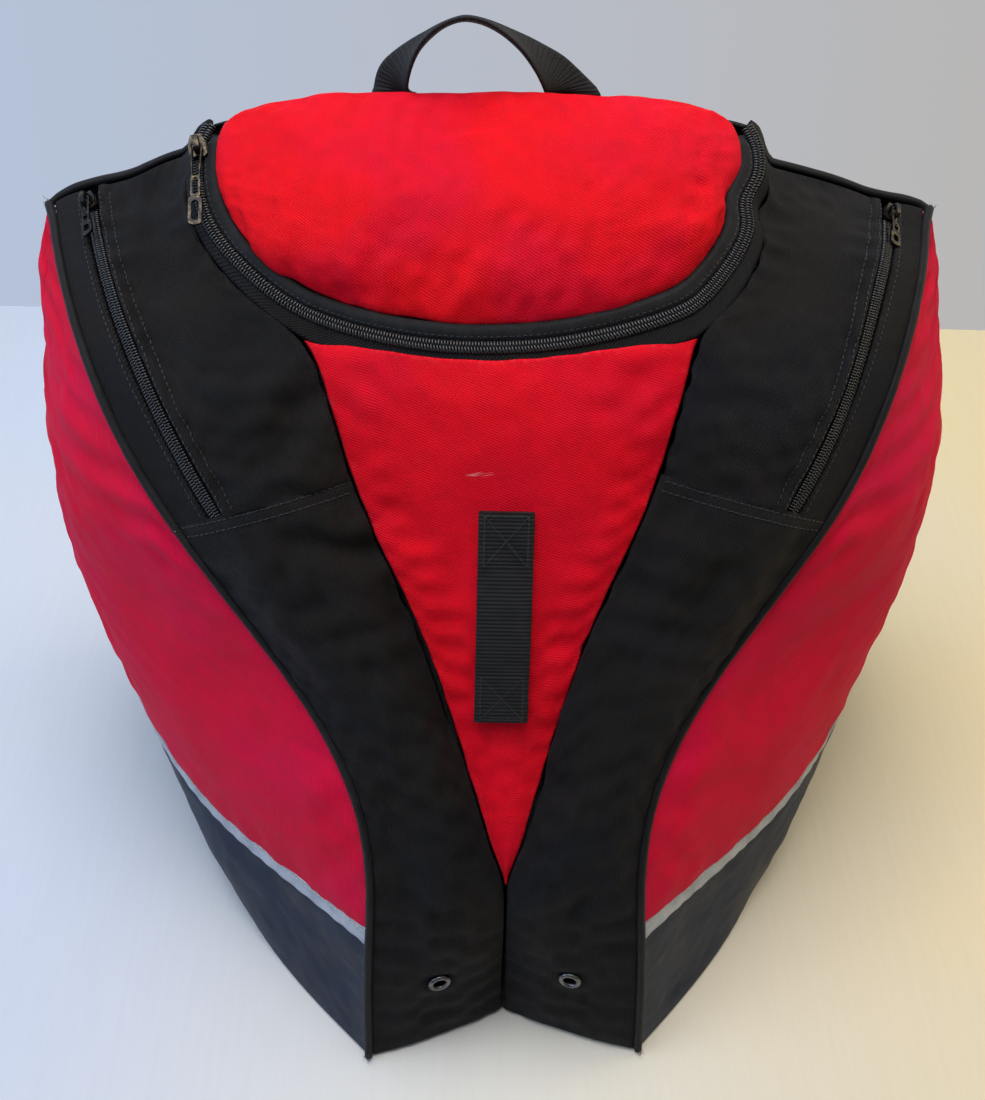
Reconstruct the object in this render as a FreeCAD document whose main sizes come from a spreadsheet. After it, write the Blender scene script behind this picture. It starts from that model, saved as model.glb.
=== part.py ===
import FreeCAD, Part
import math
import os
import Sketcher
from FreeCAD import Vector, Rotation, Placement

# Boot bag: two boot compartments that meet at the toes, a helmet compartment between and
# above them under a domed zip lid, and a padded back with shoulder straps.
# The tables use x to the right, y backwards from the front bottom corners and z up from the
# floor, in mm.  The part's own frame is the same, with its origin moved back by origin_depth.
# Left is negative x.  Curves and surfaces are written for the left half and mirrored.

os.makedirs("parts", exist_ok=True)
doc = FreeCAD.newDocument("boot_bag")

# ------------------------------------------------------------------ driving dimensions
DIMS = [
    # whole bag
    ("shell_width", 516.0), ("shell_depth", 325.0), ("shell_height", 430.0),
    ("origin_depth", 165.0),
    # cloth, seams and piping
    ("fabric_thick", 2.4), ("seam_gap", 1.2), ("piping_radius", 2.3), ("piping_gap", 0.7),
    ("side_inset", 2.4), ("strip_width", 11.0), ("strip_thick", 0.8), ("strip_lift", 1.2),
    # base, back and dividers
    ("base_thick", 2.0), ("board_thick", 3.0), ("board_inset", 7.0),
    ("back_thick", 2.6), ("sheet_thick", 2.0), ("sheet_width", 296.0), ("sheet_tall", 316.0),
    ("divider_thick", 2.0), ("pad_thick", 9.0), ("pad_width", 74.0), ("pad_tall", 270.0),
    ("lumbar_width", 196.0), ("lumbar_tall", 74.0), ("lumbar_thick", 11.0),
    ("pad_round", 4.0),
    # harness
    ("yoke_width", 196.0), ("yoke_tall", 30.0), ("yoke_thick", 2.4),
    ("webbing_width", 25.0), ("webbing_thick", 2.0), ("loop_width", 26.0),
    ("loop_long", 104.0), ("handle_spread", 94.0), ("handle_rise", 37.0),
    ("handle_thick", 3.0), ("strap_width", 62.0), ("strap_thick", 11.0),
    ("buckle_wide", 33.0), ("buckle_long", 30.0), ("buckle_thick", 4.0), ("buckle_slot", 4.0),
    # zips and eyelets
    ("tape_width", 16.0), ("tape_thick", 0.8), ("coil_width", 6.4), ("coil_high", 2.5),
    ("zip_slot", 12.8), ("slider_long", 13.0), ("slider_wide", 9.0), ("slider_high", 2.3),
    ("bridge_wide", 3.0), ("bridge_high", 4.2), ("pull_long", 27.0), ("lid_pull_long", 44.0),
    ("pull_wide", 6.6), ("pull_thick", 1.3),
    ("eyelet_outer", 6.6), ("eyelet_bore", 3.6), ("eyelet_barrel", 4.6), ("eyelet_depth", 4.4),
]
sheet = doc.addObject("Spreadsheet::Sheet", "Dims")
for row, (alias, value) in enumerate(DIMS, start=1):
    sheet.set("A%d" % row, alias)
    sheet.set("B%d" % row, str(value))
    sheet.setAlias("B%d" % row, alias)
doc.recompute()


def dim(alias):
    return float(sheet.get(alias))


# the tables are drawn for a shell of 516 x 325 x 430
SCALE_X = dim("shell_width") / 516.0
SCALE_Y = dim("shell_depth") / 325.0
SCALE_Z = dim("shell_height") / 430.0
ORIGIN_Y = dim("origin_depth")
FABRIC = dim("fabric_thick")
SEAM_GAP = dim("seam_gap")
PIPE_CLEAR = dim("piping_radius") + dim("piping_gap")   # from a piped seam to the cloth
GAP = 0.5                                               # between stacked layers of the back
SIDES = [("left", -1), ("right", 1)]
RECTANGLE = [(-1, -1), (1, -1), (1, 1), (-1, 1)]
Y_AXIS = Vector(0, 1, 0)


# ------------------------------------------------------------------ points and curves
def scaled(p):
    """table point in the part's own frame"""
    return Vector(p[0] * SCALE_X, (p[1] - ORIGIN_Y) * SCALE_Y, p[2] * SCALE_Z)


def at(x, y, z):
    return Placement(scaled((x, y, z)), Rotation())


def mix(a, b, k):
    return a + (b - a) * k


def mirror(p):
    return Vector(-p.x, p.y, p.z)


def sided(surface, sign):
    """a left-hand surface, mirrored for the right side"""
    return surface if sign < 0 else (lambda a, b: mirror(surface(a, b)))


def span(low, high, count):
    return [low + (high - low) * k / (count - 1.0) for k in range(count)]


class Spline:
    """Natural cubic spline; its parameter is the chord fraction unless knots are given.

    Plain numbers give a number back, points of two or three coordinates give a Vector.
    """

    def __init__(self, points, knots=None):
        points = [(p,) if isinstance(p, (int, float)) else tuple(p) for p in points]
        count = len(points)
        if knots is None:
            knots = [0.0]
            for p, q in zip(points, points[1:]):
                knots.append(knots[-1] + math.dist(p, q))
            knots = [k / knots[-1] for k in knots]
        steps = [b - a for a, b in zip(knots, knots[1:])]
        # second derivatives at the knots, zero at both ends
        bends = [[0.0] * len(points[0]) for _ in points]
        ratios = [0.0] * count
        for i in range(1, count - 1):
            before, after = steps[i - 1], steps[i]
            pivot = 2 * (before + after) - before * ratios[i - 1]
            ratios[i] = after / pivot
            bends[i] = [(6 * ((r - q) / after - (q - p) / before) - before * last) / pivot
                        for p, q, r, last in zip(points[i - 1], points[i], points[i + 1],
                                                 bends[i - 1])]
        for i in range(count - 2, 0, -1):
            bends[i] = [x - ratios[i] * y for x, y in zip(bends[i], bends[i + 1])]
        self.points, self.knots, self.steps, self.bends = points, knots, steps, bends

    def __call__(self, t):
        i = 0
        while i < len(self.points) - 2 and t >= self.knots[i + 1]:
            i += 1
        step = self.steps[i]
        a = (self.knots[i + 1] - t) / step
        b = (t - self.knots[i]) / step
        value = [a * p + b * q + ((a**3 - a) * m + (b**3 - b) * n) * step * step / 6
                 for p, q, m, n in zip(self.points[i], self.points[i + 1],
                                       self.bends[i], self.bends[i + 1])]
        return Vector(*value) if len(value) > 1 else value[0]

    def solve(self, axis, target, low=0.0, high=1.0):
        """parameter at which a coordinate reaches the target, by bisection"""
        starts_above = self(low)[axis] > target
        for _ in range(60):
            middle = (low + high) / 2
            if (self(middle)[axis] > target) == starts_above:
                low = middle
            else:
                high = middle
        return (low + high) / 2

    def at_height(self, z, high=1.0):
        return self.solve(2, z, 0.0, high)


# ------------------------------------------------------------------ seam curves, left half
# outer seam between side and gusset, (x, y, z) from the floor to the top
OUTER_SEAM = Spline([
    (-80, 0, 0), (-78, 17, 50), (-75, 34, 95), (-73, 50, 128), (-76, 70, 158),
    (-88, 95, 185), (-108, 120, 210), (-133, 143, 239), (-153, 160, 263), (-170, 176, 283),
    (-187, 196, 305), (-202, 220, 328), (-217, 255, 349), (-229, 292, 362), (-238, 325, 370)])
# inner seam between gusset and front panel or lid zip
INNER_SEAM = Spline([
    (-3, 26, 0), (-3, 38, 62), (-4, 50, 125), (-19, 86, 176), (-46, 135, 247),
    (-72, 171, 298), (-87, 201, 341), (-97, 219, 360), (-118, 238, 368), (-141, 266, 382),
    (-149, 295, 396), (-146, 325, 408)])

# v runs along the outer seam, t along the inner seam
TOE_HEIGHT = 125.0                              # top of the stretch where the toes meet
V_CROSS = OUTER_SEAM.at_height(277.0)           # cross seam between toe and shoulder
T_CROSS = INNER_SEAM.at_height(305.0)
V_TOE = OUTER_SEAM.at_height(TOE_HEIGHT)
T_TOE = INNER_SEAM.at_height(TOE_HEIGHT)
T_OF_V = Spline([0.0, T_TOE * 0.5, T_TOE, T_CROSS, 1.0],
                [0.0, V_TOE * 0.5, V_TOE, V_CROSS, 1.0])
# v against height
V_HEIGHTS = [0.0, 15, 30, 50, 75, 100, 128, 158, 185, 210, 239, 263, 283, 305, 328, 349, 362,
             368]
V_OF_Z = Spline([OUTER_SEAM.at_height(z) for z in V_HEIGHTS], V_HEIGHTS)

V_BOTTOM = V_OF_Z(3.1)                          # panels start above the base fabric
V_SIDE_TOP = 0.957
V_GUSSET_TOP = 0.986

# ------------------------------------------------------------------ gusset surface
# outward bulge at the middle of the gusset against v
CROWN = Spline([3, 6, 11, 15, 13, 8, 4], [0.0, 0.12, 0.3, 0.45, 0.62, 0.82, 1.0])


def gusset(v, u):
    """u = 0 on the outer seam, 1 on the inner seam"""
    def middle(v):
        return mix(OUTER_SEAM(v), INNER_SEAM(T_OF_V(v)), 0.5)
    outer, inner = OUTER_SEAM(v), INNER_SEAM(T_OF_V(v))
    tangent = middle(min(1.0, v + 1e-3)) - middle(max(0.0, v - 1e-3))
    normal = (inner - outer).cross(tangent).normalize()
    if normal.y > 0.2 or normal.z < -0.3:
        normal = -normal
    return mix(outer, inner, u) + normal * (CROWN(v) * (4 * u * (1 - u)))


# ------------------------------------------------------------------ side surface
# horizontal sections: height z, then (x, y) backwards from the outer seam to the back seam;
# the seam point itself is put in front of each row
SIDE_ROWS = [
    (0, [(-118, 36), (-158, 85), (-185, 140), (-203, 200), (-212, 265), (-214, 325)]),
    (40, [(-120, 55), (-165, 95), (-191, 132), (-212, 195), (-221, 265), (-222, 325)]),
    (80, [(-125, 74), (-176, 118), (-214, 168), (-230, 215), (-237, 268), (-231, 325)]),
    (120, [(-128, 90), (-184, 135), (-226, 188), (-240, 225), (-247, 272), (-237, 325)]),
    (160, [(-136, 112), (-193, 152), (-233, 198), (-248, 235), (-253, 275), (-241, 325)]),
    (200, [(-151, 143), (-200, 171), (-238, 206), (-252, 240), (-257, 278), (-244, 325)]),
    (240, [(-172, 164), (-211, 189), (-240, 219), (-253, 250), (-257, 283), (-245, 325)]),
    (280, [(-195, 191), (-221, 211), (-240, 237), (-250, 264), (-253, 290), (-244, 325)]),
    (320, [(-213, 231), (-226, 248), (-237, 267), (-244, 285), (-246, 302), (-242, 325)]),
    (350, [(-228, 272), (-236, 286), (-241, 297), (-244, 307), (-244, 316), (-241, 325)]),
    (364, [(-236, 304), (-238, 309), (-239, 313), (-240, 317), (-240, 321), (-239, 325)]),
]
SIDE_STATIONS = span(0.0, 1.0, 9)


def side_columns():
    """splines along v through equally spaced stations of the rows"""
    rows, row_v = [], []
    for z, points in SIDE_ROWS:
        v = OUTER_SEAM.at_height(z)
        seam = OUTER_SEAM(v)
        section = Spline([(seam.x, seam.y, z)] + [(x, y, z) for x, y in points])
        rows.append([section(s) for s in SIDE_STATIONS])
        row_v.append(v)
    return [Spline(column, row_v) for column in zip(*rows)]


SIDE_COLUMNS = side_columns()
BACK_SEAM = Spline([(points[-1][0], 325.0, z) for z, points in SIDE_ROWS])


def side(v, s):
    """s = 0 on the outer seam, 1 on the back seam"""
    return Spline([column(v) for column in SIDE_COLUMNS], SIDE_STATIONS)(s)


def back_seam_at(z):
    return BACK_SEAM(BACK_SEAM.at_height(z))


# ------------------------------------------------------------------ lid zip line
# the zip lies in a plane that rises backwards from its front
LID_SLOPE = math.radians(28.5)
LID_NORMAL = Vector(0.0, -math.sin(LID_SLOPE), math.cos(LID_SLOPE))


def lid_plane(x, y):
    return Vector(x, y, 357.0 + (y - 212.0) * math.tan(LID_SLOPE))


# right half, front centre to rear: coil centre (x, y), outer edge of the body tape (x, y, z)
ZIP_ROWS = [
    ((0, 213.5), (0, 207.0, 351.0)), ((28, 214.8), (30, 208.0, 351.8)),
    ((55, 219), (60, 211.2, 354.0)), ((80, 225.5), (84, 215.5, 357.3)),
    ((98, 233), (99, 221.5, 361.0)), ((112, 243.5), (117, 236, 367.0)),
    ((125, 256.5), (131.5, 252, 374.5)), ((135, 271), (142, 268.5, 383)),
    ((140.5, 286), (147.5, 287, 392)), ((142, 299), (148.5, 301, 399)),
    ((140.5, 310), (146, 314, 405)), ((136.5, 318), (142.5, 321.5, 408.5)),
]
_coil = [lid_plane(*centre) for centre, edge in ZIP_ROWS]
_edge = [Vector(*edge) for centre, edge in ZIP_ROWS]
# both run from the left rear end round the front to the right rear end
COIL_LINE = Spline([mirror(p) for p in _coil[:0:-1]] + _coil)
TAPE_EDGE = Spline([mirror(p) for p in _edge[:0:-1]] + _edge, COIL_LINE.knots)


def coil_frame(q):
    """centre, outward direction in the lid plane, and tangent"""
    centre = COIL_LINE(q)
    tangent = (COIL_LINE(min(1.0, q + 2e-3)) - COIL_LINE(max(0.0, q - 2e-3))).normalize()
    outward = tangent.cross(LID_NORMAL).normalize()
    if outward.dot(centre - lid_plane(0, 280)) < 0:
        outward = -outward
    return centre, outward, tangent


def coil_at(q, outwards, up):
    centre, outward, _ = coil_frame(q)
    return centre + outward * outwards + LID_NORMAL * up


# ------------------------------------------------------------------ lid dome
# plan of the right half, (x, y): front rim from the centre, then side rim to the rear
LID_FRONT = Spline([(0, 222.6), (27, 223.9), (53, 228), (76, 234), (93, 241.2), (107, 252),
                    (122, 270)])
LID_SIDE = Spline([(122, 270), (128, 281), (132, 292), (133, 302), (132, 311), (129, 318)])


def lid_front(a):
    p = LID_FRONT(abs(a))
    return p if a >= 0 else mirror(p)


def lid_rear(a):
    return Vector(129.0 * a, 318 + 8 * (1 - abs(a) ** 4), 0)


def lid_base(a, b):
    """plan point blended from the four rims"""
    right = LID_SIDE(b)
    u = (a + 1) / 2
    edges = (lid_front(a) * (1 - b) + lid_rear(a) * b
             + mirror(right) * (1 - u) + right * u)
    corners = (lid_front(-1) * ((1 - u) * (1 - b)) + lid_front(1) * (u * (1 - b))
               + lid_rear(-1) * ((1 - u) * b) + lid_rear(1) * (u * b))
    return edges - corners


def lid_top(a, b):
    """a across from -1 to 1, b from the front rim (0) to the fold at the rear (1)"""
    base = lid_base(a, b)
    from_front, from_side = b * 98.0, (1 - abs(a)) * 128.0
    height = 2.5 + 18.5 * (1 - math.exp(-from_front / 14.0)) \
        * (1 - math.exp(-from_side / 15.0)) * (1 - 0.38 * b ** 3)
    return lid_plane(base.x, base.y) + LID_NORMAL * height


# ------------------------------------------------------------------ front panel surface
T_FRONT_TOP = INNER_SEAM.at_height(358.5, 0.9)
FRONT_CORNER = INNER_SEAM(T_FRONT_TOP)
FRONT_STATIONS = span(-1.0, 1.0, 17)
TOP_EDGE = Spline([TAPE_EDGE(TAPE_EDGE.solve(0, -FRONT_CORNER.x * w, 0.2, 0.8))
                   for w in FRONT_STATIONS], FRONT_STATIONS)


def front_seam(g):
    return INNER_SEAM(T_TOE + (T_FRONT_TOP - T_TOE) * g)


def front(w, g):
    """V panel: w across from -1 to 1, g from the tip (0) to the top edge (1)"""
    def across(seam):
        bow = 1 - w * w
        return Vector(-seam.x * w, seam.y - bow * 2.0, seam.z + bow * 1.2)
    to_edge = TOP_EDGE(w) + Vector(0.0, -0.3, -1.2) - across(FRONT_CORNER)
    return across(front_seam(g)) + to_edge * g ** 3


def front_trimmed(w, g):
    half = max(1.0, abs(front_seam(g).x))
    return front(w * max(0.0, (half - SEAM_GAP) / half), g)


# ------------------------------------------------------------------ divider surface
T_DIVIDER = INNER_SEAM.at_height(346.0, 0.9)


def divider(t, b):
    """between boot and helmet compartments: t upwards, b front to back"""
    seam = INNER_SEAM(0.02 + (T_DIVIDER - 0.02) * t)
    fore = Vector(seam.x - 5.0 * (1 - t) - 1.0, seam.y + 10.0,
                  max(9.0, seam.z - 7.0 * min(1.0, t * 3)))
    rear = Vector(-74.0 - 34.0 * t, 317.0, fore.z)
    return mix(fore, rear, b) - Vector(6.0 * math.sin(math.pi * b), 0, 0)


# ------------------------------------------------------------------ solid builders
def surface_normal(surface, a, b, a_span=(0.0, 1.0), b_span=(0.0, 1.0)):
    step_a = (a_span[1] - a_span[0]) * 2e-3
    step_b = (b_span[1] - b_span[0]) * 2e-3
    along_a = surface(min(a_span[1], a + step_a), b) - surface(max(a_span[0], a - step_a), b)
    along_b = surface(a, min(b_span[1], b + step_b)) - surface(a, max(b_span[0], b - step_b))
    return along_a.cross(along_b).normalize()


def closed_polygon(points):
    return Part.makePolygon(points + [points[0]])


def spline_edge(points):
    curve = Part.BSplineCurve()
    curve.interpolate(points)
    return curve.toShape()


def close_solid(faces):
    shell = Part.Shell(faces)
    if not shell.isClosed():
        shell.sewShape()
    solid = Part.Solid(shell)
    if solid.Volume < 0:
        solid.reverse()
    return solid


def section(centre, across, out, profile=RECTANGLE):
    return [centre + across * a + out * b for a, b in profile]


def ruled_bar(sections):
    """bar through a list of flat polygon sections"""
    count = len(sections[0])
    edges = [spline_edge([scaled(s[k]) for s in sections]) for k in range(count)]
    faces = [Part.makeRuledSurface(edges[k], edges[(k + 1) % count]) for k in range(count)]
    for end in (sections[0], sections[-1]):
        faces.append(Part.Face(closed_polygon([scaled(p) for p in end])))
    return close_solid(faces)


def grid_solid(outer, inner):
    """sheet between two grids of points"""
    surfaces = []
    for grid in (outer, inner):
        surface = Part.BSplineSurface()
        surface.interpolate([[scaled(p) for p in line] for line in grid])
        surfaces.append(surface)

    def rim(surface):
        u0, u1, v0, v1 = surface.bounds()
        return [surface.uIso(u0), surface.vIso(v1), surface.uIso(u1), surface.vIso(v0)]
    faces = [surface.toShape() for surface in surfaces]
    for a, b in zip(rim(surfaces[0]), rim(surfaces[1])):
        faces.append(Part.makeRuledSurface(a.toShape(), b.toShape()))
    return close_solid(faces)


def fabric(surface, count_a, count_b, inside, a_span=(0, 1), b_span=(0, 1), lift=0.0,
           thick=FABRIC):
    """panel on surface(a, b), thickened towards the point inside"""
    outer, inner = [], []
    for a in span(a_span[0], a_span[1], count_a):
        outer_line, inner_line = [], []
        for b in span(b_span[0], b_span[1], count_b):
            p = surface(a, b)
            normal = surface_normal(surface, a, b, a_span, b_span)
            if normal.dot(inside - p) > 0:
                normal = -normal
            outer_line.append(p + normal * lift)
            inner_line.append(p + normal * (lift - thick))
        outer.append(outer_line)
        inner.append(inner_line)
    return grid_solid(outer, inner)


NODES = []


def feature(name, shape, placement=Placement()):
    node = doc.addObject("Part::Feature", name)
    node.Label = name
    node.Shape = shape
    node.Placement = placement
    NODES.append(node)


# ------------------------------------------------------------------ body builders
def new_body(name):
    body = doc.addObject("PartDesign::Body", name)
    body.Label = name
    return body


def finish_body(body, placement):
    doc.recompute()
    body.Placement = placement
    NODES.append(body)


def poly_sketch(body, name, role, *rings):
    """sketch of closed polygons: the outline, then any holes"""
    sketch = body.newObject("Sketcher::SketchObject", name)
    plane = [f for f in body.Origin.OriginFeatures if f.Role == role][0]
    sketch.AttachmentSupport = [(plane, "")]
    sketch.MapMode = "FlatFace"
    base = 0
    for ring in rings:
        count = len(ring)
        for k in range(count):
            start, end = ring[k], ring[(k + 1) % count]
            line = Part.LineSegment(Vector(start[0], start[1], 0), Vector(end[0], end[1], 0))
            sketch.addGeometry(line, False)
        for k in range(count):
            sketch.addConstraint(
                Sketcher.Constraint("Coincident", base + k, 2, base + (k + 1) % count, 1))
        base += count
    return sketch


def pad(body, name, sketch, alias, **options):
    node = body.newObject("PartDesign::Pad", name)
    node.Profile = sketch
    node.setExpression("Length", "Dims." + alias)
    for option, value in options.items():
        setattr(node, option, value)
    return node


def frame_placement(origin, along, out):
    """local x along, local z as near to out as it can be"""
    x = Vector(along).normalize()
    z = (out - x * out.dot(x)).normalize()
    y = z.cross(x)
    return Placement(FreeCAD.Matrix(x.x, y.x, z.x, origin.x,
                                    x.y, y.y, z.y, origin.y,
                                    x.z, y.z, z.z, origin.z,
                                    0, 0, 0, 1))


# ------------------------------------------------------------------ side panels and strips
STRIP_HALF = dim("strip_width") / 2
STRIP_SEAM = 0.6           # half of the gap between upper and lower side panel
# centre height of the reflective strip against the fraction along the side, front to back
STRIP_Z = Spline([94, 91, 87, 86, 90, 101, 120, 148, 170, 182],
                 [0.0, 0.08, 0.18, 0.28, 0.38, 0.48, 0.6, 0.76, 0.9, 1.0])


def strip_edge(offset):
    """v of a line at a height offset from the strip's centre"""
    return lambda b: V_OF_Z(STRIP_Z(b) + offset)


def girth(surface, v):
    """length across the surface at v"""
    points = [surface(v, s) for s in span(0.0, 1.0, 13)]
    return sum((q - p).Length for p, q in zip(points, points[1:]))


def side_piece(v_low, v_high, sign):
    """trimmed side between two lines: a upwards, b front to back"""
    def surface(a, b):
        v = v_low(b) + (v_high(b) - v_low(b)) * a
        trim = (PIPE_CLEAR + dim("side_inset")) / girth(side, v)
        return side(v, trim + (1.0 - 2 * trim) * b)
    return sided(surface, sign)


for side_name, sign in SIDES:
    inside = Vector(sign * 110.0, 215.0, 130.0)
    upper = side_piece(strip_edge(STRIP_SEAM), lambda b: V_SIDE_TOP, sign)
    feature(side_name + "_side_panel", fabric(upper, 13, 11, inside))
    lower = side_piece(lambda b: V_BOTTOM, strip_edge(-STRIP_SEAM), sign)
    feature(side_name + "_lower_side_panel", fabric(lower, 6, 11, inside))
    band = side_piece(strip_edge(-STRIP_HALF), strip_edge(STRIP_HALF), sign)
    feature(side_name + "_reflective_strip",
            fabric(band, 4, 13, inside, b_span=(0.004, 0.996),
                   lift=dim("strip_lift") + dim("strip_thick"), thick=dim("strip_thick")))

# ------------------------------------------------------------------ piping
OCTAGON = [(math.cos(math.pi * k / 4), math.sin(math.pi * k / 4)) for k in range(8)]
BACK_PIPE_HEIGHTS = (4.0, 40.0, 80.0, 120.0, 160.0, 200.0, 240.0, 280.0, 320.0, 345.0, 357.0)


def cord(path, radius):
    """eight-sided cord whose section is carried along the path without twist"""
    sections, up = [], None
    for i, p in enumerate(path):
        tangent = (path[min(len(path) - 1, i + 1)] - path[max(0, i - 1)]).normalize()
        if up is None:
            up = tangent.cross(Vector(0.0, 1.0, 0.3)).normalize()
        up = (up - tangent * tangent.dot(up)).normalize()
        sections.append(section(p, up * radius, tangent.cross(up) * radius, OCTAGON))
    return ruled_bar(sections)


for side_name, sign in SIDES:
    seam = [OUTER_SEAM(v) for v in span(0.008, 0.962, 23)]
    seam = [Vector(p.x, p.y, max(p.z, 3.2)) for p in seam]
    back = [back_seam_at(z) for z in BACK_PIPE_HEIGHTS]
    if sign > 0:
        seam = [mirror(p) for p in seam]
        back = [mirror(p) for p in back]
    feature(side_name + "_piping", cord(seam, dim("piping_radius")))
    feature(side_name + "_back_piping", cord(back, dim("piping_radius")))

# ------------------------------------------------------------------ gusset panels
CROSS_GAP = 0.001          # in v, from the cross seam to either panel
ZIP_U = 0.27               # line of the side zip across the gusset
ZIP_HALF = dim("zip_slot") / 2
# distance towards the inner seam, in mm against v, of the zip's circular arc from its line
ZIP_DRIFT = Spline(
    [0.0, 0.0, 0.06, -0.26, -0.96, -1.88, -2.29, -1.66, -0.44, 0.71, 1.54, 2.04, 2.16, 1.88,
     1.14, 0.0, 0.0],
    [0.6, 0.652, 0.675, 0.698, 0.721, 0.743, 0.766, 0.789, 0.812, 0.835, 0.858, 0.881, 0.903,
     0.926, 0.949, 0.972, 1.0])


# edges of the panels, in mm from the outer seam, given the gusset's length across and v
def outer_edge(length, v):
    return PIPE_CLEAR


def inner_edge(length, v):
    return length - SEAM_GAP


def zip_edge(offset):
    return lambda length, v: ZIP_U * length + ZIP_DRIFT(v) + offset


def gusset_piece(v_low, v_high, near, far, sign):
    """a upwards, b from the near edge to the far edge"""
    def surface(a, b):
        v = v_low + (v_high - v_low) * a
        length = girth(gusset, v)
        low, high = near(length, v) / length, far(length, v) / length
        return gusset(v, low + (high - low) * b)
    return sided(surface, sign)


def eyelet_seat(sign):
    """centre and outward normal of the eyelet on the toe panel"""
    v, u = 0.112, 0.52
    surface = sided(gusset, sign)
    normal = surface_normal(surface, v, u)
    return surface(v, u), (-normal if normal.y > 0 else normal)


def toe_panel(sign, inside):
    """gusset below the cross seam, with a round hole for the eyelet"""
    surface = gusset_piece(V_BOTTOM, V_CROSS - CROSS_GAP, outer_edge, inner_edge, sign)
    centre, normal = eyelet_seat(sign)
    hole = Part.makeCylinder(dim("eyelet_barrel") + 0.5, 16.0,
                             scaled(centre - normal * 8.0), normal)
    return fabric(surface, 13, 7, inside).cut(hole)


def eyelet(name, sign):
    """revolved ring with a flange on the outside of the cloth"""
    body = new_body(name)
    flange, bore, barrel = dim("eyelet_outer"), dim("eyelet_bore"), dim("eyelet_barrel")
    depth = dim("eyelet_depth")
    sketch = poly_sketch(body, name + "_profile", "XZ_Plane", [
        (bore, -depth), (barrel, -depth), (barrel, 0.5), (flange, 0.5), (flange - 0.5, 1.3),
        (bore + 0.5, 1.6), (bore, 1.2)])
    ring = body.newObject("PartDesign::Revolution", name + "_ring")
    ring.Profile = sketch
    ring.ReferenceAxis = (sketch, ["V_Axis"])
    ring.Angle = 360.0
    centre, normal = eyelet_seat(sign)
    finish_body(body, Placement(scaled(centre), Rotation(Vector(0, 0, 1), normal)))


for side_name, sign in SIDES:
    inside = Vector(sign * 110.0, 240.0, 100.0)
    # shoulder above the cross seam, in two pieces on either side of the zip
    v_low = V_CROSS + CROSS_GAP
    strip = gusset_piece(v_low, V_GUSSET_TOP, outer_edge, zip_edge(-ZIP_HALF), sign)
    feature(side_name + "_shoulder_strip", fabric(strip, 9, 4, inside))
    main = gusset_piece(v_low, V_GUSSET_TOP, zip_edge(ZIP_HALF), inner_edge, sign)
    feature(side_name + "_shoulder_panel", fabric(main, 9, 6, inside))
    feature(side_name + "_toe_panel", toe_panel(sign, inside))
    eyelet(side_name + "_eyelet", sign)

# ------------------------------------------------------------------ front panel and lid
feature("front_panel", fabric(front_trimmed, 9, 11, Vector(0, 280.0, 180.0),
                              a_span=(-1, 1), b_span=(0.035, 0.998)))
feature("lid_panel", fabric(lid_top, 17, 11, Vector(0.0, 290.0, 330.0), a_span=(-1, 1)))

ZIP_STATIONS = span(0.0, 1.0, 41)
COIL_HALF = dim("coil_width") / 2
COIL_HIGH = dim("coil_high")
# sections as (outwards from the zip line, up from the lid plane)
BINDING = [(-3.5, -0.2), (-7.5, 1.6), (-7.5, 0.4), (-3.5, -1.4)]
COIL_HALF_SECTION = [(0.2, -1.2), (COIL_HALF - 0.1, -1.2), (COIL_HALF - 0.1, 0.2),
                     (COIL_HALF - 0.8, COIL_HIGH - 1.4), (0.2, COIL_HIGH - 1.1)]


def zip_bar(profile):
    return ruled_bar([[coil_at(q, out, up) for out, up in profile] for q in ZIP_STATIONS])


feature("lid_zip_binding", zip_bar(BINDING))
feature("lid_zip_coil", zip_bar([(-out, up) for out, up in COIL_HALF_SECTION]))
feature("body_zip_coil", zip_bar(COIL_HALF_SECTION))


def body_tape(q):
    """section of the tape from the coil to just short of the body's edge"""
    thick, edge_gap = 1.1, 0.9
    inner = coil_at(q, 4.5, -0.3)
    outer = TAPE_EDGE(q)
    across = (outer - inner).normalize()
    outer = outer - across * edge_gap
    normal = across.cross(coil_frame(q)[2]).normalize()
    if normal.z < 0:
        normal = -normal
    return [inner, outer, outer - normal * thick, inner - normal * thick]


feature("body_zip_tape", ruled_bar([body_tape(q) for q in ZIP_STATIONS]))


def fold_band(a, b):
    """lid fabric behind the fold: a across, b from the fold down to the back panel"""
    fold = lid_top(a, 1.0)
    top = Vector(fold.x * 0.985, max(fold.y, 319.8) + 1.9, fold.z - 0.6)
    bottom = Vector(fold.x * 0.985, 325.6, min(fold.z - 2.0, 416.6 - 3.0 * abs(a) ** 6))
    return mix(top, bottom, b) + Y_AXIS * (math.sin(math.pi * b) * (1 - a * a))


feature("lid_fold_band", fabric(fold_band, 13, 4, Vector(0, 300.0, 400.0),
                                a_span=(-0.97, 0.97), thick=1.6))


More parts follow.
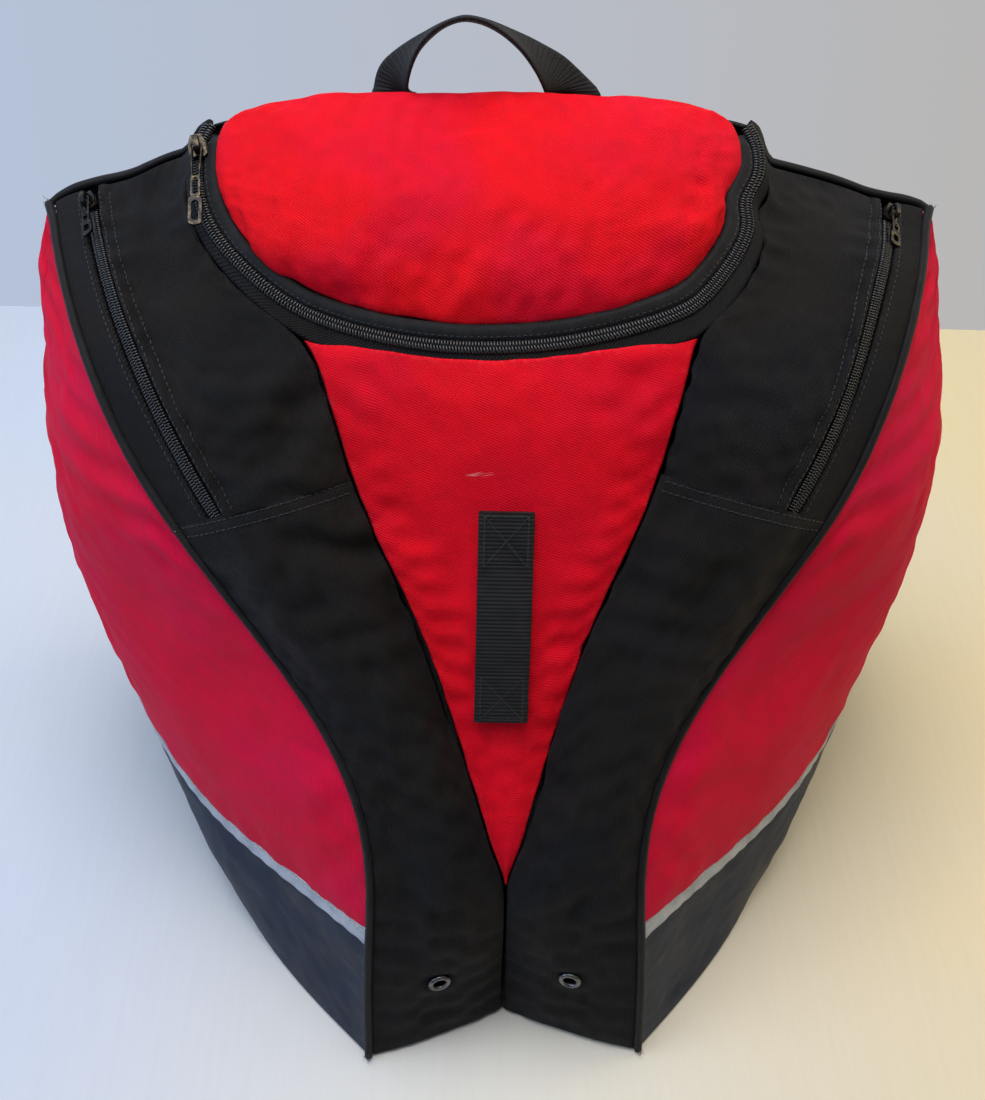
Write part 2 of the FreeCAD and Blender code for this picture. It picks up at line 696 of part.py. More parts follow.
# ------------------------------------------------------------------ front webbing loop
def front_loop():
    """webbing on the front panel, flat at both ends and raised in the middle"""
    centre_height, foot_lift, middle_rise = 249.0, 0.7, 3.0
    half_wide = dim("loop_width") / 2
    # fixed steps that end within one step of the centre height
    centre = 0.5
    for _ in range(40):
        centre += 0.005 if front(0.0, centre)[2] < centre_height else -0.005
    chord = front(0.0, centre + 0.01) - front(0.0, centre - 0.01)
    g_per_mm = 0.02 / math.hypot(chord.y, chord.z)
    sections = []
    for k in span(-1.0, 1.0, 15):
        g = centre + k * dim("loop_long") / 2 * g_per_mm
        normal = surface_normal(front, 0.0, g, (-1, 1), (0, 1))
        if normal.y > 0:
            normal = -normal
        rise = foot_lift + middle_rise * max(0.0, 1 - (k / 0.5) ** 2)
        low = front(0.0, g) + normal * rise
        high = low + normal * (dim("webbing_thick") - 0.2)
        sections.append([Vector(-half_wide, low.y, low.z), Vector(half_wide, low.y, low.z),
                         Vector(half_wide, high.y, high.z), Vector(-half_wide, high.y, high.z)])
    return ruled_bar(sections)


feature("front_webbing_loop", front_loop())


# ------------------------------------------------------------------ zip sliders and pulls
def slider_body(name, placement):
    """local x along the travel, z away from the zip; a bridge stands over the plate"""
    body = new_body(name)
    long, wide = dim("slider_long") / 2, dim("slider_wide") / 2
    outline = [(-long, -wide * 0.62), (-long * 0.2, -wide), (long * 0.75, -wide),
               (long, -wide * 0.6), (long, wide * 0.6), (long * 0.75, wide),
               (-long * 0.2, wide), (-long, wide * 0.62)]
    sketch = poly_sketch(body, name + "_outline", "XY_Plane", outline)
    pad(body, name + "_plate", sketch, "slider_high")
    low = dim("slider_high") - 0.4
    high = dim("slider_high") + dim("bridge_high")
    arch = [(-4.6, low), (-4.0, high - 1.0), (-2.6, high), (2.6, high), (4.0, high - 1.0),
            (4.6, low), (3.2, low), (2.8, high - 1.6), (2.0, high - 1.3), (-2.0, high - 1.3),
            (-2.8, high - 1.6), (-3.2, low)]
    sketch = poly_sketch(body, name + "_bridge_side", "XZ_Plane", arch)
    pad(body, name + "_bridge", sketch, "bridge_wide", Midplane=True)
    finish_body(body, placement)


def pull_body(name, placement, long_alias):
    """tab along local x from its hinge, with a tapered hole by the hinge and one at the tip"""
    body = new_body(name)
    long, wide = dim(long_alias), dim("pull_wide") / 2
    split = long * 0.42
    outline = [(-1.0, -3.5), (split, -2.6), (split + 2.0, -wide), (long - 2.0, -wide),
               (long, -wide + 1.6), (long, wide - 1.6), (long - 2.0, wide),
               (split + 2.0, wide), (split, 2.6), (-1.0, 3.5)]
    hinge_hole = [(0.6, -2.5), (split - 1.4, -1.5), (split - 1.4, 1.5), (0.6, 2.5)]
    tip_hole = [(long - 8.0, -wide + 1.9), (long - 3.4, -wide + 1.9),
                (long - 3.4, wide - 1.9), (long - 8.0, wide - 1.9)]
    sketch = poly_sketch(body, name + "_outline", "XY_Plane", outline, hinge_hole, tip_hole)
    pad(body, name + "_plate", sketch, "pull_thick", Midplane=True)
    finish_body(body, placement)


# the pull's hinge above the slider's foot
HINGE_HEIGHT = dim("slider_high") + dim("bridge_high") / 2 - 0.3


# ------------------------------------------------------------------ side zips
class SideZip:
    """circular arc, in the part's own frame, from the rear of the gusset to the cross seam"""

    def __init__(self, sign):
        surface = sided(gusset, sign)
        v_middle = 0.82
        start, middle, end = [scaled(surface(v, ZIP_U))
                              for v in (0.972, v_middle, V_CROSS + 0.012)]
        # circle through the three points
        to_middle, to_end = middle - start, end - start
        normal = to_middle.cross(to_end)
        to_centre = (normal.cross(to_middle) * to_end.dot(to_end)
                     + to_end.cross(normal) * to_middle.dot(to_middle)
                     ) * (1.0 / (2 * normal.dot(normal)))
        self.centre = start + to_centre
        self.radius = to_centre.Length
        self.axis = normal.normalize()
        self.first = (start - self.centre).normalize()
        self.second = self.axis.cross(self.first)
        from_centre = end - self.centre
        self.sweep = math.atan2(from_centre.dot(self.second), from_centre.dot(self.first))
        if self.sweep < 0:
            self.axis, self.second, self.sweep = -self.axis, -self.second, -self.sweep
        # the section leans from the radial direction to the cloth's normal
        out = surface_normal(surface, v_middle, ZIP_U)
        if out.z < 0:
            out = -out
        radial = (middle - self.centre).normalize()
        self.lean = math.atan2(out.dot(self.axis), out.dot(radial))

    def radial(self, angle):
        return self.first * math.cos(angle) + self.second * math.sin(angle)

    def out(self, angle):
        return self.radial(angle) * math.cos(self.lean) + self.axis * math.sin(self.lean)

    def point(self, angle, across, out):
        radial = self.radial(angle)
        sideways = self.axis * math.cos(self.lean) - radial * math.sin(self.lean)
        return (self.centre + radial * self.radius + sideways * across
                + self.out(angle) * out)

    def revolve(self, profile):
        """(across, out) profile swept a little past both ends"""
        start, end = -3.5 / self.radius, self.sweep + 3.0 / self.radius
        face = Part.Face(closed_polygon([self.point(start, *p) for p in profile]))
        solid = face.revolve(self.centre, self.axis, math.degrees(end - start))
        if solid.Volume < 0:
            solid.reverse()
        return solid


TAPE_HALF = dim("tape_width") / 2
TAPE_TOP = -(FABRIC + 2.8)                      # tape lies below the cloth's outer face
TAPE_SECTION = [(-TAPE_HALF, TAPE_TOP), (TAPE_HALF, TAPE_TOP),
                (TAPE_HALF, TAPE_TOP - dim("tape_thick")),
                (-TAPE_HALF, TAPE_TOP - dim("tape_thick"))]
COIL_FOOT, COIL_TOP = TAPE_TOP + 0.3, TAPE_TOP + COIL_HIGH + 0.3
COIL_SECTION = [(-COIL_HALF, COIL_FOOT), (COIL_HALF, COIL_FOOT), (COIL_HALF, TAPE_TOP + 1.5),
                (COIL_HALF - 0.9, COIL_TOP), (-COIL_HALF + 0.9, COIL_TOP),
                (-COIL_HALF, TAPE_TOP + 1.5)]

for side_name, sign in SIDES:
    side_zip = SideZip(sign)
    feature(side_name + "_side_zip_tape", side_zip.revolve(TAPE_SECTION))
    feature(side_name + "_side_zip_coil", side_zip.revolve(COIL_SECTION))
    # slider at the arc's rear end, heading for the cross seam
    along, out = side_zip.second, side_zip.out(0.0)
    foot = side_zip.point(0.0, 0.0, COIL_TOP + 0.3)
    slider_body(side_name + "_side_slider", frame_placement(foot, along, out))
    pull_body(side_name + "_side_pull",
              frame_placement(foot + out * HINGE_HEIGHT, along, out), "pull_long")


# ------------------------------------------------------------------ lid slider
def lid_slider():
    """near the rear of the left leg of the lid zip, heading forwards"""
    rear, fore = [scaled(COIL_LINE(COIL_LINE.solve(1, y, 0.0, 0.25))) for y in (306.0, 268.0)]
    travel = (fore - rear).normalize()
    foot = rear + LID_NORMAL * (COIL_HIGH - 1.1 + 0.5)
    slider_body("lid_slider", frame_placement(foot, travel, LID_NORMAL))
    outward = LID_NORMAL.cross(travel)
    if outward.x > 0:
        outward = -outward
    pull_body("lid_pull", frame_placement(foot + LID_NORMAL * HINGE_HEIGHT,
                                          travel + outward * 0.16, LID_NORMAL),
              "lid_pull_long")


lid_slider()

# ------------------------------------------------------------------ base
_left = [Vector(-3.0, 26.0, 0)] + [side(V_BOTTOM, s) for s in span(0.0, 1.0, 25)]
_plan = _left + [mirror(p) for p in _left[::-1]]
plan = closed_polygon([scaled((p.x, p.y, 0)) for p in _plan])
feature("base_panel", Part.Face(plan).extrude(Vector(0, 0, dim("base_thick"))))

board = plan.makeOffset2D(-dim("board_inset"), 2, False, False)
if board.BoundBox.XLength > dim("shell_width"):
    raise RuntimeError("offset went outwards")
feature("base_board", Part.Face(board).extrude(Vector(0, 0, dim("board_thick"))),
        Placement(Vector(0, 0, dim("base_thick") + 0.5), Rotation()))

# ------------------------------------------------------------------ back
BACK_FRONT = 327.4                              # y of the back panel's front face
BACK_REAR = BACK_FRONT + dim("back_thick")


def upright_plate(outline, thick):
    """plate from an (x, z) outline, extruded backwards"""
    points = [Vector(x * SCALE_X, 0, z * SCALE_Z) for x, z in outline]
    return Part.Face(closed_polygon(points)).extrude(Vector(0, thick, 0))


def back_outline():
    """(x, z) up the left side and over the top to the right"""
    left = [(back_seam_at(z).x + PIPE_CLEAR, z)
            for z in (2.9, 40, 80, 120, 160, 200, 240, 280, 320)]
    left += [(-241.0 + PIPE_CLEAR, 350.0), (-237.0 + PIPE_CLEAR, 362.0), (-232.0, 369.5)]
    shoulder = [gusset(V_GUSSET_TOP, u) for u in (0.1, 0.25, 0.45, 0.65, 0.85, 0.97)]
    left += [(p.x, p.z - 1.2) for p in shoulder]
    left += [(-136.0, 412.0), (-120.0, 415.0)]
    return left + [(-x, z) for x, z in left[::-1]]


feature("back_panel", upright_plate(back_outline(), dim("back_thick")),
        at(0, BACK_FRONT, 0))


def box_body(name, placement, wide_alias, tall_alias, thick_alias, round_alias=None):
    """upright rectangle, thickened backwards; rounded except around its front face"""
    body = new_body(name)
    wide, tall, thick = dim(wide_alias), dim(tall_alias), dim(thick_alias)
    sketch = poly_sketch(body, name + "_outline", "XZ_Plane",
                         [(a * wide / 2, b * tall / 2) for a, b in RECTANGLE])
    for kind, lines in (("Horizontal", (0, 2)), ("Vertical", (1, 3))):
        for line in lines:
            sketch.addConstraint(Sketcher.Constraint(kind, line))
    for kind, line, alias, size in (("DistanceX", 0, wide_alias, wide),
                                    ("DistanceY", 1, tall_alias, tall)):
        index = sketch.addConstraint(Sketcher.Constraint(kind, line, 1, line, 2, size))
        sketch.setExpression("Constraints[%d]" % index, "Dims." + alias)
    # opposite corners symmetric about the origin
    sketch.addConstraint(Sketcher.Constraint("Symmetric", 0, 1, 1, 2, -1, 1))
    block = pad(body, name + "_pad", sketch, thick_alias, Reversed=True)
    doc.recompute()
    if round_alias:
        rounding = body.newObject("PartDesign::Fillet", name + "_round")
        edges = ["Edge%d" % i for i, edge in enumerate(block.Shape.Edges, start=1)
                 if abs(edge.CenterOfMass.y) > thick * 0.4]
        rounding.Base = (block, edges)
        rounding.setExpression("Radius", "Dims." + round_alias)
    finish_body(body, placement)


ON_BACK = BACK_REAR + GAP                       # y of what is mounted on the back panel
for side_name, sign in SIDES:
    box_body(side_name + "_back_pad", at(sign * 62.0, ON_BACK, 235.0),
             "pad_width", "pad_tall", "pad_thick", "pad_round")
box_body("lumbar_pad", at(0, ON_BACK, 56.0),
         "lumbar_width", "lumbar_tall", "lumbar_thick", "pad_round")
box_body("frame_sheet", at(0, 322.2, 170.0), "sheet_width", "sheet_tall", "sheet_thick")
box_body("harness_yoke", at(0, ON_BACK, 391.0), "yoke_width", "yoke_tall", "yoke_thick")

# ------------------------------------------------------------------ dividers
for side_name, sign in SIDES:
    feature(side_name + "_divider",
            fabric(sided(divider, sign), 10, 5, Vector(sign * -400.0, 240.0, 150.0),
                   lift=0.5 * dim("divider_thick"), thick=dim("divider_thick")))

# ------------------------------------------------------------------ grab handle
WEBBING_WIDE, WEBBING_THICK = dim("webbing_width"), dim("webbing_thick")
TAB_Y = ON_BACK + dim("yoke_thick") + GAP       # front face of the anchor tabs
TAB_THICK = WEBBING_THICK + 0.4
HANDLE_HALF = dim("handle_spread") / 2
HANDLE_Y = TAB_Y + TAB_THICK / 2 + 0.3
HANDLE_FOOT_Z = 423.5


def anchor_tabs():
    tabs = []
    for _, sign in SIDES:
        tab = Part.makeBox(WEBBING_WIDE, TAB_THICK, 19.0)
        tab.translate(scaled((sign * HANDLE_HALF - WEBBING_WIDE / 2, TAB_Y, 400.0)))
        tabs.append(tab)
    return Part.makeCompound(tabs)


def handle_line(k):
    """k from the left foot (-1) to the right foot (1)"""
    rise = dim("handle_rise") * (1.0 - abs(k) ** 1.55)
    return Vector(HANDLE_HALF * k, HANDLE_Y, HANDLE_FOOT_Z + rise)


def handle_section(k):
    tangent = (handle_line(min(1.0, k + 0.01)) - handle_line(max(-1.0, k - 0.01))).normalize()
    # the feet run straight up out of the tabs
    foot = max(0.0, (abs(k) - 0.78) / 0.22)
    upright = Vector(0, 0, -1.0 if k > 0 else 1.0)
    tangent = mix(tangent, upright, foot).normalize()
    # flat against the back at the feet, edge-on at the top
    turn = math.radians(84.0) * max(0.0, 1 - abs(k) ** 2.6) ** 0.7
    in_arch = Vector(-tangent.z, 0, tangent.x)
    across = in_arch * math.cos(turn) + Y_AXIS * math.sin(turn)
    out = Y_AXIS * math.cos(turn) - in_arch * math.sin(turn)
    half_wide = WEBBING_WIDE / 2 * (0.84 + 0.10 * abs(k))
    return section(handle_line(k), across * half_wide, out * (dim("handle_thick") / 2))


feature("handle_anchor_tabs", anchor_tabs())
feature("grab_handle", ruled_bar([handle_section(k) for k in span(-1.0, 1.0, 25)]))

# ------------------------------------------------------------------ shoulder straps
# centre line of the right strap from the yoke down
STRAP_PATH = Spline([(48, 336.2, 398), (50, 339.0, 386), (53, 345.5, 369), (59, 348.5, 335),
                     (71, 350.5, 270), (84, 350.5, 200), (91, 347.5, 145), (93, 345.8, 122)])
# flat octagon in half widths and half thicknesses
STRAP_PROFILE = [(-1, -0.35), (-0.86, -1), (0.86, -1), (1, -0.35), (1, 0.35), (0.86, 1),
                 (-0.86, 1), (-1, 0.35)]


def strap_section(t):
    """narrower and thinner towards both ends"""
    along = (STRAP_PATH(min(1, t + 0.01)) - STRAP_PATH(max(0, t - 0.01))).normalize()
    across = along.cross(Y_AXIS).normalize()
    out = across.cross(along).normalize()
    if out.y < 0:
        out = -out
    head = min(1.0, t / 0.13)
    tail = min(1.0, (1 - t) / 0.10)
    half_wide = (dim("strap_width") / 2 * (0.80 + 0.20 * min(1.0, t / 0.25))
                 * (0.62 + 0.38 * tail ** 0.6))
    half_thick = dim("strap_thick") / 2 * (0.42 + 0.58 * head) * (0.5 + 0.5 * tail ** 0.7)
    return section(STRAP_PATH(t), across * half_wide, out * half_thick, STRAP_PROFILE)


def shoulder_strap(sign):
    sections = [strap_section(t) for t in span(0.0, 1.0, 15)]
    if sign < 0:
        sections = [[mirror(p) for p in points] for points in sections]
    return ruled_bar(sections)


LOCK_X = 93.3                                   # ladder lock and head of the webbing tail


def ladder_lock(name, sign):
    """plate with three slots, hanging from the strap's lower end"""
    body = new_body(name)
    half, slot_half = dim("buckle_wide") / 2, dim("buckle_wide") / 2 - 3.2
    long, slot = dim("buckle_long"), dim("buckle_slot")
    outline = [(-half, -long), (half, -long), (half, 0), (-half, 0)]
    slots = [[(-slot_half, top - slot), (slot_half, top - slot), (slot_half, top),
              (-slot_half, top)] for top in (-4.0, -14.5, -22.0)]
    sketch = poly_sketch(body, name + "_outline", "XZ_Plane", outline, *slots)
    pad(body, name + "_plate", sketch, "buckle_thick", Midplane=True)
    finish_body(body, at(sign * LOCK_X, 345.6, 120.0))


def lower_webbing(sign):
    """straight webbing from the base corner up to the ladder lock"""
    low = Vector(sign * 168.0, BACK_REAR + 5.6, 40.0)
    high = Vector(sign * 108.0, 344.4, 80.5)
    along = (high - low).normalize()
    across = along.cross(Y_AXIS).normalize()
    out = across.cross(along).normalize()
    return ruled_bar([section(p, across * (WEBBING_WIDE / 2), out * (WEBBING_THICK / 2))
                      for p in (low, mix(low, high, 0.5), high)])


def webbing_tail(sign):
    """free end below the ladder lock"""
    across, out = Vector(WEBBING_WIDE / 2, 0, 0), Vector(0, WEBBING_THICK / 2, 0)
    return ruled_bar([
        section(Vector(sign * (LOCK_X - 10.0 * k), 350.2 + 5.0 * math.sin(k * 1.6),
                       108.0 - 78.0 * k), across, out)
        for k in span(0.0, 1.0, 7)])


ANCHOR_TRIANGLE = [(140.0, 22.0), (206.0, 10.0), (208.0, 62.0)]     # (x, z) on the right
for side_name, sign in SIDES:
    feature(side_name + "_shoulder_strap", shoulder_strap(sign))
    ladder_lock(side_name + "_ladder_lock", sign)
    feature(side_name + "_lower_webbing", lower_webbing(sign))
    feature(side_name + "_webbing_tail", webbing_tail(sign))
    feature(side_name + "_anchor_tab",
            upright_plate([(sign * x, z) for x, z in ANCHOR_TRIANGLE], 2.2),
            at(0, ON_BACK, 0))

# ------------------------------------------------------------------ checks and export
doc.recompute()
bad = ["state %s %s" % (node.Label, node.State) for node in doc.Objects
       if "Invalid" in node.State or "Error" in node.State]
for node in NODES:
    shape = node.Shape
    if shape.isNull() or not shape.isValid():
        bad.append("shape %s" % node.Label)
    elif shape.Volume <= 0 or len(shape.Solids) < 1:
        bad.append("volume %s %s" % (node.Label, shape.Volume))
if len({node.Label for node in NODES}) != len(NODES):
    bad.append("duplicate label")
if bad:
    raise RuntimeError("; ".join(bad))
for node in NODES:
    node.Shape.exportStep("parts/%s.step" % node.Label)
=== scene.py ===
"""A boot bag worn as a backpack: two boot compartments at the sides, a helmet compartment
between them under a domed zipped lid, and a padded back with shoulder straps.

Shapes are worked out in millimetres: x to the right, y backwards from the front bottom corners,
z up.  to_row() turns them into the row frame, which is in metres with y = 0 at mid depth.
"""
import functools
import math
import random

import bmesh
import bpy
import numpy as np
from mathutils import Matrix, Vector


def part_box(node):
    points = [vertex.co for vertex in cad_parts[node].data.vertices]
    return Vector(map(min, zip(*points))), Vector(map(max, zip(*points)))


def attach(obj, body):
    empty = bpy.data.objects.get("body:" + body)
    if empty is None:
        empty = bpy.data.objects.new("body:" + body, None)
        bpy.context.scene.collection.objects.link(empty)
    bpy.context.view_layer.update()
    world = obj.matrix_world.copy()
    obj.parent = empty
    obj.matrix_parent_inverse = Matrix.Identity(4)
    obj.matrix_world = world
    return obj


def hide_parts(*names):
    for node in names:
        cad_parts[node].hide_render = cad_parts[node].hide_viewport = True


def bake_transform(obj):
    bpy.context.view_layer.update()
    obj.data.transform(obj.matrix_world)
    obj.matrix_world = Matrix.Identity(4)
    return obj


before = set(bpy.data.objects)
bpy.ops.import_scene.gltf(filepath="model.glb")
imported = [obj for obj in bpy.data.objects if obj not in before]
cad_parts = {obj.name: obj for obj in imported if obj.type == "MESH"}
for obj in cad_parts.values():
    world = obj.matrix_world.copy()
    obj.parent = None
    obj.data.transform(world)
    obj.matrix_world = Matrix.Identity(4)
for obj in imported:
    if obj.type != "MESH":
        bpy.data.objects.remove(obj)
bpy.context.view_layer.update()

random.seed(7)

MID_DEPTH = 165.0                     # y that becomes 0 in the row frame
SIDES = ((-1, "left"), (1, "right"))  # sign of x, name


# ------------------------------------------------------------------ vectors and splines
def vadd(a, b):
    return (a[0] + b[0], a[1] + b[1], a[2] + b[2])


def vsub(a, b):
    return (a[0] - b[0], a[1] - b[1], a[2] - b[2])


def vmul(a, k):
    return (a[0] * k, a[1] * k, a[2] * k)


def vdot(a, b):
    return a[0] * b[0] + a[1] * b[1] + a[2] * b[2]


def vcross(a, b):
    return (a[1] * b[2] - a[2] * b[1], a[2] * b[0] - a[0] * b[2], a[0] * b[1] - a[1] * b[0])


def vlen(a):
    return math.sqrt(vdot(a, a))


def vunit(a):
    size = vlen(a)
    return vmul(a, 1.0 / size) if size > 1e-12 else (0.0, 0.0, 1.0)


def vmix(a, b, k):
    return tuple(x + (y - x) * k for x, y in zip(a, b))


def bisect(is_low, low, high, steps=40):
    """the place between low and high where is_low stops being true"""
    for _ in range(steps):
        middle = (low + high) / 2
        if is_low(middle):
            low = middle
        else:
            high = middle
    return (low + high) / 2


class Spline:
    """natural cubic through numbers or points; the knots default to chord fractions"""

    def __init__(self, points, knots=None):
        points = [tuple(float(c) for c in (p if hasattr(p, "__len__") else (p,))) for p in points]
        if knots is None:
            run = [0.0]
            for p, q in zip(points, points[1:]):
                run.append(run[-1] + math.sqrt(sum((b - a) ** 2 for a, b in zip(p, q))))
            knots = [r / run[-1] for r in run]
        self.points = points
        self.knots = [float(k) for k in knots]
        gap = np.diff(self.knots)
        at = np.array(points)
        system = np.eye(len(points))
        bend = np.zeros(at.shape)
        for i in range(1, len(points) - 1):
            system[i, i - 1:i + 2] = gap[i - 1], 2 * (gap[i - 1] + gap[i]), gap[i]
            bend[i] = 6 * ((at[i + 1] - at[i]) / gap[i] - (at[i] - at[i - 1]) / gap[i - 1])
        self.bend = np.linalg.solve(system, bend).tolist()

    def __call__(self, t):
        knots, points, bend = self.knots, self.points, self.bend
        i = 0
        while i < len(knots) - 2 and t >= knots[i + 1]:
            i += 1
        gap = knots[i + 1] - knots[i]
        a = (knots[i + 1] - t) / gap
        b = (t - knots[i]) / gap
        value = tuple(a * p + b * q + ((a ** 3 - a) * m + (b ** 3 - b) * n) * gap * gap / 6
                      for p, q, m, n in zip(points[i], points[i + 1], bend[i], bend[i + 1]))
        return value if len(value) > 1 else value[0]

    def solve(self, axis, value, low=0.0, high=1.0):
        """parameter where one coordinate reaches a value"""
        starts_above = self(low)[axis] - value > 0
        return bisect(lambda t: (self(t)[axis] - value > 0) == starts_above, low, high, 60)


# ------------------------------------------------------------------ seams of the left half
# (x, y, z) from the base up to the back corner
OUTER_SEAM = Spline([
    (-80, 0, 0), (-78, 17, 50), (-75, 34, 95), (-73, 50, 128), (-76, 70, 158), (-88, 95, 185),
    (-108, 120, 210), (-133, 143, 239), (-153, 160, 263), (-170, 176, 283), (-187, 196, 305),
    (-202, 220, 328), (-217, 255, 349), (-229, 292, 362), (-238, 325, 370)])
INNER_SEAM = Spline([
    (-3, 26, 0), (-3, 38, 62), (-4, 50, 125), (-19, 86, 176), (-46, 135, 247), (-72, 171, 298),
    (-87, 201, 341), (-97, 219, 360), (-118, 238, 368), (-141, 266, 382), (-149, 295, 396),
    (-146, 325, 408)])
TIP_Z = 125.0                         # lower tip of the front panel
V_CROSS = OUTER_SEAM.solve(2, 277.0)  # the cross seam above the toe panel, at both seams
T_CROSS = INNER_SEAM.solve(2, 305.0)
V_TIP = OUTER_SEAM.solve(2, TIP_Z)
T_TIP = INNER_SEAM.solve(2, TIP_Z)
# inner seam parameter that faces an outer seam parameter
INNER_OF = Spline([0.0, T_TIP * 0.5, T_TIP, T_CROSS, 1.0], [0.0, V_TIP * 0.5, V_TIP, V_CROSS, 1.0])
# height of the bulge between the seams
CROWN = Spline([3, 6, 11, 15, 13, 8, 4], [0.0, 0.12, 0.3, 0.45, 0.62, 0.82, 1.0])


def gusset(v, u):
    """black panel between the seams: v along, u = 0 outer seam, u = 1 inner seam"""
    outer, inner = OUTER_SEAM(v), INNER_SEAM(INNER_OF(v))
    ahead, behind = min(1.0, v + 1e-3), max(0.0, v - 1e-3)
    tangent = vsub(vmix(OUTER_SEAM(ahead), INNER_SEAM(INNER_OF(ahead)), 0.5),
                   vmix(OUTER_SEAM(behind), INNER_SEAM(INNER_OF(behind)), 0.5))
    normal = vunit(vcross(vsub(inner, outer), tangent))
    if normal[1] > 0.2 or normal[2] < -0.3:
        normal = vmul(normal, -1)
    return vadd(vmix(outer, inner, u), vmul(normal, CROWN(v) * (4 * u * (1 - u))))


# z, then (x, y) of a horizontal section of the side from front seam to back seam
SIDE_ROWS = [
    (0, [(-118, 36), (-158, 85), (-185, 140), (-203, 200), (-212, 265), (-214, 325)]),
    (40, [(-120, 55), (-165, 95), (-191, 132), (-212, 195), (-221, 265), (-222, 325)]),
    (80, [(-125, 74), (-176, 118), (-214, 168), (-230, 215), (-237, 268), (-231, 325)]),
    (120, [(-128, 90), (-184, 135), (-226, 188), (-240, 225), (-247, 272), (-237, 325)]),
    (160, [(-136, 112), (-193, 152), (-233, 198), (-248, 235), (-253, 275), (-241, 325)]),
    (200, [(-151, 143), (-200, 171), (-238, 206), (-252, 240), (-257, 278), (-244, 325)]),
    (240, [(-172, 164), (-211, 189), (-240, 219), (-253, 250), (-257, 283), (-245, 325)]),
    (280, [(-195, 191), (-221, 211), (-240, 237), (-250, 264), (-253, 290), (-244, 325)]),
    (320, [(-213, 231), (-226, 248), (-237, 267), (-244, 285), (-246, 302), (-242, 325)]),
    (350, [(-228, 272), (-236, 286), (-241, 297), (-244, 307), (-244, 316), (-241, 325)]),
    (364, [(-236, 304), (-238, 309), (-239, 313), (-240, 317), (-240, 321), (-239, 325)]),
]
EIGHTHS = [k / 8.0 for k in range(9)]


def v_at_height(z):
    return OUTER_SEAM.solve(2, z) if z > 0 else 0.0


def side_columns():
    """splines up the side, at eighths of the way from front seam to back seam"""
    rows, stations = [], []
    for z, section in SIDE_ROWS:
        v = v_at_height(float(z))
        seam = OUTER_SEAM(v)
        spline = Spline([(seam[0], seam[1], z)] + [(x, y, z) for x, y in section])
        rows.append([spline(k) for k in EIGHTHS])
        stations.append(v)
    return [Spline([row[k] for row in rows], stations) for k in range(9)]


SIDE_COLUMNS = side_columns()
BACK_SEAM = Spline([(section[-1][0], 325.0, z) for z, section in SIDE_ROWS])


def side(v, s):
    """v as on the outer seam; s = 0 front seam, s = 1 back seam"""
    return Spline([column(v) for column in SIDE_COLUMNS], EIGHTHS)(s)


# height to outer seam parameter
SEAM_HEIGHTS = [0.0, 15, 30, 50, 75, 100, 128, 158, 185, 210, 239, 263, 283, 305, 328, 349, 362,
                368]
V_OF_Z = Spline([v_at_height(z) for z in SEAM_HEIGHTS], SEAM_HEIGHTS)
# centre height of the reflective strip against the fraction along the side, front to back
STRIP_Z = Spline([94, 91, 87, 86, 90, 101, 120, 148, 170, 182],
                 [0.0, 0.08, 0.18, 0.28, 0.38, 0.48, 0.6, 0.76, 0.9, 1.0])
# how far the arc of a side zip runs off its line on the shoulder, towards the inner seam
ZIP_DRIFT = Spline([0.0, 0.0, 0.06, -0.26, -0.96, -1.88, -2.29, -1.66, -0.44, 0.71, 1.54, 2.04,
                    2.16, 1.88, 1.14, 0.0, 0.0],
                   [0.6, 0.652, 0.675, 0.698, 0.721, 0.743, 0.766, 0.789, 0.812, 0.835, 0.858,
                    0.881, 0.903, 0.926, 0.949, 0.972, 1.0])


def sided(surface, sign):
    """a surface of the left half, or its mirror image for the right"""
    if sign < 0:
        return surface

    def mirrored(a, b):
        x, y, z = surface(a, b)
        return (-x, y, z)
    return mirrored


# ------------------------------------------------------------------ lid zip
# its line lies in a plane that rises backwards from the front
LID_TILT = math.radians(28.5)
LID_N = (0.0, -math.sin(LID_TILT), math.cos(LID_TILT))


def lid_plane(x, y):
    return (x, y, 357.0 + (y - 212.0) * math.tan(LID_TILT))


# coil centre x, y and outer edge x, y, z of the body-side tape; front centre to right rear
ZIP_ROWS = [
    (0, 213.5, 0, 207.0, 351.0), (28, 214.8, 30, 208.0, 351.8), (55, 219, 60, 211.2, 354.0),
    (80, 225.5, 84, 215.5, 357.3), (98, 233, 99, 221.5, 361.0), (112, 243.5, 117, 236, 367.0),
    (125, 256.5, 131.5, 252, 374.5), (135, 271, 142, 268.5, 383),
    (140.5, 286, 147.5, 287, 392), (142, 299, 148.5, 301, 399), (140.5, 310, 146, 314, 405),
    (136.5, 318, 142.5, 321.5, 408.5)]
LEFT_TO_RIGHT = [(-cx, cy, -ex, ey, ez) for cx, cy, ex, ey, ez in ZIP_ROWS[:0:-1]] + ZIP_ROWS
COIL_LINE = Spline([lid_plane(*row[:2]) for row in LEFT_TO_RIGHT])
TAPE_EDGE = Spline([row[2:] for row in LEFT_TO_RIGHT], COIL_LINE.knots)


def coil_frame(q):
    """centre, outward direction in the lid plane, tangent"""
    tangent = vunit(vsub(COIL_LINE(min(1.0, q + 2e-3)), COIL_LINE(max(0.0, q - 2e-3))))
    outward = vunit(vcross(tangent, LID_N))
    centre = COIL_LINE(q)
    if vdot(outward, vsub(centre, lid_plane(0, 280))) < 0:
        outward = vmul(outward, -1)
    return centre, outward, tangent


def coil_at(q, out, up):
    """point beside the coil; both ends of the zip dive under the fold"""
    centre, outward, _ = coil_frame(q)
    dive = max(0.0, min(1.0, (0.030 - min(q, 1 - q)) / 0.030))
    return vadd(centre, vadd(vmul(outward, out), vmul(LID_N, up - 7.0 * dive * dive)))


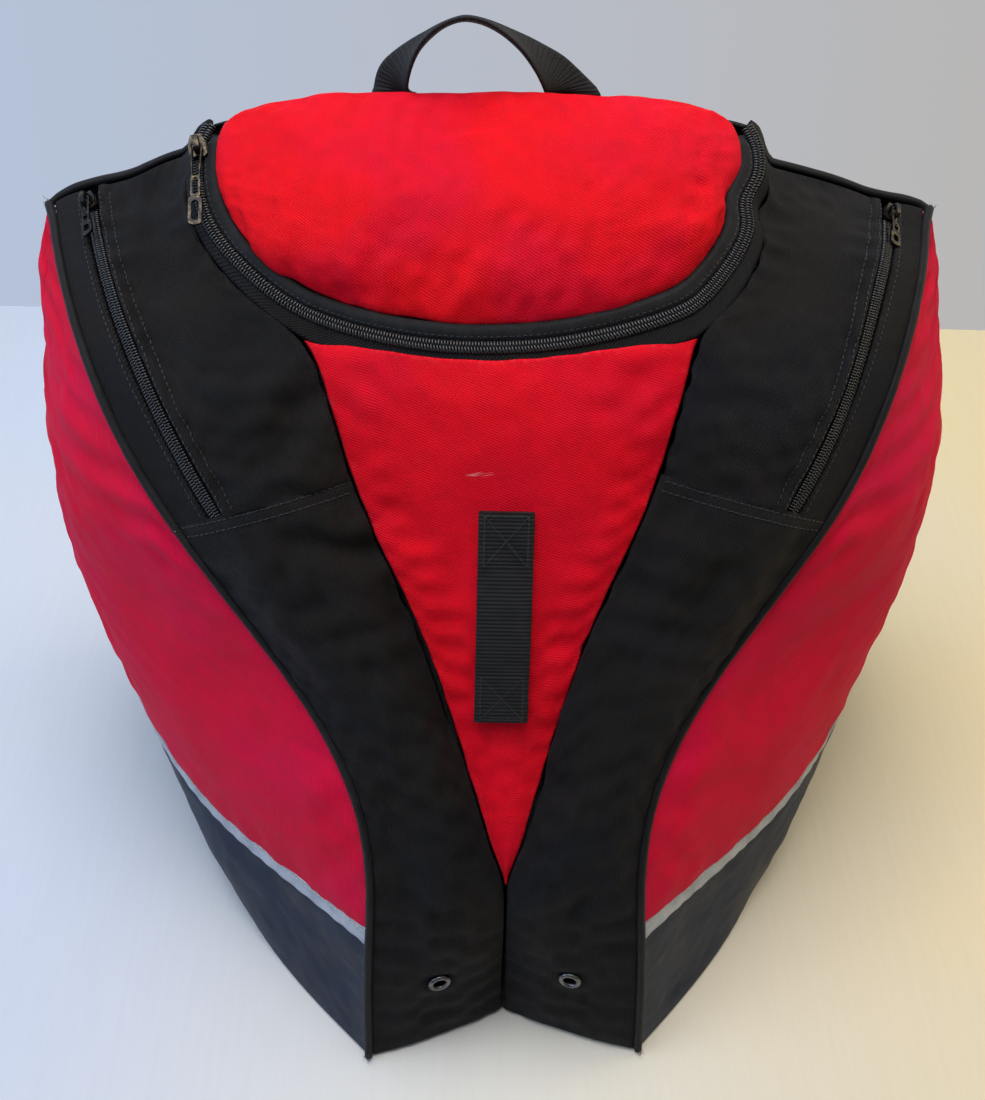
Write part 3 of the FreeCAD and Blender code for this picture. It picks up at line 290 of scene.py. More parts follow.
# ------------------------------------------------------------------ lid dome
# (x, y) of the right half of the front rim, and of the right side from rim to fold
RIM_FRONT = Spline([(0, 222.6), (27, 223.9), (53, 228), (76, 234), (93, 241.2), (107, 252),
                    (122, 270)])
RIM_SIDE = Spline([(122, 270), (128, 281), (132, 292), (133, 302), (132, 311), (129, 318)])


def rim_front(a):
    x, y = RIM_FRONT(abs(a))
    return (x if a >= 0 else -x, y)


def rim_rear(a):
    return (129.0 * a, 318 + 8 * (1 - abs(a) ** 4))


def lid_plan(a, b):
    """plan point patched between the four rims: a across -1..1, b front 0 to fold 1"""
    front, rear, right = rim_front(a), rim_rear(a), RIM_SIDE(b)
    left = (-right[0], right[1])
    corners = rim_front(-1), rim_front(1), rim_rear(-1), rim_rear(1)
    u = (a + 1) / 2
    plan = []
    for k in range(2):
        front_l, front_r, rear_l, rear_r = [corner[k] for corner in corners]
        value = (1 - b) * front[k] + b * rear[k] + (1 - u) * left[k] + u * right[k]
        plan.append(value - ((1 - u) * (1 - b) * front_l + u * (1 - b) * front_r
                             + (1 - u) * b * rear_l + u * b * rear_r))
    return plan


def lid_height(a, b):
    from_front, from_side = b * 98.0, (1 - abs(a)) * 128.0
    rise = (1 - math.exp(-from_front / 14.0)) * (1 - math.exp(-from_side / 15.0))
    return 2.5 + 18.5 * rise * (1 - 0.38 * b ** 3)


def lid_top(a, b):
    return vadd(lid_plane(*lid_plan(a, b)), vmul(LID_N, lid_height(a, b)))


def lid_full(a, b):
    """b up to 0.86 is the dome, beyond it the band behind the fold"""
    if b <= 0.86:
        return lid_top(a, b / 0.86)
    k = (b - 0.86) / 0.14
    fold = lid_top(a, 1.0)
    middle = (fold[0] * 0.992, max(fold[1], 319.8) + 3.4, fold[2] - 2.2)
    foot = (fold[0] * 0.985, 327.0, min(fold[2] - 2.0, 415.5 - 3.0 * abs(a) ** 6))
    return vmix(fold, middle, k / 0.4) if k < 0.4 else vmix(middle, foot, (k - 0.4) / 0.6)


# ------------------------------------------------------------------ front panel and dividers
T_TOP = INNER_SEAM.solve(2, 358.5, 0.0, 0.9)
TOP_CORNER = INNER_SEAM(T_TOP)
COIL_GAP = 5.4                        # the top edge reaches this near to the coil centre


def top_point(w):
    """on the tape edge at the corners, running up to the coil in the middle"""
    x = -TOP_CORNER[0] * w
    tape = TAPE_EDGE(bisect(lambda q: TAPE_EDGE(q)[0] < x, 0.2, 0.8))
    near = bisect(lambda q: coil_at(q, COIL_GAP, 0)[0] < x, 0.2, 0.8)
    return vmix(tape, coil_at(near, COIL_GAP, 1.5), 1.0 - abs(w) ** 4)


ACROSS = [k / 8.0 for k in range(-8, 9)]
TOP_EDGE = Spline([top_point(w) for w in ACROSS], ACROSS)


def front_v(w, g):
    """V-shaped panel: w across -1..1, g from the tip 0 to the top edge 1"""
    seam = INNER_SEAM(T_TIP + (T_TOP - T_TIP) * g)
    bow = 1 - w * w
    point = (-seam[0] * w, seam[1] - bow * 2.0, seam[2] + bow * 1.2)
    plain_top = (-TOP_CORNER[0] * w, TOP_CORNER[1] - bow * 2.0, TOP_CORNER[2] + bow * 1.2)
    move = vsub(vadd(TOP_EDGE(w), (0.0, -0.3, -1.2)), plain_top)
    return vadd(point, vmul(move, g ** 3))


def front_trimmed(w, g):
    """the front panel held back 0.1 mm from its side seams"""
    half = max(1.0, abs(INNER_SEAM(T_TIP + (T_TOP - T_TIP) * g)[0]))
    return front_v(w * max(0.0, (half - 0.1) / half), g)


T_DIVIDER = INNER_SEAM.solve(2, 346.0, 0.0, 0.9)


def divider(t, b):
    """wall beside the helmet compartment: t up, b front to back"""
    seam = INNER_SEAM(0.02 + (T_DIVIDER - 0.02) * t)
    front = (seam[0] - 5.0 * (1 - t) - 1.0, seam[1] + 10.0,
             max(9.0, seam[2] - 7.0 * min(1.0, t * 3)))
    rear = (-74.0 - 34.0 * t, 317.0, 9.0 + (front[2] - 9.0))
    x, y, z = vmix(front, rear, b)
    return (x - 6.0 * math.sin(math.pi * b), y, z)


def numeric_normal(surface, a, b, low=(0.0, 0.0)):
    """normal by differences; both parameters end at 1"""
    ea, eb = (1.0 - low[0]) * 2e-3, (1.0 - low[1]) * 2e-3
    along_a = vsub(surface(min(1.0, a + ea), b), surface(max(low[0], a - ea), b))
    along_b = vsub(surface(a, min(1.0, b + eb)), surface(a, max(low[1], b - eb)))
    return vunit(vcross(along_a, along_b))


# ------------------------------------------------------------------ arrays of points
def to_row(points):
    return (np.asarray(points, float) - np.array([0.0, MID_DEPTH, 0.0])) * 0.001


def from_row(points):
    return points * 1000 + np.array([0, MID_DEPTH, 0])


def ease(x):
    x = np.clip(x, 0, 1)
    return x * x * (3 - 2 * x)


def gauss(x, width):
    return np.exp(-(x / width) ** 2)


def slump(points):
    """the soft top leans left: the lid, its zip and the handle sit about 11 mm off centre"""
    points = np.asarray(points, float)
    x, y, z = points[..., 0], points[..., 1], points[..., 2]
    ax = np.abs(x)
    foot = 325.0 + 20.0 * np.minimum(1.0, (ax / 95.0) ** 2)
    back = ease((y - 325.0) / 14.0)
    lean = ease((z - foot) / 50.0) * (1 - back) + back * ease((z - 405.0) / 32.0)
    dx = -(11.0 + 2.2 * np.clip(x / 133.0, -1, 1)) * lean * (1 - ease((ax - 150.0) / 52.0))
    # the right end of the top leans with it
    dx = dx - 5.0 * ease((z - 230.0) / 130.0) * ease((x - 150.0) / 50.0)
    # the empty ends of the shoulders sag beside the lid, more on the right
    ramp = ease((ax - 143.0) / 13.0) * ease((y - 262.0) / 60.0) * ease((z - 320.0) / 55.0)
    sag_right = 13.5 * (1 - 0.75 * ease((ax - 198.0) / 45.0))
    dz = -ramp * np.where(x > 0, sag_right, 8.0 * (1 - ease((ax - 185.0) / 48.0)))
    # the right leg of the lid zip has a kink where the lid is pushed in
    dx = dx - (5.6 * gauss(y - 281.0, 10.0) * ease((x - 70.0) / 55.0)
               * (1 - ease((x - 146.0) / 34.0)) * ease((z - 352.0) / 25.0))
    # the two toe panels touch at and below the tip of the front panel
    near = (np.clip(1 - ax / 34.0, 0, 1) * (1 - ease((z - 124.0) / 28.0))
            * (1 - ease((y - 56.0) / 16.0)))
    dx = dx - np.sign(x) * np.minimum(3.3, 0.86 * ax) * near
    out = points.copy()
    out[..., 0] = x + dx
    out[..., 2] = z + dz
    return out


@functools.lru_cache(maxsize=None)
def second_matrix(n):
    """takes n even values to the second derivatives of their natural spline"""
    left, right = np.zeros((n, n)), np.zeros((n, n))
    left[0, 0] = left[-1, -1] = 1
    for i in range(1, n - 1):
        left[i, i - 1:i + 2] = (1, 4, 1)
        right[i, i - 1:i + 2] = (6, -12, 6)
    return np.linalg.solve(left, right)


def basis(n, t):
    """rows that take n evenly spaced values to a natural cubic spline at t"""
    second = second_matrix(n)
    t = np.clip(np.asarray(t, float), 0, 1) * (n - 1)
    i = np.clip(t.astype(int), 0, n - 2)
    b = t - i
    a = 1 - b
    weights = np.zeros((len(t), n))
    row = np.arange(len(t))
    weights[row, i] += a
    weights[row, i + 1] += b
    return (weights + ((a ** 3 - a) / 6)[:, None] * second[i]
            + ((b ** 3 - b) / 6)[:, None] * second[i + 1])


def grid(surface, na, nb, range_a=(0.0, 1.0), range_b=(0.0, 1.0)):
    """na by nb points of a surface"""
    (a0, a1), (b0, b1) = range_a, range_b
    return np.array([[surface(a0 + (a1 - a0) * i / (na - 1), b0 + (b1 - b0) * j / (nb - 1))
                      for j in range(nb)] for i in range(na)], float)


def arcs(points):
    """distance run along each axis of a grid of points"""
    run_a, run_b = np.zeros(points.shape[:2]), np.zeros(points.shape[:2])
    run_a[1:] = np.cumsum(np.linalg.norm(np.diff(points, axis=0), axis=2), axis=0)
    run_b[:, 1:] = np.cumsum(np.linalg.norm(np.diff(points, axis=1), axis=2), axis=1)
    return run_a, run_b


def grid_normals(points, inside):
    """normals away from the point inside, and whether they had to be turned"""
    normals = np.cross(np.gradient(points, axis=0), np.gradient(points, axis=1))
    normals = normals / np.maximum(np.linalg.norm(normals, axis=2, keepdims=True), 1e-9)
    middle = points.shape[0] // 2, points.shape[1] // 2
    turned = np.dot(normals[middle], np.asarray(inside, float) - points[middle]) > 0
    return (-normals if turned else normals), turned


def lattice_hash(ix, iy, seed):
    h = (ix * 374761393 + iy * 668265263 + seed * 974634777) & 0x7FFFFFFF
    h = (h ^ (h >> 13)) * 1274126177 & 0x7FFFFFFF
    return ((h ^ (h >> 16)) & 0xFFFF) / 65535.0


def noise(x, y, seed):
    """smooth value noise, -1..1"""
    x, y = np.asarray(x, float), np.asarray(y, float)
    ix, iy = np.floor(x).astype(np.int64), np.floor(y).astype(np.int64)
    fx, fy = x - ix, y - iy
    sx = fx * fx * fx * (fx * (fx * 6 - 15) + 10)
    sy = fy * fy * fy * (fy * (fy * 6 - 15) + 10)
    near = lattice_hash(ix, iy, seed) * (1 - sx) + lattice_hash(ix + 1, iy, seed) * sx
    far = lattice_hash(ix, iy + 1, seed) * (1 - sx) + lattice_hash(ix + 1, iy + 1, seed) * sx
    return (near * (1 - sy) + far * sy) * 2 - 1


def spread(length, step, extra=()):
    """positions 0..length, closer together beside both ends and round the extra points,
    which are (centre, reach, step)"""
    ends = [e for e in (0, 0.45, 1.0, 1.7, 2.6, 3.7) if e < length * 0.4]
    rest = length - 2 * ends[-1]
    n = max(2, int(round(rest / step)))
    stops = ends + [ends[-1] + rest * k / n for k in range(1, n)] + [length - e for e in ends]
    for centre, reach, fine in extra:
        k = int(reach / fine)
        stops += [centre + fine * i for i in range(-k, k + 1)]
    stops = sorted(v for v in stops if 0 <= v <= length)
    out = [stops[0]]
    for v in stops[1:]:
        if v - out[-1] > 0.3:
            out.append(v)
    out[-1] = length
    return np.array(out)


def run_length(points):
    """distance run at each point of a polyline"""
    steps = np.linalg.norm(np.diff(np.asarray(points, float), axis=0), axis=1)
    return np.concatenate([[0], np.cumsum(steps)])


def interpolate(at, stations, values):
    """three-column values at one or more stations"""
    return np.stack([np.interp(at, stations, values[:, k]) for k in range(3)], axis=-1)


def resample(points, step):
    points = np.asarray(points, float)
    run = run_length(points)
    stops = np.linspace(0, run[-1], max(2, int(round(run[-1] / step)) + 1))
    return interpolate(stops, run, points), stops


# ------------------------------------------------------------------ meshes and objects
COLLECTION = bpy.context.scene.collection


def add_uv(mesh, per_vertex):
    layer = mesh.uv_layers.new(name="cloth_mm")
    index = np.zeros(len(mesh.loops), int)
    mesh.loops.foreach_get("vertex_index", index)
    layer.data.foreach_set("uv", np.asarray(per_vertex, np.float32)[index].ravel())


def shade_smooth(mesh):
    mesh.polygons.foreach_set("use_smooth", [True] * len(mesh.polygons))


def link_object(name, mesh):
    obj = bpy.data.objects.new(name, mesh)
    COLLECTION.objects.link(obj)
    return obj


def place(obj, slot, ride=None, stands_for=()):
    if ride:
        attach(obj, ride)
    for node in stands_for:
        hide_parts(node)


def make_object(name, verts, faces, mat, uv, lean=True):
    mesh = bpy.data.meshes.new(name)
    verts = np.asarray(verts, float)
    mesh.from_pydata(to_row(slump(verts) if lean else verts).tolist(), [], faces)
    mesh.update()
    shade_smooth(mesh)
    add_uv(mesh, uv)
    obj = link_object(name, mesh)
    mesh.materials.append(mat)
    return obj


def recalc_normals(mesh):
    bm = bmesh.new()
    bm.from_mesh(mesh)
    bmesh.ops.recalc_face_normals(bm, faces=bm.faces)
    bm.to_mesh(mesh)
    bm.free()


def body_object(name, body, mat, slot, ride=None, angle=60, stands_for=(), lean=True):
    """closed body (verts, faces, uv) with normals out and edges sharp above an angle"""
    verts, faces, uv = body
    obj = make_object(name, verts, faces, mat, uv, lean)
    recalc_normals(obj.data)
    obj.data.set_sharp_from_angle(angle=math.radians(angle))
    place(obj, slot, ride, stands_for)
    return obj


def add_edge_distance(obj, values):
    """distance from the nearest seam in mm, which the cloth materials read"""
    data = obj.data.attributes.new("edge_mm", "FLOAT", "POINT").data
    data.foreach_set("value", np.asarray(values, np.float32))


class Bucket:
    """collects small bodies such as stitches into one mesh"""
    waiting = []

    def __init__(self, name, mat, ride, slot):
        self.name, self.mat, self.ride, self.slot = name, mat, ride, slot
        self.verts, self.faces, self.uv = [], [], []
        Bucket.waiting.append(self)

    def add(self, verts, faces, uv):
        first = len(self.verts)
        self.verts.extend([tuple(p) for p in verts])
        self.faces.extend([tuple(i + first for i in face) for face in faces])
        self.uv.extend(uv)

    def done(self, *stands_for):
        Bucket.waiting.remove(self)
        obj = make_object(self.name, self.verts, self.faces, self.mat, self.uv)
        place(obj, self.slot, self.ride, stands_for)


def frames_along(points, up=None):
    """tangent, normal and side vectors along a polyline, turning as little as possible"""
    tangents = np.gradient(np.asarray(points, float), axis=0)
    tangents /= np.maximum(np.linalg.norm(tangents, axis=1, keepdims=True), 1e-9)
    if up is None:
        normal = np.cross(tangents[0], [0.3, 0.9, 0.2])
        normals = [normal / np.linalg.norm(normal)]
        for tangent in tangents[1:]:
            normal = normals[-1] - tangent * np.dot(normals[-1], tangent)
            normals.append(normal / np.linalg.norm(normal))
        normals = np.array(normals)
    else:
        normals = np.asarray(up, float)
        if normals.ndim == 1:
            normals = np.tile(normals, (len(tangents), 1))
        normals = normals - tangents * np.sum(normals * tangents, axis=1, keepdims=True)
        normals /= np.maximum(np.linalg.norm(normals, axis=1, keepdims=True), 1e-9)
    return tangents, normals, np.cross(tangents, normals)


def tube_faces(rows, sides, caps=True):
    faces = [(i * sides + k, i * sides + (k + 1) % sides,
              (i + 1) * sides + (k + 1) % sides, (i + 1) * sides + k)
             for i in range(rows - 1) for k in range(sides)]
    if caps:
        faces.append(tuple(range(sides - 1, -1, -1)))
        faces.append(tuple((rows - 1) * sides + k for k in range(sides)))
    return faces


def swept(points, section, up=None, caps=True, scale=None):
    """(side, normal) offsets swept along a polyline; returns verts, faces, uv"""
    _, normals, sides = frames_along(points, up)
    points = np.asarray(points, float)
    scale = np.ones(len(points)) if scale is None else np.asarray(scale, float)
    run = run_length(points)
    around = [0.0]
    for p, q in zip(section, section[1:]):
        around.append(around[-1] + math.dist(q, p))
    verts, uv = [], []
    for i, point in enumerate(points):
        for k, (a, b) in enumerate(section):
            verts.append(point + sides[i] * a * scale[i] + normals[i] * b * scale[i])
            uv.append((run[i], around[k]))
    return verts, tube_faces(len(points), len(section), caps), uv


def ring(radius, count, flat=1.0):
    turns = [2 * math.pi * k / count for k in range(count)]
    return [(radius * math.cos(t), radius * flat * math.sin(t)) for t in turns]


def band(width, thick, count=7, crown=0.0):
    """flat section with rounded edges"""
    section = []
    for s in (1, -1):
        for k in range(count):
            a = s * (-1 + 2.0 * k / (count - 1))
            round_off = 0.25 * thick if abs(a) == 1 else 0
            section.append((a * (width / 2 - 0.28),
                            s * thick / 2 + crown * (1 - a * a) - s * round_off))
        section.append((s * width / 2, 0.0))
    return section


def ribbon(name, points, sides, normals, width, thick, mat, count=9, crown=0.0, wavy=0.0, seed=1):
    """flat webbing along given frames"""
    section = band(width, thick, count=count, crown=crown)
    run = run_length(points)
    verts, uv = [], []
    for i, point in enumerate(points):
        for a, b in section:
            wave = wavy * float(noise(run[i] / 14, a / 16, seed))
            verts.append(point + sides[i] * a + normals[i] * b + normals[i] * wave)
            uv.append((run[i], a if b > 0 else a + 40))
    faces = tube_faces(len(points), len(section))
    return body_object(name, (verts, faces, uv), mat, "webbing")


def stitch(bucket, points, ups, length=2.5, gap=0.9, radius=0.30, lift=0.12, seed=3):
    """a row of thread stitches lying on a surface line"""
    points, ups = np.asarray(points, float), np.asarray(ups, float)
    run = run_length(points)
    draws = random.Random(seed)
    start = 0.6
    while start + length < run[-1] - 0.3:
        thread = []
        skew = draws.uniform(-0.12, 0.12)
        # share of the stitch length, height over the cloth
        for share, height in ((0, -0.30), (0.18, 0.05), (0.5, 0.22), (0.82, 0.05), (1, -0.30)):
            here = start + length * share
            up = interpolate(here, run, ups)
            up = up / np.linalg.norm(up)
            tangent = (interpolate(min(run[-1], here + 0.5), run, points)
                       - interpolate(max(0, here - 0.5), run, points))
            across = np.cross(tangent / max(np.linalg.norm(tangent), 1e-9), up)
            thread.append(interpolate(here, run, points) + up * (height + lift)
                          + across * skew * (2 * share - 1))
        bucket.add(*swept(thread, ring(radius, 6, 0.9), up=up))
        start += length + gap


# ------------------------------------------------------------------ cloth simulation
CLOTH_SCALE = 10.0                    # sheets are run at ten times their size


def limited(move, cap):
    return move * np.minimum(1.0, cap / np.maximum(np.linalg.norm(move, axis=-1, keepdims=True),
                                                   1e-9))


def mesh_points(mesh):
    points = np.zeros(len(mesh.vertices) * 3)
    mesh.vertices.foreach_get("co", points)
    return points.reshape(-1, 3)


def add_cloth(obj, pressure, shrink, gravity, stiff, frames):
    cloth = obj.modifiers.new("cloth", "CLOTH")
    settings = cloth.settings
    settings.use_pressure = True
    settings.uniform_pressure_force = pressure
    settings.effector_weights.gravity = gravity
    settings.tension_stiffness = settings.compression_stiffness = stiff
    settings.shrink_min = shrink
    cloth.point_cache.frame_start = 1
    cloth.point_cache.frame_end = frames + 1
    return cloth


def run_cloth(obj, frames):
    scene = bpy.context.scene
    for frame_number in range(1, frames + 1):
        scene.frame_set(frame_number)
    settled = mesh_points(obj.evaluated_get(bpy.context.evaluated_depsgraph_get()).data)
    scene.frame_set(1)
    return settled


def pin_points(obj, ids):
    group = obj.vertex_groups.new(name="pin")
    if ids:
        group.add(ids, 1.0, "REPLACE")


def drape(points, inside, pressure, shrink, gravity, bend, cap, frames=16, pin_from=None):
    """runs a grid of points as cloth pinned at its rim; pin_from pins the columns beyond it"""
    na, nb = points.shape[:2]
    pinned = np.ones((na, nb), bool)
    pinned[1:-1, 1:-1] = False
    if pin_from is not None:
        pinned[:, pin_from:] = True
    _, turned = grid_normals(points, inside)
    faces = []
    for i in range(na - 1):
        for j in range(nb - 1):
            quad = (i * nb + j, (i + 1) * nb + j, (i + 1) * nb + j + 1, i * nb + j + 1)
            faces.append(quad[::-1] if turned else quad)
    mesh = bpy.data.meshes.new("cloth_work")
    mesh.from_pydata((to_row(points).reshape(-1, 3) * CLOTH_SCALE).tolist(), [], faces)
    obj = link_object("cloth_work", mesh)
    pin_points(obj, [int(i) for i in np.nonzero(pinned.reshape(-1))[0]])
    stiff = 15.0
    cloth = add_cloth(obj, pressure, shrink, gravity, stiff, frames)
    cloth.collision_settings.use_collision = False
    settings = cloth.settings
    settings.quality = 6
    settings.mass = 0.3
    settings.shear_stiffness = stiff * 0.5
    settings.bending_stiffness = bend
    settings.tension_damping = settings.compression_damping = 12
    settings.shear_damping = 8
    settings.bending_damping = 2
    settings.air_damping = 6
    settings.vertex_group_mass = "pin"
    settled = from_row(run_cloth(obj, frames) / CLOTH_SCALE).reshape(points.shape)
    bpy.data.objects.remove(obj)
    bpy.data.meshes.remove(mesh)
    return points + limited(settled - points, cap)


def bake_modifiers(obj):
    depsgraph = bpy.context.evaluated_depsgraph_get()
    mesh = bpy.data.meshes.new_from_object(obj.evaluated_get(depsgraph))
    old = obj.data
    obj.modifiers.clear()
    obj.data = mesh
    bpy.data.meshes.remove(old)


def swell(name, verts, faces, voxel, shrink, frames, cap, bend=None, pin_below=None):
    """closed mesh in metres, remeshed, blown up as cloth and smoothed;
    pin_below holds what lies in front of that y"""
    mesh = bpy.data.meshes.new(name)
    mesh.from_pydata(verts.tolist(), [], faces)
    recalc_normals(mesh)
    obj = link_object(name, mesh)
    remesh = obj.modifiers.new("rm", "REMESH")
    remesh.mode = "VOXEL"
    remesh.voxel_size = voxel
    bake_modifiers(obj)
    start = mesh_points(obj.data)
    cloth = add_cloth(obj, 4.0, shrink, 0.0, 20, frames)
    if bend is not None:
        cloth.settings.bending_stiffness = bend
    if pin_below is not None:
        pin_points(obj, [int(i) for i in np.nonzero(start[:, 1] < pin_below)[0]])
        cloth.settings.vertex_group_mass = "pin"
    move = run_cloth(obj, frames) - start
    obj.modifiers.clear()
    obj.vertex_groups.clear()
    obj.data.vertices.foreach_set("co", (start + limited(move, cap)).ravel())
    obj.data.update()
    smooth = obj.modifiers.new("sub", "SUBSURF")
    smooth.levels = smooth.render_levels = 1
    bake_modifiers(obj)
    return obj


def dress(obj, points, mat, edge_distance):
    """finish of a swelled pad, its uv taken from x and z"""
    shade_smooth(obj.data)
    add_uv(obj.data, points[:, [0, 2]])
    obj.data.materials.clear()
    obj.data.materials.append(mat)
    add_edge_distance(obj, edge_distance)


# ------------------------------------------------------------------ sewn sheets
def seam_line(outer, normals, dist, edge, offset, cuts):
    """points and normals at a distance from one edge, with the ends cut back"""
    if edge in "ab":
        outer, normals, dist = outer.swapaxes(0, 1), normals.swapaxes(0, 1), dist.T
    if edge in "bd":
        outer, normals, dist = outer[:, ::-1], normals[:, ::-1], dist[:, ::-1]
    points = np.array([interpolate(offset, x, row) for x, row in zip(dist, outer)])
    ups = np.array([interpolate(offset, x, row) for x, row in zip(dist, normals)])
    run = run_length(points)
    count = max(3, int((run[-1] - cuts[0] - cuts[1]) / 2.0))
    keep = np.linspace(cuts[0], run[-1] - cuts[1], count)
    ups = interpolate(keep, run, ups)
    return interpolate(keep, run, points), ups / np.linalg.norm(ups, axis=1, keepdims=True)


def sheet_faces(na, nb, outward):
    """faces of the outer skin, the inner skin after it, and the rim between them"""
    inner = na * nb
    faces = []
    for i in range(na - 1):
        for j in range(nb - 1):
            p, q = i * nb + j, (i + 1) * nb + j
            faces.append((p, q, q + 1, p + 1))
            faces.append((inner + p, inner + p + 1, inner + q + 1, inner + q))
    rim = (list(range(nb)) + [i * nb + nb - 1 for i in range(1, na)]
           + [(na - 1) * nb + j for j in range(nb - 2, -1, -1)]
           + [i * nb for i in range(na - 2, 0, -1)])
    for p, q in zip(rim, rim[1:] + rim[:1]):
        faces.append((p, q, inner + q, inner + p))
    return faces if outward else [face[::-1] for face in faces]


def panel(name, coarse, inside, mat, slot, ride="bag", step=2.4, thick=2.0, tuck=1.7, tuck_r=2.6,
          tuck_edges="abcd", shape=None, rows=(), thread=None, extra_a=(), extra_b=(),
          uv_turn=0.0, pucker=0.0, seed=1, lift=0.0, stands_for=()):
    """a sewn sheet: a fine grid over a coarse one, its edges tucked into their seams.

    Edges a and b are the first and last row of the grid, c and d the first and last column.
    shape(a, b, c, d, points) takes the distances from the four edges and gives the relief.
    rows are stitch rows (edge, distance, (cut at start, cut at end)), each with its groove.
    """
    run_a, run_b = arcs(coarse)
    length_a, length_b = float(run_a[-1].mean()), float(run_b[:, -1].mean())
    fine_a = spread(length_a, step, extra_a) / length_a
    fine_b = spread(length_b, step, extra_b) / length_b
    na, nb = coarse.shape[:2]
    points = np.einsum("ia,abk,jb->ijk", basis(na, fine_a), coarse, basis(nb, fine_b))
    run_a, run_b = arcs(points)
    edges = {"a": run_a, "b": run_a[-1][None, :] - run_a,
             "c": run_b, "d": run_b[:, -1][:, None] - run_b}
    normals, _ = grid_normals(points, inside)

    relief = np.full(points.shape[:2], float(lift))
    if shape is not None:
        relief = relief + shape(points=points, **edges)
    nearest = functools.reduce(np.minimum, [edges[e] for e in tuck_edges])
    x = np.clip(nearest / tuck_r, 0, 1)
    relief = relief - tuck * (1 - np.sqrt(np.clip(1 - (1 - x) ** 2, 0, 1)))
    if pucker:
        for e in tuck_edges:
            dist, run = edges[e], (run_b if e in "ab" else run_a)
            gather = np.sin(run * 0.62 + 2.2 * noise(run * 0.05, 3.1, seed + ord(e)))
            fade = np.exp(-dist / 8.0) * np.clip(dist / 3.0, 0, 1)
            relief = relief + pucker * gather * fade
    for e, offset, _ in rows:
        relief = relief - 0.38 * gauss(edges[e] - offset, 1.1)
    outer = points + normals * relief[..., None]
    inner = points + normals * (np.minimum(relief, 0.6) - thick)[..., None]

    na, nb = points.shape[:2]
    i, j = na // 2, nb // 2
    turn = np.cross(points[i + 1, j] - points[i, j], points[i, j + 1] - points[i, j])
    faces = sheet_faces(na, nb, np.dot(turn, normals[i, j]) > 0)
    cos, sin = math.cos(uv_turn), math.sin(uv_turn)
    across = run_b - run_b[:, -1][:, None] * 0.5
    along = run_a - run_a[-1][None, :] * 0.5
    uv = np.stack([across * cos - along * sin, across * sin + along * cos], axis=2)
    uv = uv.reshape(-1, 2)
    verts = np.concatenate([outer.reshape(-1, 3), inner.reshape(-1, 3)])
    obj = make_object(name, verts, faces, mat, np.concatenate([uv, uv]))
    every = functools.reduce(np.minimum, edges.values()).reshape(-1)
    add_edge_distance(obj, np.concatenate([every, every]))
    place(obj, slot, ride, stands_for)
    for k, (e, offset, cuts) in enumerate(rows):
        line = seam_line(outer, normals, edges[e], e, offset, cuts)
        stitch(thread, *line, seed=seed + k)
    return obj


# ------------------------------------------------------------------ shader helper
def rgb(r, g, b):
    """linear colour from 8-bit sRGB"""
    def linear(c):
        return (c / 255.0 / 12.92) if c <= 10.3 else ((c / 255.0 + 0.055) / 1.055) ** 2.4
    return (linear(r), linear(g), linear(b), 1.0)


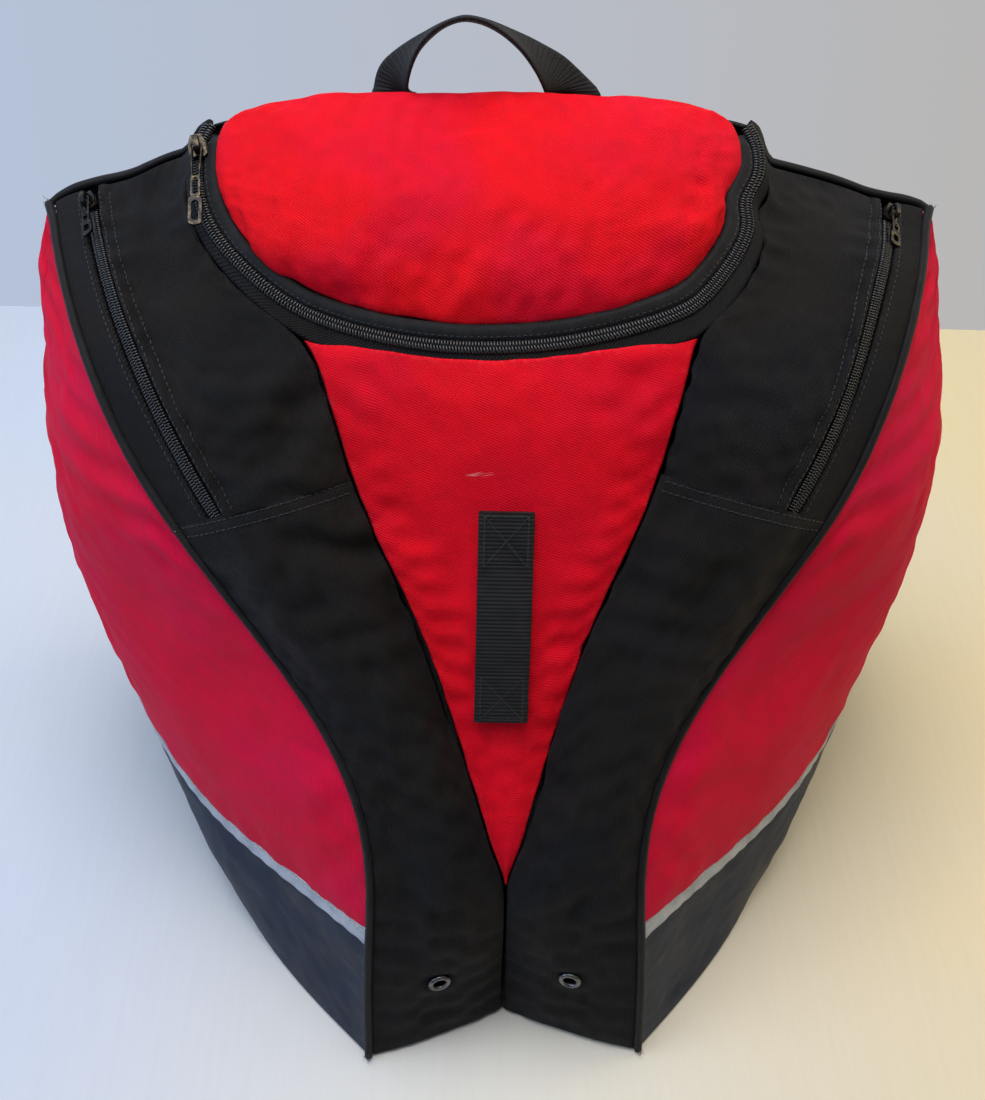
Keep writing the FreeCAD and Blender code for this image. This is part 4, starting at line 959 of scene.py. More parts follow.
class Shader:
    """a Principled material wired by calls; arguments may be values or sockets"""
    INPUTS = dict(color="Base Color", rough="Roughness", metal="Metallic",
                  spec="Specular IOR Level", sheen="Sheen Weight", sheen_rough="Sheen Roughness",
                  sheen_tint="Sheen Tint", normal="Normal")

    def __init__(self, name):
        self.mat = bpy.data.materials.new(name)
        self.mat.use_nodes = True
        self.tree = self.mat.node_tree
        self.tree.nodes.clear()
        output = self.node("OutputMaterial")
        self.principled = self.node("BsdfPrincipled")
        self.put(output.inputs[0], self.principled.outputs[0])

    def node(self, kind):
        return self.tree.nodes.new("ShaderNode" + kind)

    def put(self, socket, value):
        if isinstance(value, bpy.types.NodeSocket):
            self.tree.links.new(value, socket)
        else:
            socket.default_value = value

    def math(self, operation, a, b=0.0):
        node = self.node("Math")
        node.operation = operation
        for socket, value in zip(node.inputs, (a, b, 0.0)):
            self.put(socket, value)
        return node.outputs[0]

    def add(self, a, b):
        return self.math("ADD", a, b)

    def sub(self, a, b):
        return self.math("SUBTRACT", a, b)

    def mul(self, a, b):
        return self.math("MULTIPLY", a, b)

    def wave(self, x, period):
        return self.math("SINE", self.mul(x, 2 * math.pi / period))

    def split(self, vector):
        node = self.node("SeparateXYZ")
        self.put(node.inputs[0], vector)
        return node.outputs

    def uv(self):
        """the cloth map in mm, and its two parts"""
        node = self.node("UVMap")
        node.uv_map = "cloth_mm"
        parts = self.split(node.outputs[0])
        return node.outputs[0], parts[0], parts[1]

    def object_mm(self):
        node = self.node("TexCoord")
        scale = self.node("VectorMath")
        scale.operation = "SCALE"
        self.put(scale.inputs[0], node.outputs["Object"])
        scale.inputs["Scale"].default_value = 1000.0
        return scale.outputs[0]

    def stretch(self, vector, factors):
        node = self.node("VectorMath")
        node.operation = "MULTIPLY"
        self.put(node.inputs[0], vector)
        node.inputs[1].default_value = factors
        return node.outputs[0]

    def noise(self, vector, scale, detail=2.0, rough=0.5, distort=0.0):
        node = self.node("TexNoise")
        for key, value in (("Vector", vector), ("Scale", scale), ("Detail", detail),
                           ("Roughness", rough), ("Distortion", distort)):
            self.put(node.inputs[key], value)
        return node.outputs[0]

    def voronoi(self, vector, scale):
        node = self.node("TexVoronoi")
        node.feature = "F1"
        for key, value in (("Vector", vector), ("Scale", scale), ("Randomness", 1.0)):
            self.put(node.inputs[key], value)
        return node.outputs["Distance"]

    def remap(self, value, span, to, smooth=False):
        node = self.node("MapRange")
        if smooth:
            node.interpolation_type = "SMOOTHSTEP"
        for socket, x in zip(node.inputs, (value, *span, *to)):
            self.put(socket, x)
        return node.outputs[0]

    def hairline(self, noise_value, width):
        """1 on the thin line where the noise passes 0.5"""
        off = self.math("ABSOLUTE", self.sub(noise_value, 0.5))
        return self.remap(off, (0.0, width), to=(1.0, 0.0))

    def mix(self, factor, a, b, blend="MIX"):
        node = self.node("Mix")
        node.data_type = "RGBA"
        node.blend_type = blend
        for k, value in ((0, factor), (6, a), (7, b)):
            self.put(node.inputs[k], value)
        return node.outputs[2]

    def shade(self, color, factor):
        """colour times a number"""
        grey = self.node("CombineColor")
        for k in range(3):
            self.put(grey.inputs[k], factor)
        return self.mix(1.0, color, grey.outputs[0], "MULTIPLY")

    def edge_distance(self):
        node = self.node("Attribute")
        node.attribute_name = "edge_mm"
        return node.outputs["Fac"]

    def bump(self, height, dist, strength, normal=None):
        node = self.node("Bump")
        node.inputs["Strength"].default_value = strength
        node.inputs["Distance"].default_value = dist
        self.put(node.inputs["Height"], height)
        if normal is not None:
            self.put(node.inputs["Normal"], normal)
        return node.outputs[0]

    def set(self, **values):
        for key, value in values.items():
            self.put(self.principled.inputs[self.INPUTS[key]], value)
        return self.mat


# ------------------------------------------------------------------ materials
# lengths of patterns are in mm, bump distances in metres
def twill(name, base, dark, tint, pitch=1.22, turn=1, depth=0.00016, sheen=0.25,
          sheen_tint=(1, 1, 1, 1), rough=0.62, spec=0.35, dust=0.0, lint=(0.5, 0.5, 0.5, 1),
          scuff=None, weave=0.25):
    """pack cloth: diagonal twill ribs crossed by the filling yarns.
    turn is the slant of the ribs, scuff a rubbed oval (centre u, v, radius u, v), weave the
    strength of the painted shade in the weave grooves"""
    n = Shader(name)
    vec, u, v = n.uv()
    wide = n.noise(vec, 0.02, detail=3.0, rough=0.55)
    medium = n.noise(vec, 0.11, detail=3.0, rough=0.6)
    drift = n.mul(n.sub(n.noise(vec, 0.25), 0.5), 0.9)
    diagonal = n.add(n.add(u, n.mul(v, 0.62 * turn)), drift)
    ribs = n.wave(diagonal, pitch * 1.177)
    yarn_v = n.wave(v, pitch * 0.56)
    yarn_u = n.wave(u, pitch * 0.61)
    slub = n.noise(n.stretch(vec, (0.09, 1.6, 1.0)), 1.0)
    height = n.add(n.mul(ribs, 0.55), n.mul(n.mul(yarn_v, yarn_u), 0.4))
    height = n.add(height, n.mul(slub, 0.5))
    grain = n.noise(vec, 1.9, rough=0.7)
    # painted shade: the colour darkens in the twill grooves and lightens on the raised yarns,
    # following the bump height times weave; the other parts of the tone vary at random
    tone = n.add(n.mul(height, weave), n.remap(medium, (0.3, 0.7), to=(0.93, 1.06)))
    tone = n.mul(tone, n.remap(grain, (0.25, 0.75), to=(0.90, 1.10)))
    col = n.mix(n.remap(wide, (0.35, 0.65), to=(0.0, 1.0), smooth=True), base, dark)
    tinted = n.remap(n.noise(vec, 0.013, detail=1.0), (0.42, 0.62), to=(0.0, 0.55), smooth=True)
    col = n.mix(tinted, col, tint)
    col = n.shade(col, tone)
    # rubbed edges beside the seams
    edge = n.edge_distance()
    rub = n.mul(n.remap(edge, (0.0, 5.5), to=(1.0, 0.0), smooth=True),
                n.remap(n.noise(vec, 0.35, detail=3.0), (0.48, 0.7), to=(0.0, 1.0)))
    col = n.mix(n.mul(rub, 0.04 + dust * 0.5), col, lint)
    if dust:
        specks = n.voronoi(n.stretch(vec, (1.0, 0.6, 1.0)), 0.085)
        specks = n.mul(n.remap(specks, (0.02, 0.06), to=(1.0, 0.0)),
                       n.remap(n.noise(vec, 0.03), (0.5, 0.62), to=(0.0, 1.0)))
        hairs = n.hairline(n.noise(vec, 0.06, detail=1.0, rough=0.4, distort=2.5), 0.0016)
        hairs = n.mul(hairs, n.remap(n.noise(n.stretch(vec, (1, 1, 1)), 0.045), (0.66, 0.7),
                                     to=(0.0, 1.0)))
        haze = n.remap(n.noise(vec, 0.045, detail=4.0, rough=0.65), (0.5, 0.75), to=(0.0, 1.0),
                       smooth=True)
        col = n.mix(n.mul(haze, dust * 0.35), col, lint)
        col = n.mix(n.mul(n.math("MAXIMUM", specks, hairs), min(1.0, dust * 4)), col, lint)
    if scuff is not None:
        centre_u, centre_v, radius_u, radius_v = scuff
        du = n.math("DIVIDE", n.sub(u, centre_u), radius_u)
        dv = n.math("DIVIDE", n.sub(v, centre_v), radius_v)
        oval = n.add(n.mul(du, du), n.mul(dv, dv))
        streak = n.remap(n.noise(n.stretch(vec, (1.6, 0.10, 1.0)), 0.8, detail=1.0),
                         (0.54, 0.64), to=(0.0, 1.0))
        worn = n.mul(n.remap(oval, (0.2, 1.0), to=(1.0, 0.0), smooth=True), streak)
        col = n.mix(n.mul(worn, 0.42), col, rgb(236, 170, 172))
    gloss = n.add(n.remap(medium, (0.3, 0.7), to=(rough - 0.05, rough + 0.07)),
                  n.mul(height, 0.03))
    folds_ = n.remap(n.noise(vec, 0.07, detail=3.0, rough=0.55), (0.0, 1.0), to=(0.0, 1.0))
    soft = n.bump(folds_, dist=0.0009, strength=0.55)
    woven = n.bump(height, dist=depth, strength=0.9, normal=soft)
    return n.set(color=col, rough=gloss, spec=spec, sheen=sheen, sheen_rough=0.45,
                 sheen_tint=sheen_tint, normal=woven)


def coated(name, base, light):
    """fabric with a smooth coating, fine square weave showing through"""
    n = Shader(name)
    vec, u, v = n.uv()
    weave = n.add(n.mul(n.mul(n.wave(u, 0.75), n.wave(v, 0.75)), 0.5),
                  n.mul(n.noise(vec, 1.1), 0.6))
    wide = n.noise(vec, 0.022, detail=3.0, rough=0.6)
    col = n.mix(n.remap(wide, (0.35, 0.65), to=(0.0, 1.0), smooth=True), base, light)
    col = n.shade(col, n.remap(n.noise(vec, 0.5, detail=3.0), (0.3, 0.7), to=(0.9, 1.1)))
    dirt = n.mul(n.remap(n.noise(vec, 0.055, detail=5.0, rough=0.7), (0.52, 0.72),
                         to=(0.0, 1.0)), 0.12)
    col = n.mix(dirt, col, rgb(112, 118, 124))
    scratch = n.hairline(n.noise(n.stretch(vec, (0.3, 1.0, 1.0)), 0.09, detail=1.0, rough=0.4,
                                 distort=1.5), 0.0022)
    scratch = n.mul(scratch, n.remap(n.noise(vec, 0.05), (0.60, 0.66), to=(0.0, 0.5)))
    edge = n.edge_distance()
    rub = n.mul(n.remap(edge, (0.0, 6.0), to=(1.0, 0.0), smooth=True),
                n.remap(n.noise(vec, 0.4, detail=3.0), (0.45, 0.7), to=(0.0, 1.0)))
    col = n.mix(n.math("MAXIMUM", n.mul(rub, 0.35), scratch), col, rgb(128, 134, 140))
    soft = n.bump(n.noise(vec, 0.06, detail=3.0, rough=0.6), dist=0.0010, strength=0.6)
    woven = n.bump(weave, dist=0.00008, strength=0.8, normal=soft)
    return n.set(color=col, rough=n.remap(wide, (0.3, 0.7), to=(0.46, 0.62)), spec=0.28,
                 sheen=0.02, normal=woven)


def ribbed(name, base, light, rib, cross, depth):
    """webbing: ribs across the length, small slanted yarns in each rib, their hollows darkened as
    painted shade
    """
    n = Shader(name)
    vec, u, v = n.uv()
    ribs = n.wave(u, rib)
    slant = n.add(v, n.mul(n.math("PINGPONG", u, rib), 0.9))
    yarns = n.wave(slant, cross)
    height = n.add(n.mul(ribs, 0.6), n.mul(yarns, 0.4))
    height = n.add(height, n.mul(n.noise(vec, 1.3), 0.4))
    # painted shade: the colour darkens in the hollows between the ribs and yarns and lightens on
    # their tops, following the bump height
    tone = n.remap(height, (-1.0, 1.2), to=(0.45, 1.35))
    col = n.mix(n.remap(n.noise(vec, 0.08, detail=3.0), (0.35, 0.65), to=(0.0, 1.0)), base, light)
    col = n.shade(col, tone)
    fuzz = n.remap(n.noise(vec, 0.9, detail=3.0, rough=0.7), (0.62, 0.78), to=(0.0, 0.16))
    col = n.mix(fuzz, col, rgb(76, 76, 80))
    return n.set(color=col, rough=0.6, spec=0.22, sheen=0.03, sheen_rough=0.5,
                 normal=n.bump(height, dist=depth, strength=1.0))


def metal(name, base, wear, rough=0.32):
    n = Shader(name)
    vec = n.object_mm()
    worn = n.noise(vec, 0.35, detail=4.0, rough=0.6)
    col = n.mix(n.remap(worn, (0.46, 0.66), to=(0.0, 1.0)), base, wear)
    col = n.shade(col, n.remap(n.noise(vec, 2.2, detail=3.0), (0.3, 0.7), to=(0.85, 1.12)))
    pits = n.bump(n.noise(vec, 1.4, detail=3.0), dist=0.00006, strength=0.6)
    gloss = n.remap(n.noise(vec, 0.8, detail=3.0), (0.3, 0.7), to=(rough - 0.08, rough + 0.14))
    return n.set(color=col, metal=1.0, rough=gloss, normal=pits)


def plastic(name, base, light, rough=0.42):
    n = Shader(name)
    vec = n.object_mm()
    col = n.mix(n.remap(n.noise(vec, 0.05, detail=3.0), (0.35, 0.65), to=(0.0, 1.0)), base, light)
    scratch = n.remap(n.noise(n.stretch(vec, (0.15, 1.5, 0.4)), 1.0, detail=3.0, rough=0.6),
                      (0.66, 0.72), to=(0.0, 0.3))
    col = n.mix(scratch, col, rgb(104, 104, 106))
    grain = n.add(n.voronoi(vec, 1.6), n.mul(n.noise(vec, 0.9, detail=3.0), 0.6))
    gloss = n.remap(n.noise(vec, 0.4), (0.3, 0.7), to=(rough - 0.06, rough + 0.1))
    return n.set(color=col, rough=gloss, spec=0.5,
                 normal=n.bump(grain, dist=0.00007, strength=0.5))


def hexmesh(name, base, hole):
    """spacer mesh over foam: two offset lattices of holes"""
    n = Shader(name)
    vec, u, v = n.uv()
    pitch_u, pitch_v = 3.0, 2.6
    first = n.mul(n.wave(u, pitch_u), n.wave(v, pitch_v))
    second = n.mul(n.wave(n.add(u, pitch_u / 2), pitch_u), n.wave(n.add(v, pitch_v / 2), pitch_v))
    pit = n.remap(n.math("MAXIMUM", first, second), (0.45, 0.8), to=(0.0, 1.0), smooth=True)
    col = n.mix(pit, base, hole)
    col = n.shade(col, n.remap(n.noise(vec, 0.8), (0.3, 0.7), to=(0.85, 1.15)))
    dusty = n.remap(n.noise(vec, 0.03, detail=3.0), (0.5, 0.75), to=(0.0, 0.18))
    col = n.mix(dusty, col, rgb(110, 110, 114))
    return n.set(color=col, rough=0.78, spec=0.25, sheen=0.2,
                 normal=n.bump(n.sub(1.0, pit), dist=0.0005, strength=0.9))


def thread_material(name, base, light):
    n = Shader(name)
    vec = n.object_mm()
    twist = n.noise(n.stretch(vec, (1.0, 1.0, 1.0)), 3.2, rough=0.6, distort=0.5)
    col = n.mix(n.remap(twist, (0.35, 0.65), to=(0.0, 1.0)), base, light)
    return n.set(color=col, rough=0.55, spec=0.4, sheen=0.2,
                 normal=n.bump(twist, dist=0.00008, strength=0.8))


def tape_material(name, base, light, period):
    """woven tape with a herringbone, its hollows darkened as painted shade"""
    n = Shader(name)
    vec, u, v = n.uv()
    zigzag = n.add(u, n.mul(n.math("PINGPONG", v, 2.4), 1.0))
    height = n.add(n.mul(n.wave(zigzag, period), 0.6), n.mul(n.noise(vec, 1.2), 0.6))
    col = n.mix(n.remap(n.noise(vec, 0.12, detail=3.0), (0.35, 0.65), to=(0.0, 1.0)), base, light)
    # painted shade: the colour darkens in the hollows of the herringbone and lightens on its
    # raised yarns, following the bump height
    col = n.shade(col, n.remap(height, (-0.6, 1.1), to=(0.75, 1.2)))
    fuzz = n.remap(n.noise(vec, 0.7, detail=4.0, rough=0.75), (0.62, 0.8), to=(0.0, 0.12))
    col = n.mix(fuzz, col, rgb(90, 90, 96))
    return n.set(color=col, rough=0.6, spec=0.22, sheen=0.04, sheen_rough=0.4,
                 normal=n.bump(height, dist=0.00015, strength=0.8))


def reflective(name):
    """silver tape of small beads, cracked and worn at its edges"""
    n = Shader(name)
    vec, _, _ = n.uv()
    bead = n.voronoi(vec, 2.6)
    wide = n.noise(vec, 0.05, detail=4.0, rough=0.6)
    col = n.mix(n.remap(wide, (0.4, 0.68), to=(0.0, 1.0)), rgb(190, 196, 206),
                rgb(148, 156, 170))
    col = n.shade(col, n.remap(bead, (0.0, 0.5), to=(1.06, 0.88)))
    crack = n.hairline(n.noise(n.stretch(vec, (1.0, 0.4, 1.0)), 0.35, distort=1.0), 0.006)
    crack = n.mul(crack, n.remap(n.noise(vec, 0.08), (0.5, 0.6), to=(0.0, 0.6)))
    col = n.mix(crack, col, rgb(110, 112, 118))
    edge = n.edge_distance()
    worn = n.mul(n.remap(edge, (0.0, 1.4), to=(1.0, 0.0), smooth=True),
                 n.remap(n.noise(vec, 0.5), (0.4, 0.6), to=(0.1, 0.6)))
    col = n.mix(worn, col, rgb(96, 98, 104))
    return n.set(color=col, rough=n.remap(wide, (0.3, 0.7), to=(0.34, 0.5)), metal=0.35,
                 spec=0.6, normal=n.bump(bead, dist=0.00007, strength=0.7))


def coil_nylon(name):
    n = Shader(name)
    vec = n.object_mm()
    col = n.mix(n.remap(n.noise(vec, 0.2, detail=3.0), (0.35, 0.65), to=(0.0, 1.0)),
                rgb(19, 19, 21), rgb(30, 30, 34))
    dusty = n.remap(n.noise(vec, 0.9, detail=3.0, rough=0.7), (0.64, 0.78), to=(0.0, 0.12))
    col = n.mix(dusty, col, rgb(96, 92, 86))
    return n.set(color=col, rough=n.remap(n.noise(vec, 0.6), (0.3, 0.7), to=(0.24, 0.38)),
                 spec=0.7, normal=n.bump(n.noise(vec, 2.0), dist=0.00005, strength=0.5))


# weave here is the strength of the painted shade in the twill grooves
BLACK = dict(sheen=0.02, sheen_tint=rgb(150, 170, 210), dust=0.06, lint=rgb(100, 100, 104),
             weave=0.42, depth=0.00030)
M = {
    "red_front": twill("red_fabric_front", rgb(224, 7, 34), rgb(210, 5, 34), rgb(220, 6, 24),
                       sheen=0.02, sheen_tint=rgb(255, 60, 80), spec=0.10,
                       scuff=(86.0, -2.0, 2.2, 9.0)),
    "red_lid": twill("red_fabric_lid", rgb(224, 7, 22), rgb(212, 5, 26), rgb(212, 6, 46),
                     sheen=0.02, sheen_tint=rgb(255, 60, 90), spec=0.10),
    "red_side": twill("red_fabric_side", rgb(216, 9, 54), rgb(206, 8, 50), rgb(212, 9, 68),
                      turn=-1, sheen=0.03, sheen_tint=rgb(255, 70, 110), spec=0.12),
    "black_right": twill("black_fabric_gusset", rgb(24, 21, 20), rgb(16, 15, 15),
                         rgb(18, 20, 26), spec=0.14, rough=0.58, **BLACK),
    "black_left": twill("black_fabric_gusset_left", rgb(25, 21, 19), rgb(17, 14, 14),
                        rgb(19, 19, 22), turn=-1, spec=0.14, rough=0.58, **BLACK),
    "black_back": twill("black_fabric_back", rgb(28, 28, 30), rgb(21, 21, 23), rgb(25, 26, 29),
                        spec=0.2, rough=0.62, **BLACK),
    "coated": coated("coated_fabric_lower", rgb(4, 19, 40), rgb(11, 28, 52)),
    "base": coated("coated_fabric_base", rgb(30, 31, 34), rgb(42, 43, 46)),
    "reflective": reflective("reflective_tape_strip"),
    "piping": tape_material("piping_twill", rgb(19, 18, 19), rgb(28, 28, 31), period=1.2),
    "binding": tape_material("zip_binding_tape", rgb(17, 17, 19), rgb(26, 27, 31), period=1.1),
    "zip_tape": tape_material("zip_tape_black", rgb(12, 12, 14), rgb(18, 18, 21), period=1.0),
    "coil": coil_nylon("zip_coil_nylon"),
    "metal": metal("zip_metal_gunmetal", rgb(40, 39, 40), rgb(84, 75, 60)),
    "eyelet": metal("eyelet_nickel", rgb(120, 120, 122), rgb(70, 70, 74), rough=0.30),
    "buckle": plastic("buckle_plastic_black", rgb(26, 26, 28), rgb(34, 34, 37)),
    "board": plastic("board_plastic_grey", rgb(60, 61, 64), rgb(76, 77, 80), rough=0.6),
    "lining": twill("lining_fabric_grey", rgb(64, 66, 70), rgb(54, 56, 60), rgb(60, 60, 64),
                    pitch=0.9, sheen=0.1, spec=0.3, weave=0.12, depth=0.0001),
    "mesh": hexmesh("padded_mesh_black", rgb(40, 41, 44), rgb(12, 12, 14)),
    "webbing": ribbed("webbing_black", rgb(20, 20, 22), rgb(32, 32, 35), rib=2.0, cross=1.3,
                      depth=0.0005),
    "webbing_soft": ribbed("webbing_handle", rgb(18, 18, 20), rgb(27, 27, 31), rib=1.5,
                           cross=0.9, depth=0.0002),
    "thread": thread_material("thread_black", rgb(11, 11, 12), rgb(20, 20, 22)),
    "thread_grey": thread_material("thread_pale", rgb(176, 172, 164), rgb(208, 204, 196)),
    "thread_red": thread_material("thread_red", rgb(176, 14, 30), rgb(206, 30, 44)),
}

# ------------------------------------------------------------------ folds in the cloth
# each crease runs from x, y, z to x, y, z, then its width and height; below zero is a valley
FOLDS = {
    "left_shoulder": [
        (-173.8, 312.2, 396.5, -174.5, 277.7, 383.2, 9, -1.6),
        (-182.6, 300.5, 389.8, -181.2, 266.4, 375.6, 12, 1.0),
        (-174.5, 277.7, 383.2, -164.6, 246.0, 368.6, 12, -1.0),
        (-94.1, 202.9, 345.0, -110.6, 181.1, 321.9, 10, -2.4),
        (-102.2, 206.7, 350.2, -121.0, 184.7, 326.0, 12, 1.6),
        (-84.3, 194.7, 332.6, -100.1, 172.7, 310.5, 12, 1.5),
        (-128.2, 224.1, 362.1, -99.9, 213.8, 356.4, 12, -0.8),
        (-153.6, 240.3, 367.3, -138.1, 191.3, 330.8, 18, 0.9)],
    "left_toe": [
        (-105.2, 152.9, 286.5, -64.0, 155.0, 277.2, 8, -2.6),
        (-99.6, 159.2, 294.2, -69.0, 161.8, 286.7, 9, 1.6),
        (-99.6, 146.1, 277.7, -61.2, 147.0, 267.9, 12, 1.6),
        (-75.4, 135.3, 261.7, -39.1, 85.3, 191.5, 13, 1.5),
        (-55.5, 143.6, 261.4, -26.9, 102.6, 198.4, 10, -1.6),
        (-40.6, 59.2, 161.5, -19.1, 30.8, 67.6, 16, 1.2),
        (-58.7, 72.1, 177.0, -56.9, 41.2, 124.4, 10, -1.2),
        (-120.9, 150.1, 278.4, -89.1, 112.7, 226.8, 14, 1.0)],
    "right_toe": [
        (46.4, 126.8, 239.1, 29.1, 89.4, 188.3, 12, 1.8),
        (66.9, 150.4, 274.2, 40.6, 109.6, 217.2, 10, -1.4),
        (94.4, 152.3, 285.2, 66.6, 124.2, 246.5, 12, 1.4),
        (6.6, 57.0, 138.4, 30.1, 27.7, 71.8, 14, 1.2),
        (50.3, 45.2, 136.2, 29.5, 33.3, 102.4, 9, -1.2),
        (106.4, 143.2, 272.7, 87.1, 121.5, 244.0, 10, -1.2),
        (20.6, 84.9, 176.6, 13.2, 58.7, 146.6, 9, -1.2)],
    "right_shoulder": [
        (92.6, 212.8, 354.7, 77.7, 180.9, 312.7, 10, -1.4),
        (112.9, 213.7, 356.8, 95.4, 179.6, 317.9, 14, 1.2),
        (148.1, 287.1, 392.5, 146.3, 258.3, 377.8, 12, -1.2),
        (130.1, 244.0, 370.7, 153.5, 224.1, 357.8, 12, 0.9),
        (79.0, 177.5, 309.3, 73.6, 168.6, 296.3, 8, -1.2)],
    "lid": [
        (-45.3, 248.2, 398.0, -17.0, 228.6, 380.5, 24, -1.6),
        (-29.7, 240.0, 392.2, -41.4, 225.1, 369.0, 14, -0.8),
        (-112.5, 256.7, 384.1, -99.3, 244.4, 379.2, 10, 1.2),
        (-1.5, 314.5, 429.5, 1.5, 298.4, 423.5, 9, -1.6),
        (111.4, 275.8, 409.7, 104.8, 259.6, 400.9, 7, -1.4),
        (67.0, 308.6, 427.3, 95.6, 298.4, 422.5, 14, 0.8),
        (-83.3, 315.5, 429.1, -40.2, 308.4, 427.4, 18, 0.8),
        (26.3, 228.1, 379.3, 65.5, 230.7, 373.8, 12, 0.8),
        (-96.6, 242.3, 376.3, -59.5, 229.3, 373.1, 10, -0.8),
        (87.6, 248.1, 395.1, 111.0, 258.9, 396.2, 8, 0.9)],
    "front": [
        (-57.7, 169.9, 297.9, -40.4, 156.6, 280.0, 9, -1.2),
        (-63.8, 162.9, 286.1, -47.6, 152.3, 273.0, 9, 1.0),
        (65.5, 169.6, 296.1, 47.6, 152.3, 273.0, 10, 0.8),
        (27.1, 128.7, 240.2, 39.5, 125.3, 232.3, 8, -1.0),
        (-26.2, 152.1, 274.9, -29.0, 122.3, 229.7, 9, -0.9),
        (18.7, 151.8, 274.8, 19.6, 121.4, 229.8, 8, -0.6),
        (-74.7, 211.4, 353.0, -64.0, 192.5, 331.1, 10, 0.8),
        (28.2, 123.8, 232.3, 18.0, 104.2, 203.2, 10, 0.9),
        (65.2, 205.9, 348.0, 43.7, 191.7, 332.0, 14, -0.6)],
    "left_side": [
        (-243.6, 320.8, 308.4, -250.5, 310.8, 227.6, 14, -1.2),
        (-239.0, 320.1, 125.0, -163.2, 153.2, 210.0, 22, 1.2),
        (-216.0, 319.7, 11.2, -131.1, 114.0, 169.4, 14, -1.0),
        (-138.8, 129.6, 187.7, -92.7, 83.3, 160.9, 18, 1.0),
        (-206.9, 203.7, 287.8, -183.0, 167.7, 225.1, 12, -0.8)],
    "right_side": [
        (244.8, 322.4, 282.5, 202.8, 200.6, 287.8, 14, 1.0),
        (181.2, 178.9, 272.0, 138.5, 137.4, 205.0, 20, 1.0),
        (152.3, 159.4, 261.4, 117.2, 120.0, 195.1, 12, -1.0),
        (125.4, 132.3, 215.0, 100.7, 88.8, 160.9, 12, 0.8),
        (99.9, 86.6, 157.9, 145.8, 109.7, 138.7, 10, -0.6)],
}
FOLD_GAIN = 1.7


def folds(points, name):
    """relief of the creases of one panel"""
    relief = np.zeros(points.shape[:2])
    for *ends, width, height in FOLDS[name]:
        start, end = np.array(ends[:3]), np.array(ends[3:])
        line = end - start
        t = np.clip(((points - start) @ line) / (line @ line), -0.25, 1.25)
        away = np.linalg.norm(points - (start + t[..., None] * line), axis=2)
        fade = np.clip((t + 0.25) / 0.35, 0, 1) * np.clip((1.25 - t) / 0.35, 0, 1)
        relief += (FOLD_GAIN * height * np.exp(-(away / width) ** 2) * fade * fade
                   * (3 - 2 * fade))
    return relief


def calm(reach, *distances):
    """0 at the seams, 1 further in than the reach"""
    return ease(functools.reduce(np.minimum, distances) / reach)


# ------------------------------------------------------------------ shell of the compartments
STRIP_WIDTH = 11.0                    # reflective strip
ZIP_U = 0.27                          # side zip, fraction from outer to inner seam
EYELET_V, EYELET_U = 0.112, 0.52      # eyelet on the gusset
V_BOTTOM = V_OF_Z(1.2)
toe_grids = {}


def seam_length(surface, v):
    """length across a surface at v"""
    points = [surface(v, k / 12.0) for k in range(13)]
    return sum(vlen(vsub(q, p)) for p, q in zip(points, points[1:]))


def side_trim(v_of, sign, margin=1.5):
    """part of the side with v_of(a, b) up it, held back a margin from both seams"""
    def surface(a, b):
        v = v_of(a, b)
        length = seam_length(side, v)
        low, high = min(0.3, margin / length), 1.0 - min(0.3, margin / length)
        return side(v, low + (high - low) * b)
    return sided(surface, sign)


def strip_v(b, offset):
    return V_OF_Z(STRIP_Z(b) + offset)


def toe(a, b):
    v = V_BOTTOM + (V_CROSS + 0.006 - V_BOTTOM) * a
    length = seam_length(gusset, v)
    return gusset(v, 1.6 / length + (1.0 - 1.7 / length) * b)


def shoulder(low_of, high_of):
    """gusset above the cross seam, between two distances from the outer seam"""
    v0, v1 = V_CROSS + 0.001, 0.992

    def surface(a, b):
        v = v0 + (v1 - v0) * a
        length = seam_length(gusset, v)
        low, high = low_of(length, v) / length, high_of(length, v) / length
        return gusset(v, low + (high - low) * b)
    return surface


def eyelet_place(sign):
    """centre on the gusset and normal pointing forwards"""
    surface = sided(gusset, sign)
    normal = np.array(numeric_normal(surface, EYELET_V, EYELET_U))
    return np.array(surface(EYELET_V, EYELET_U)), (-normal if normal[1] > 0 else normal)


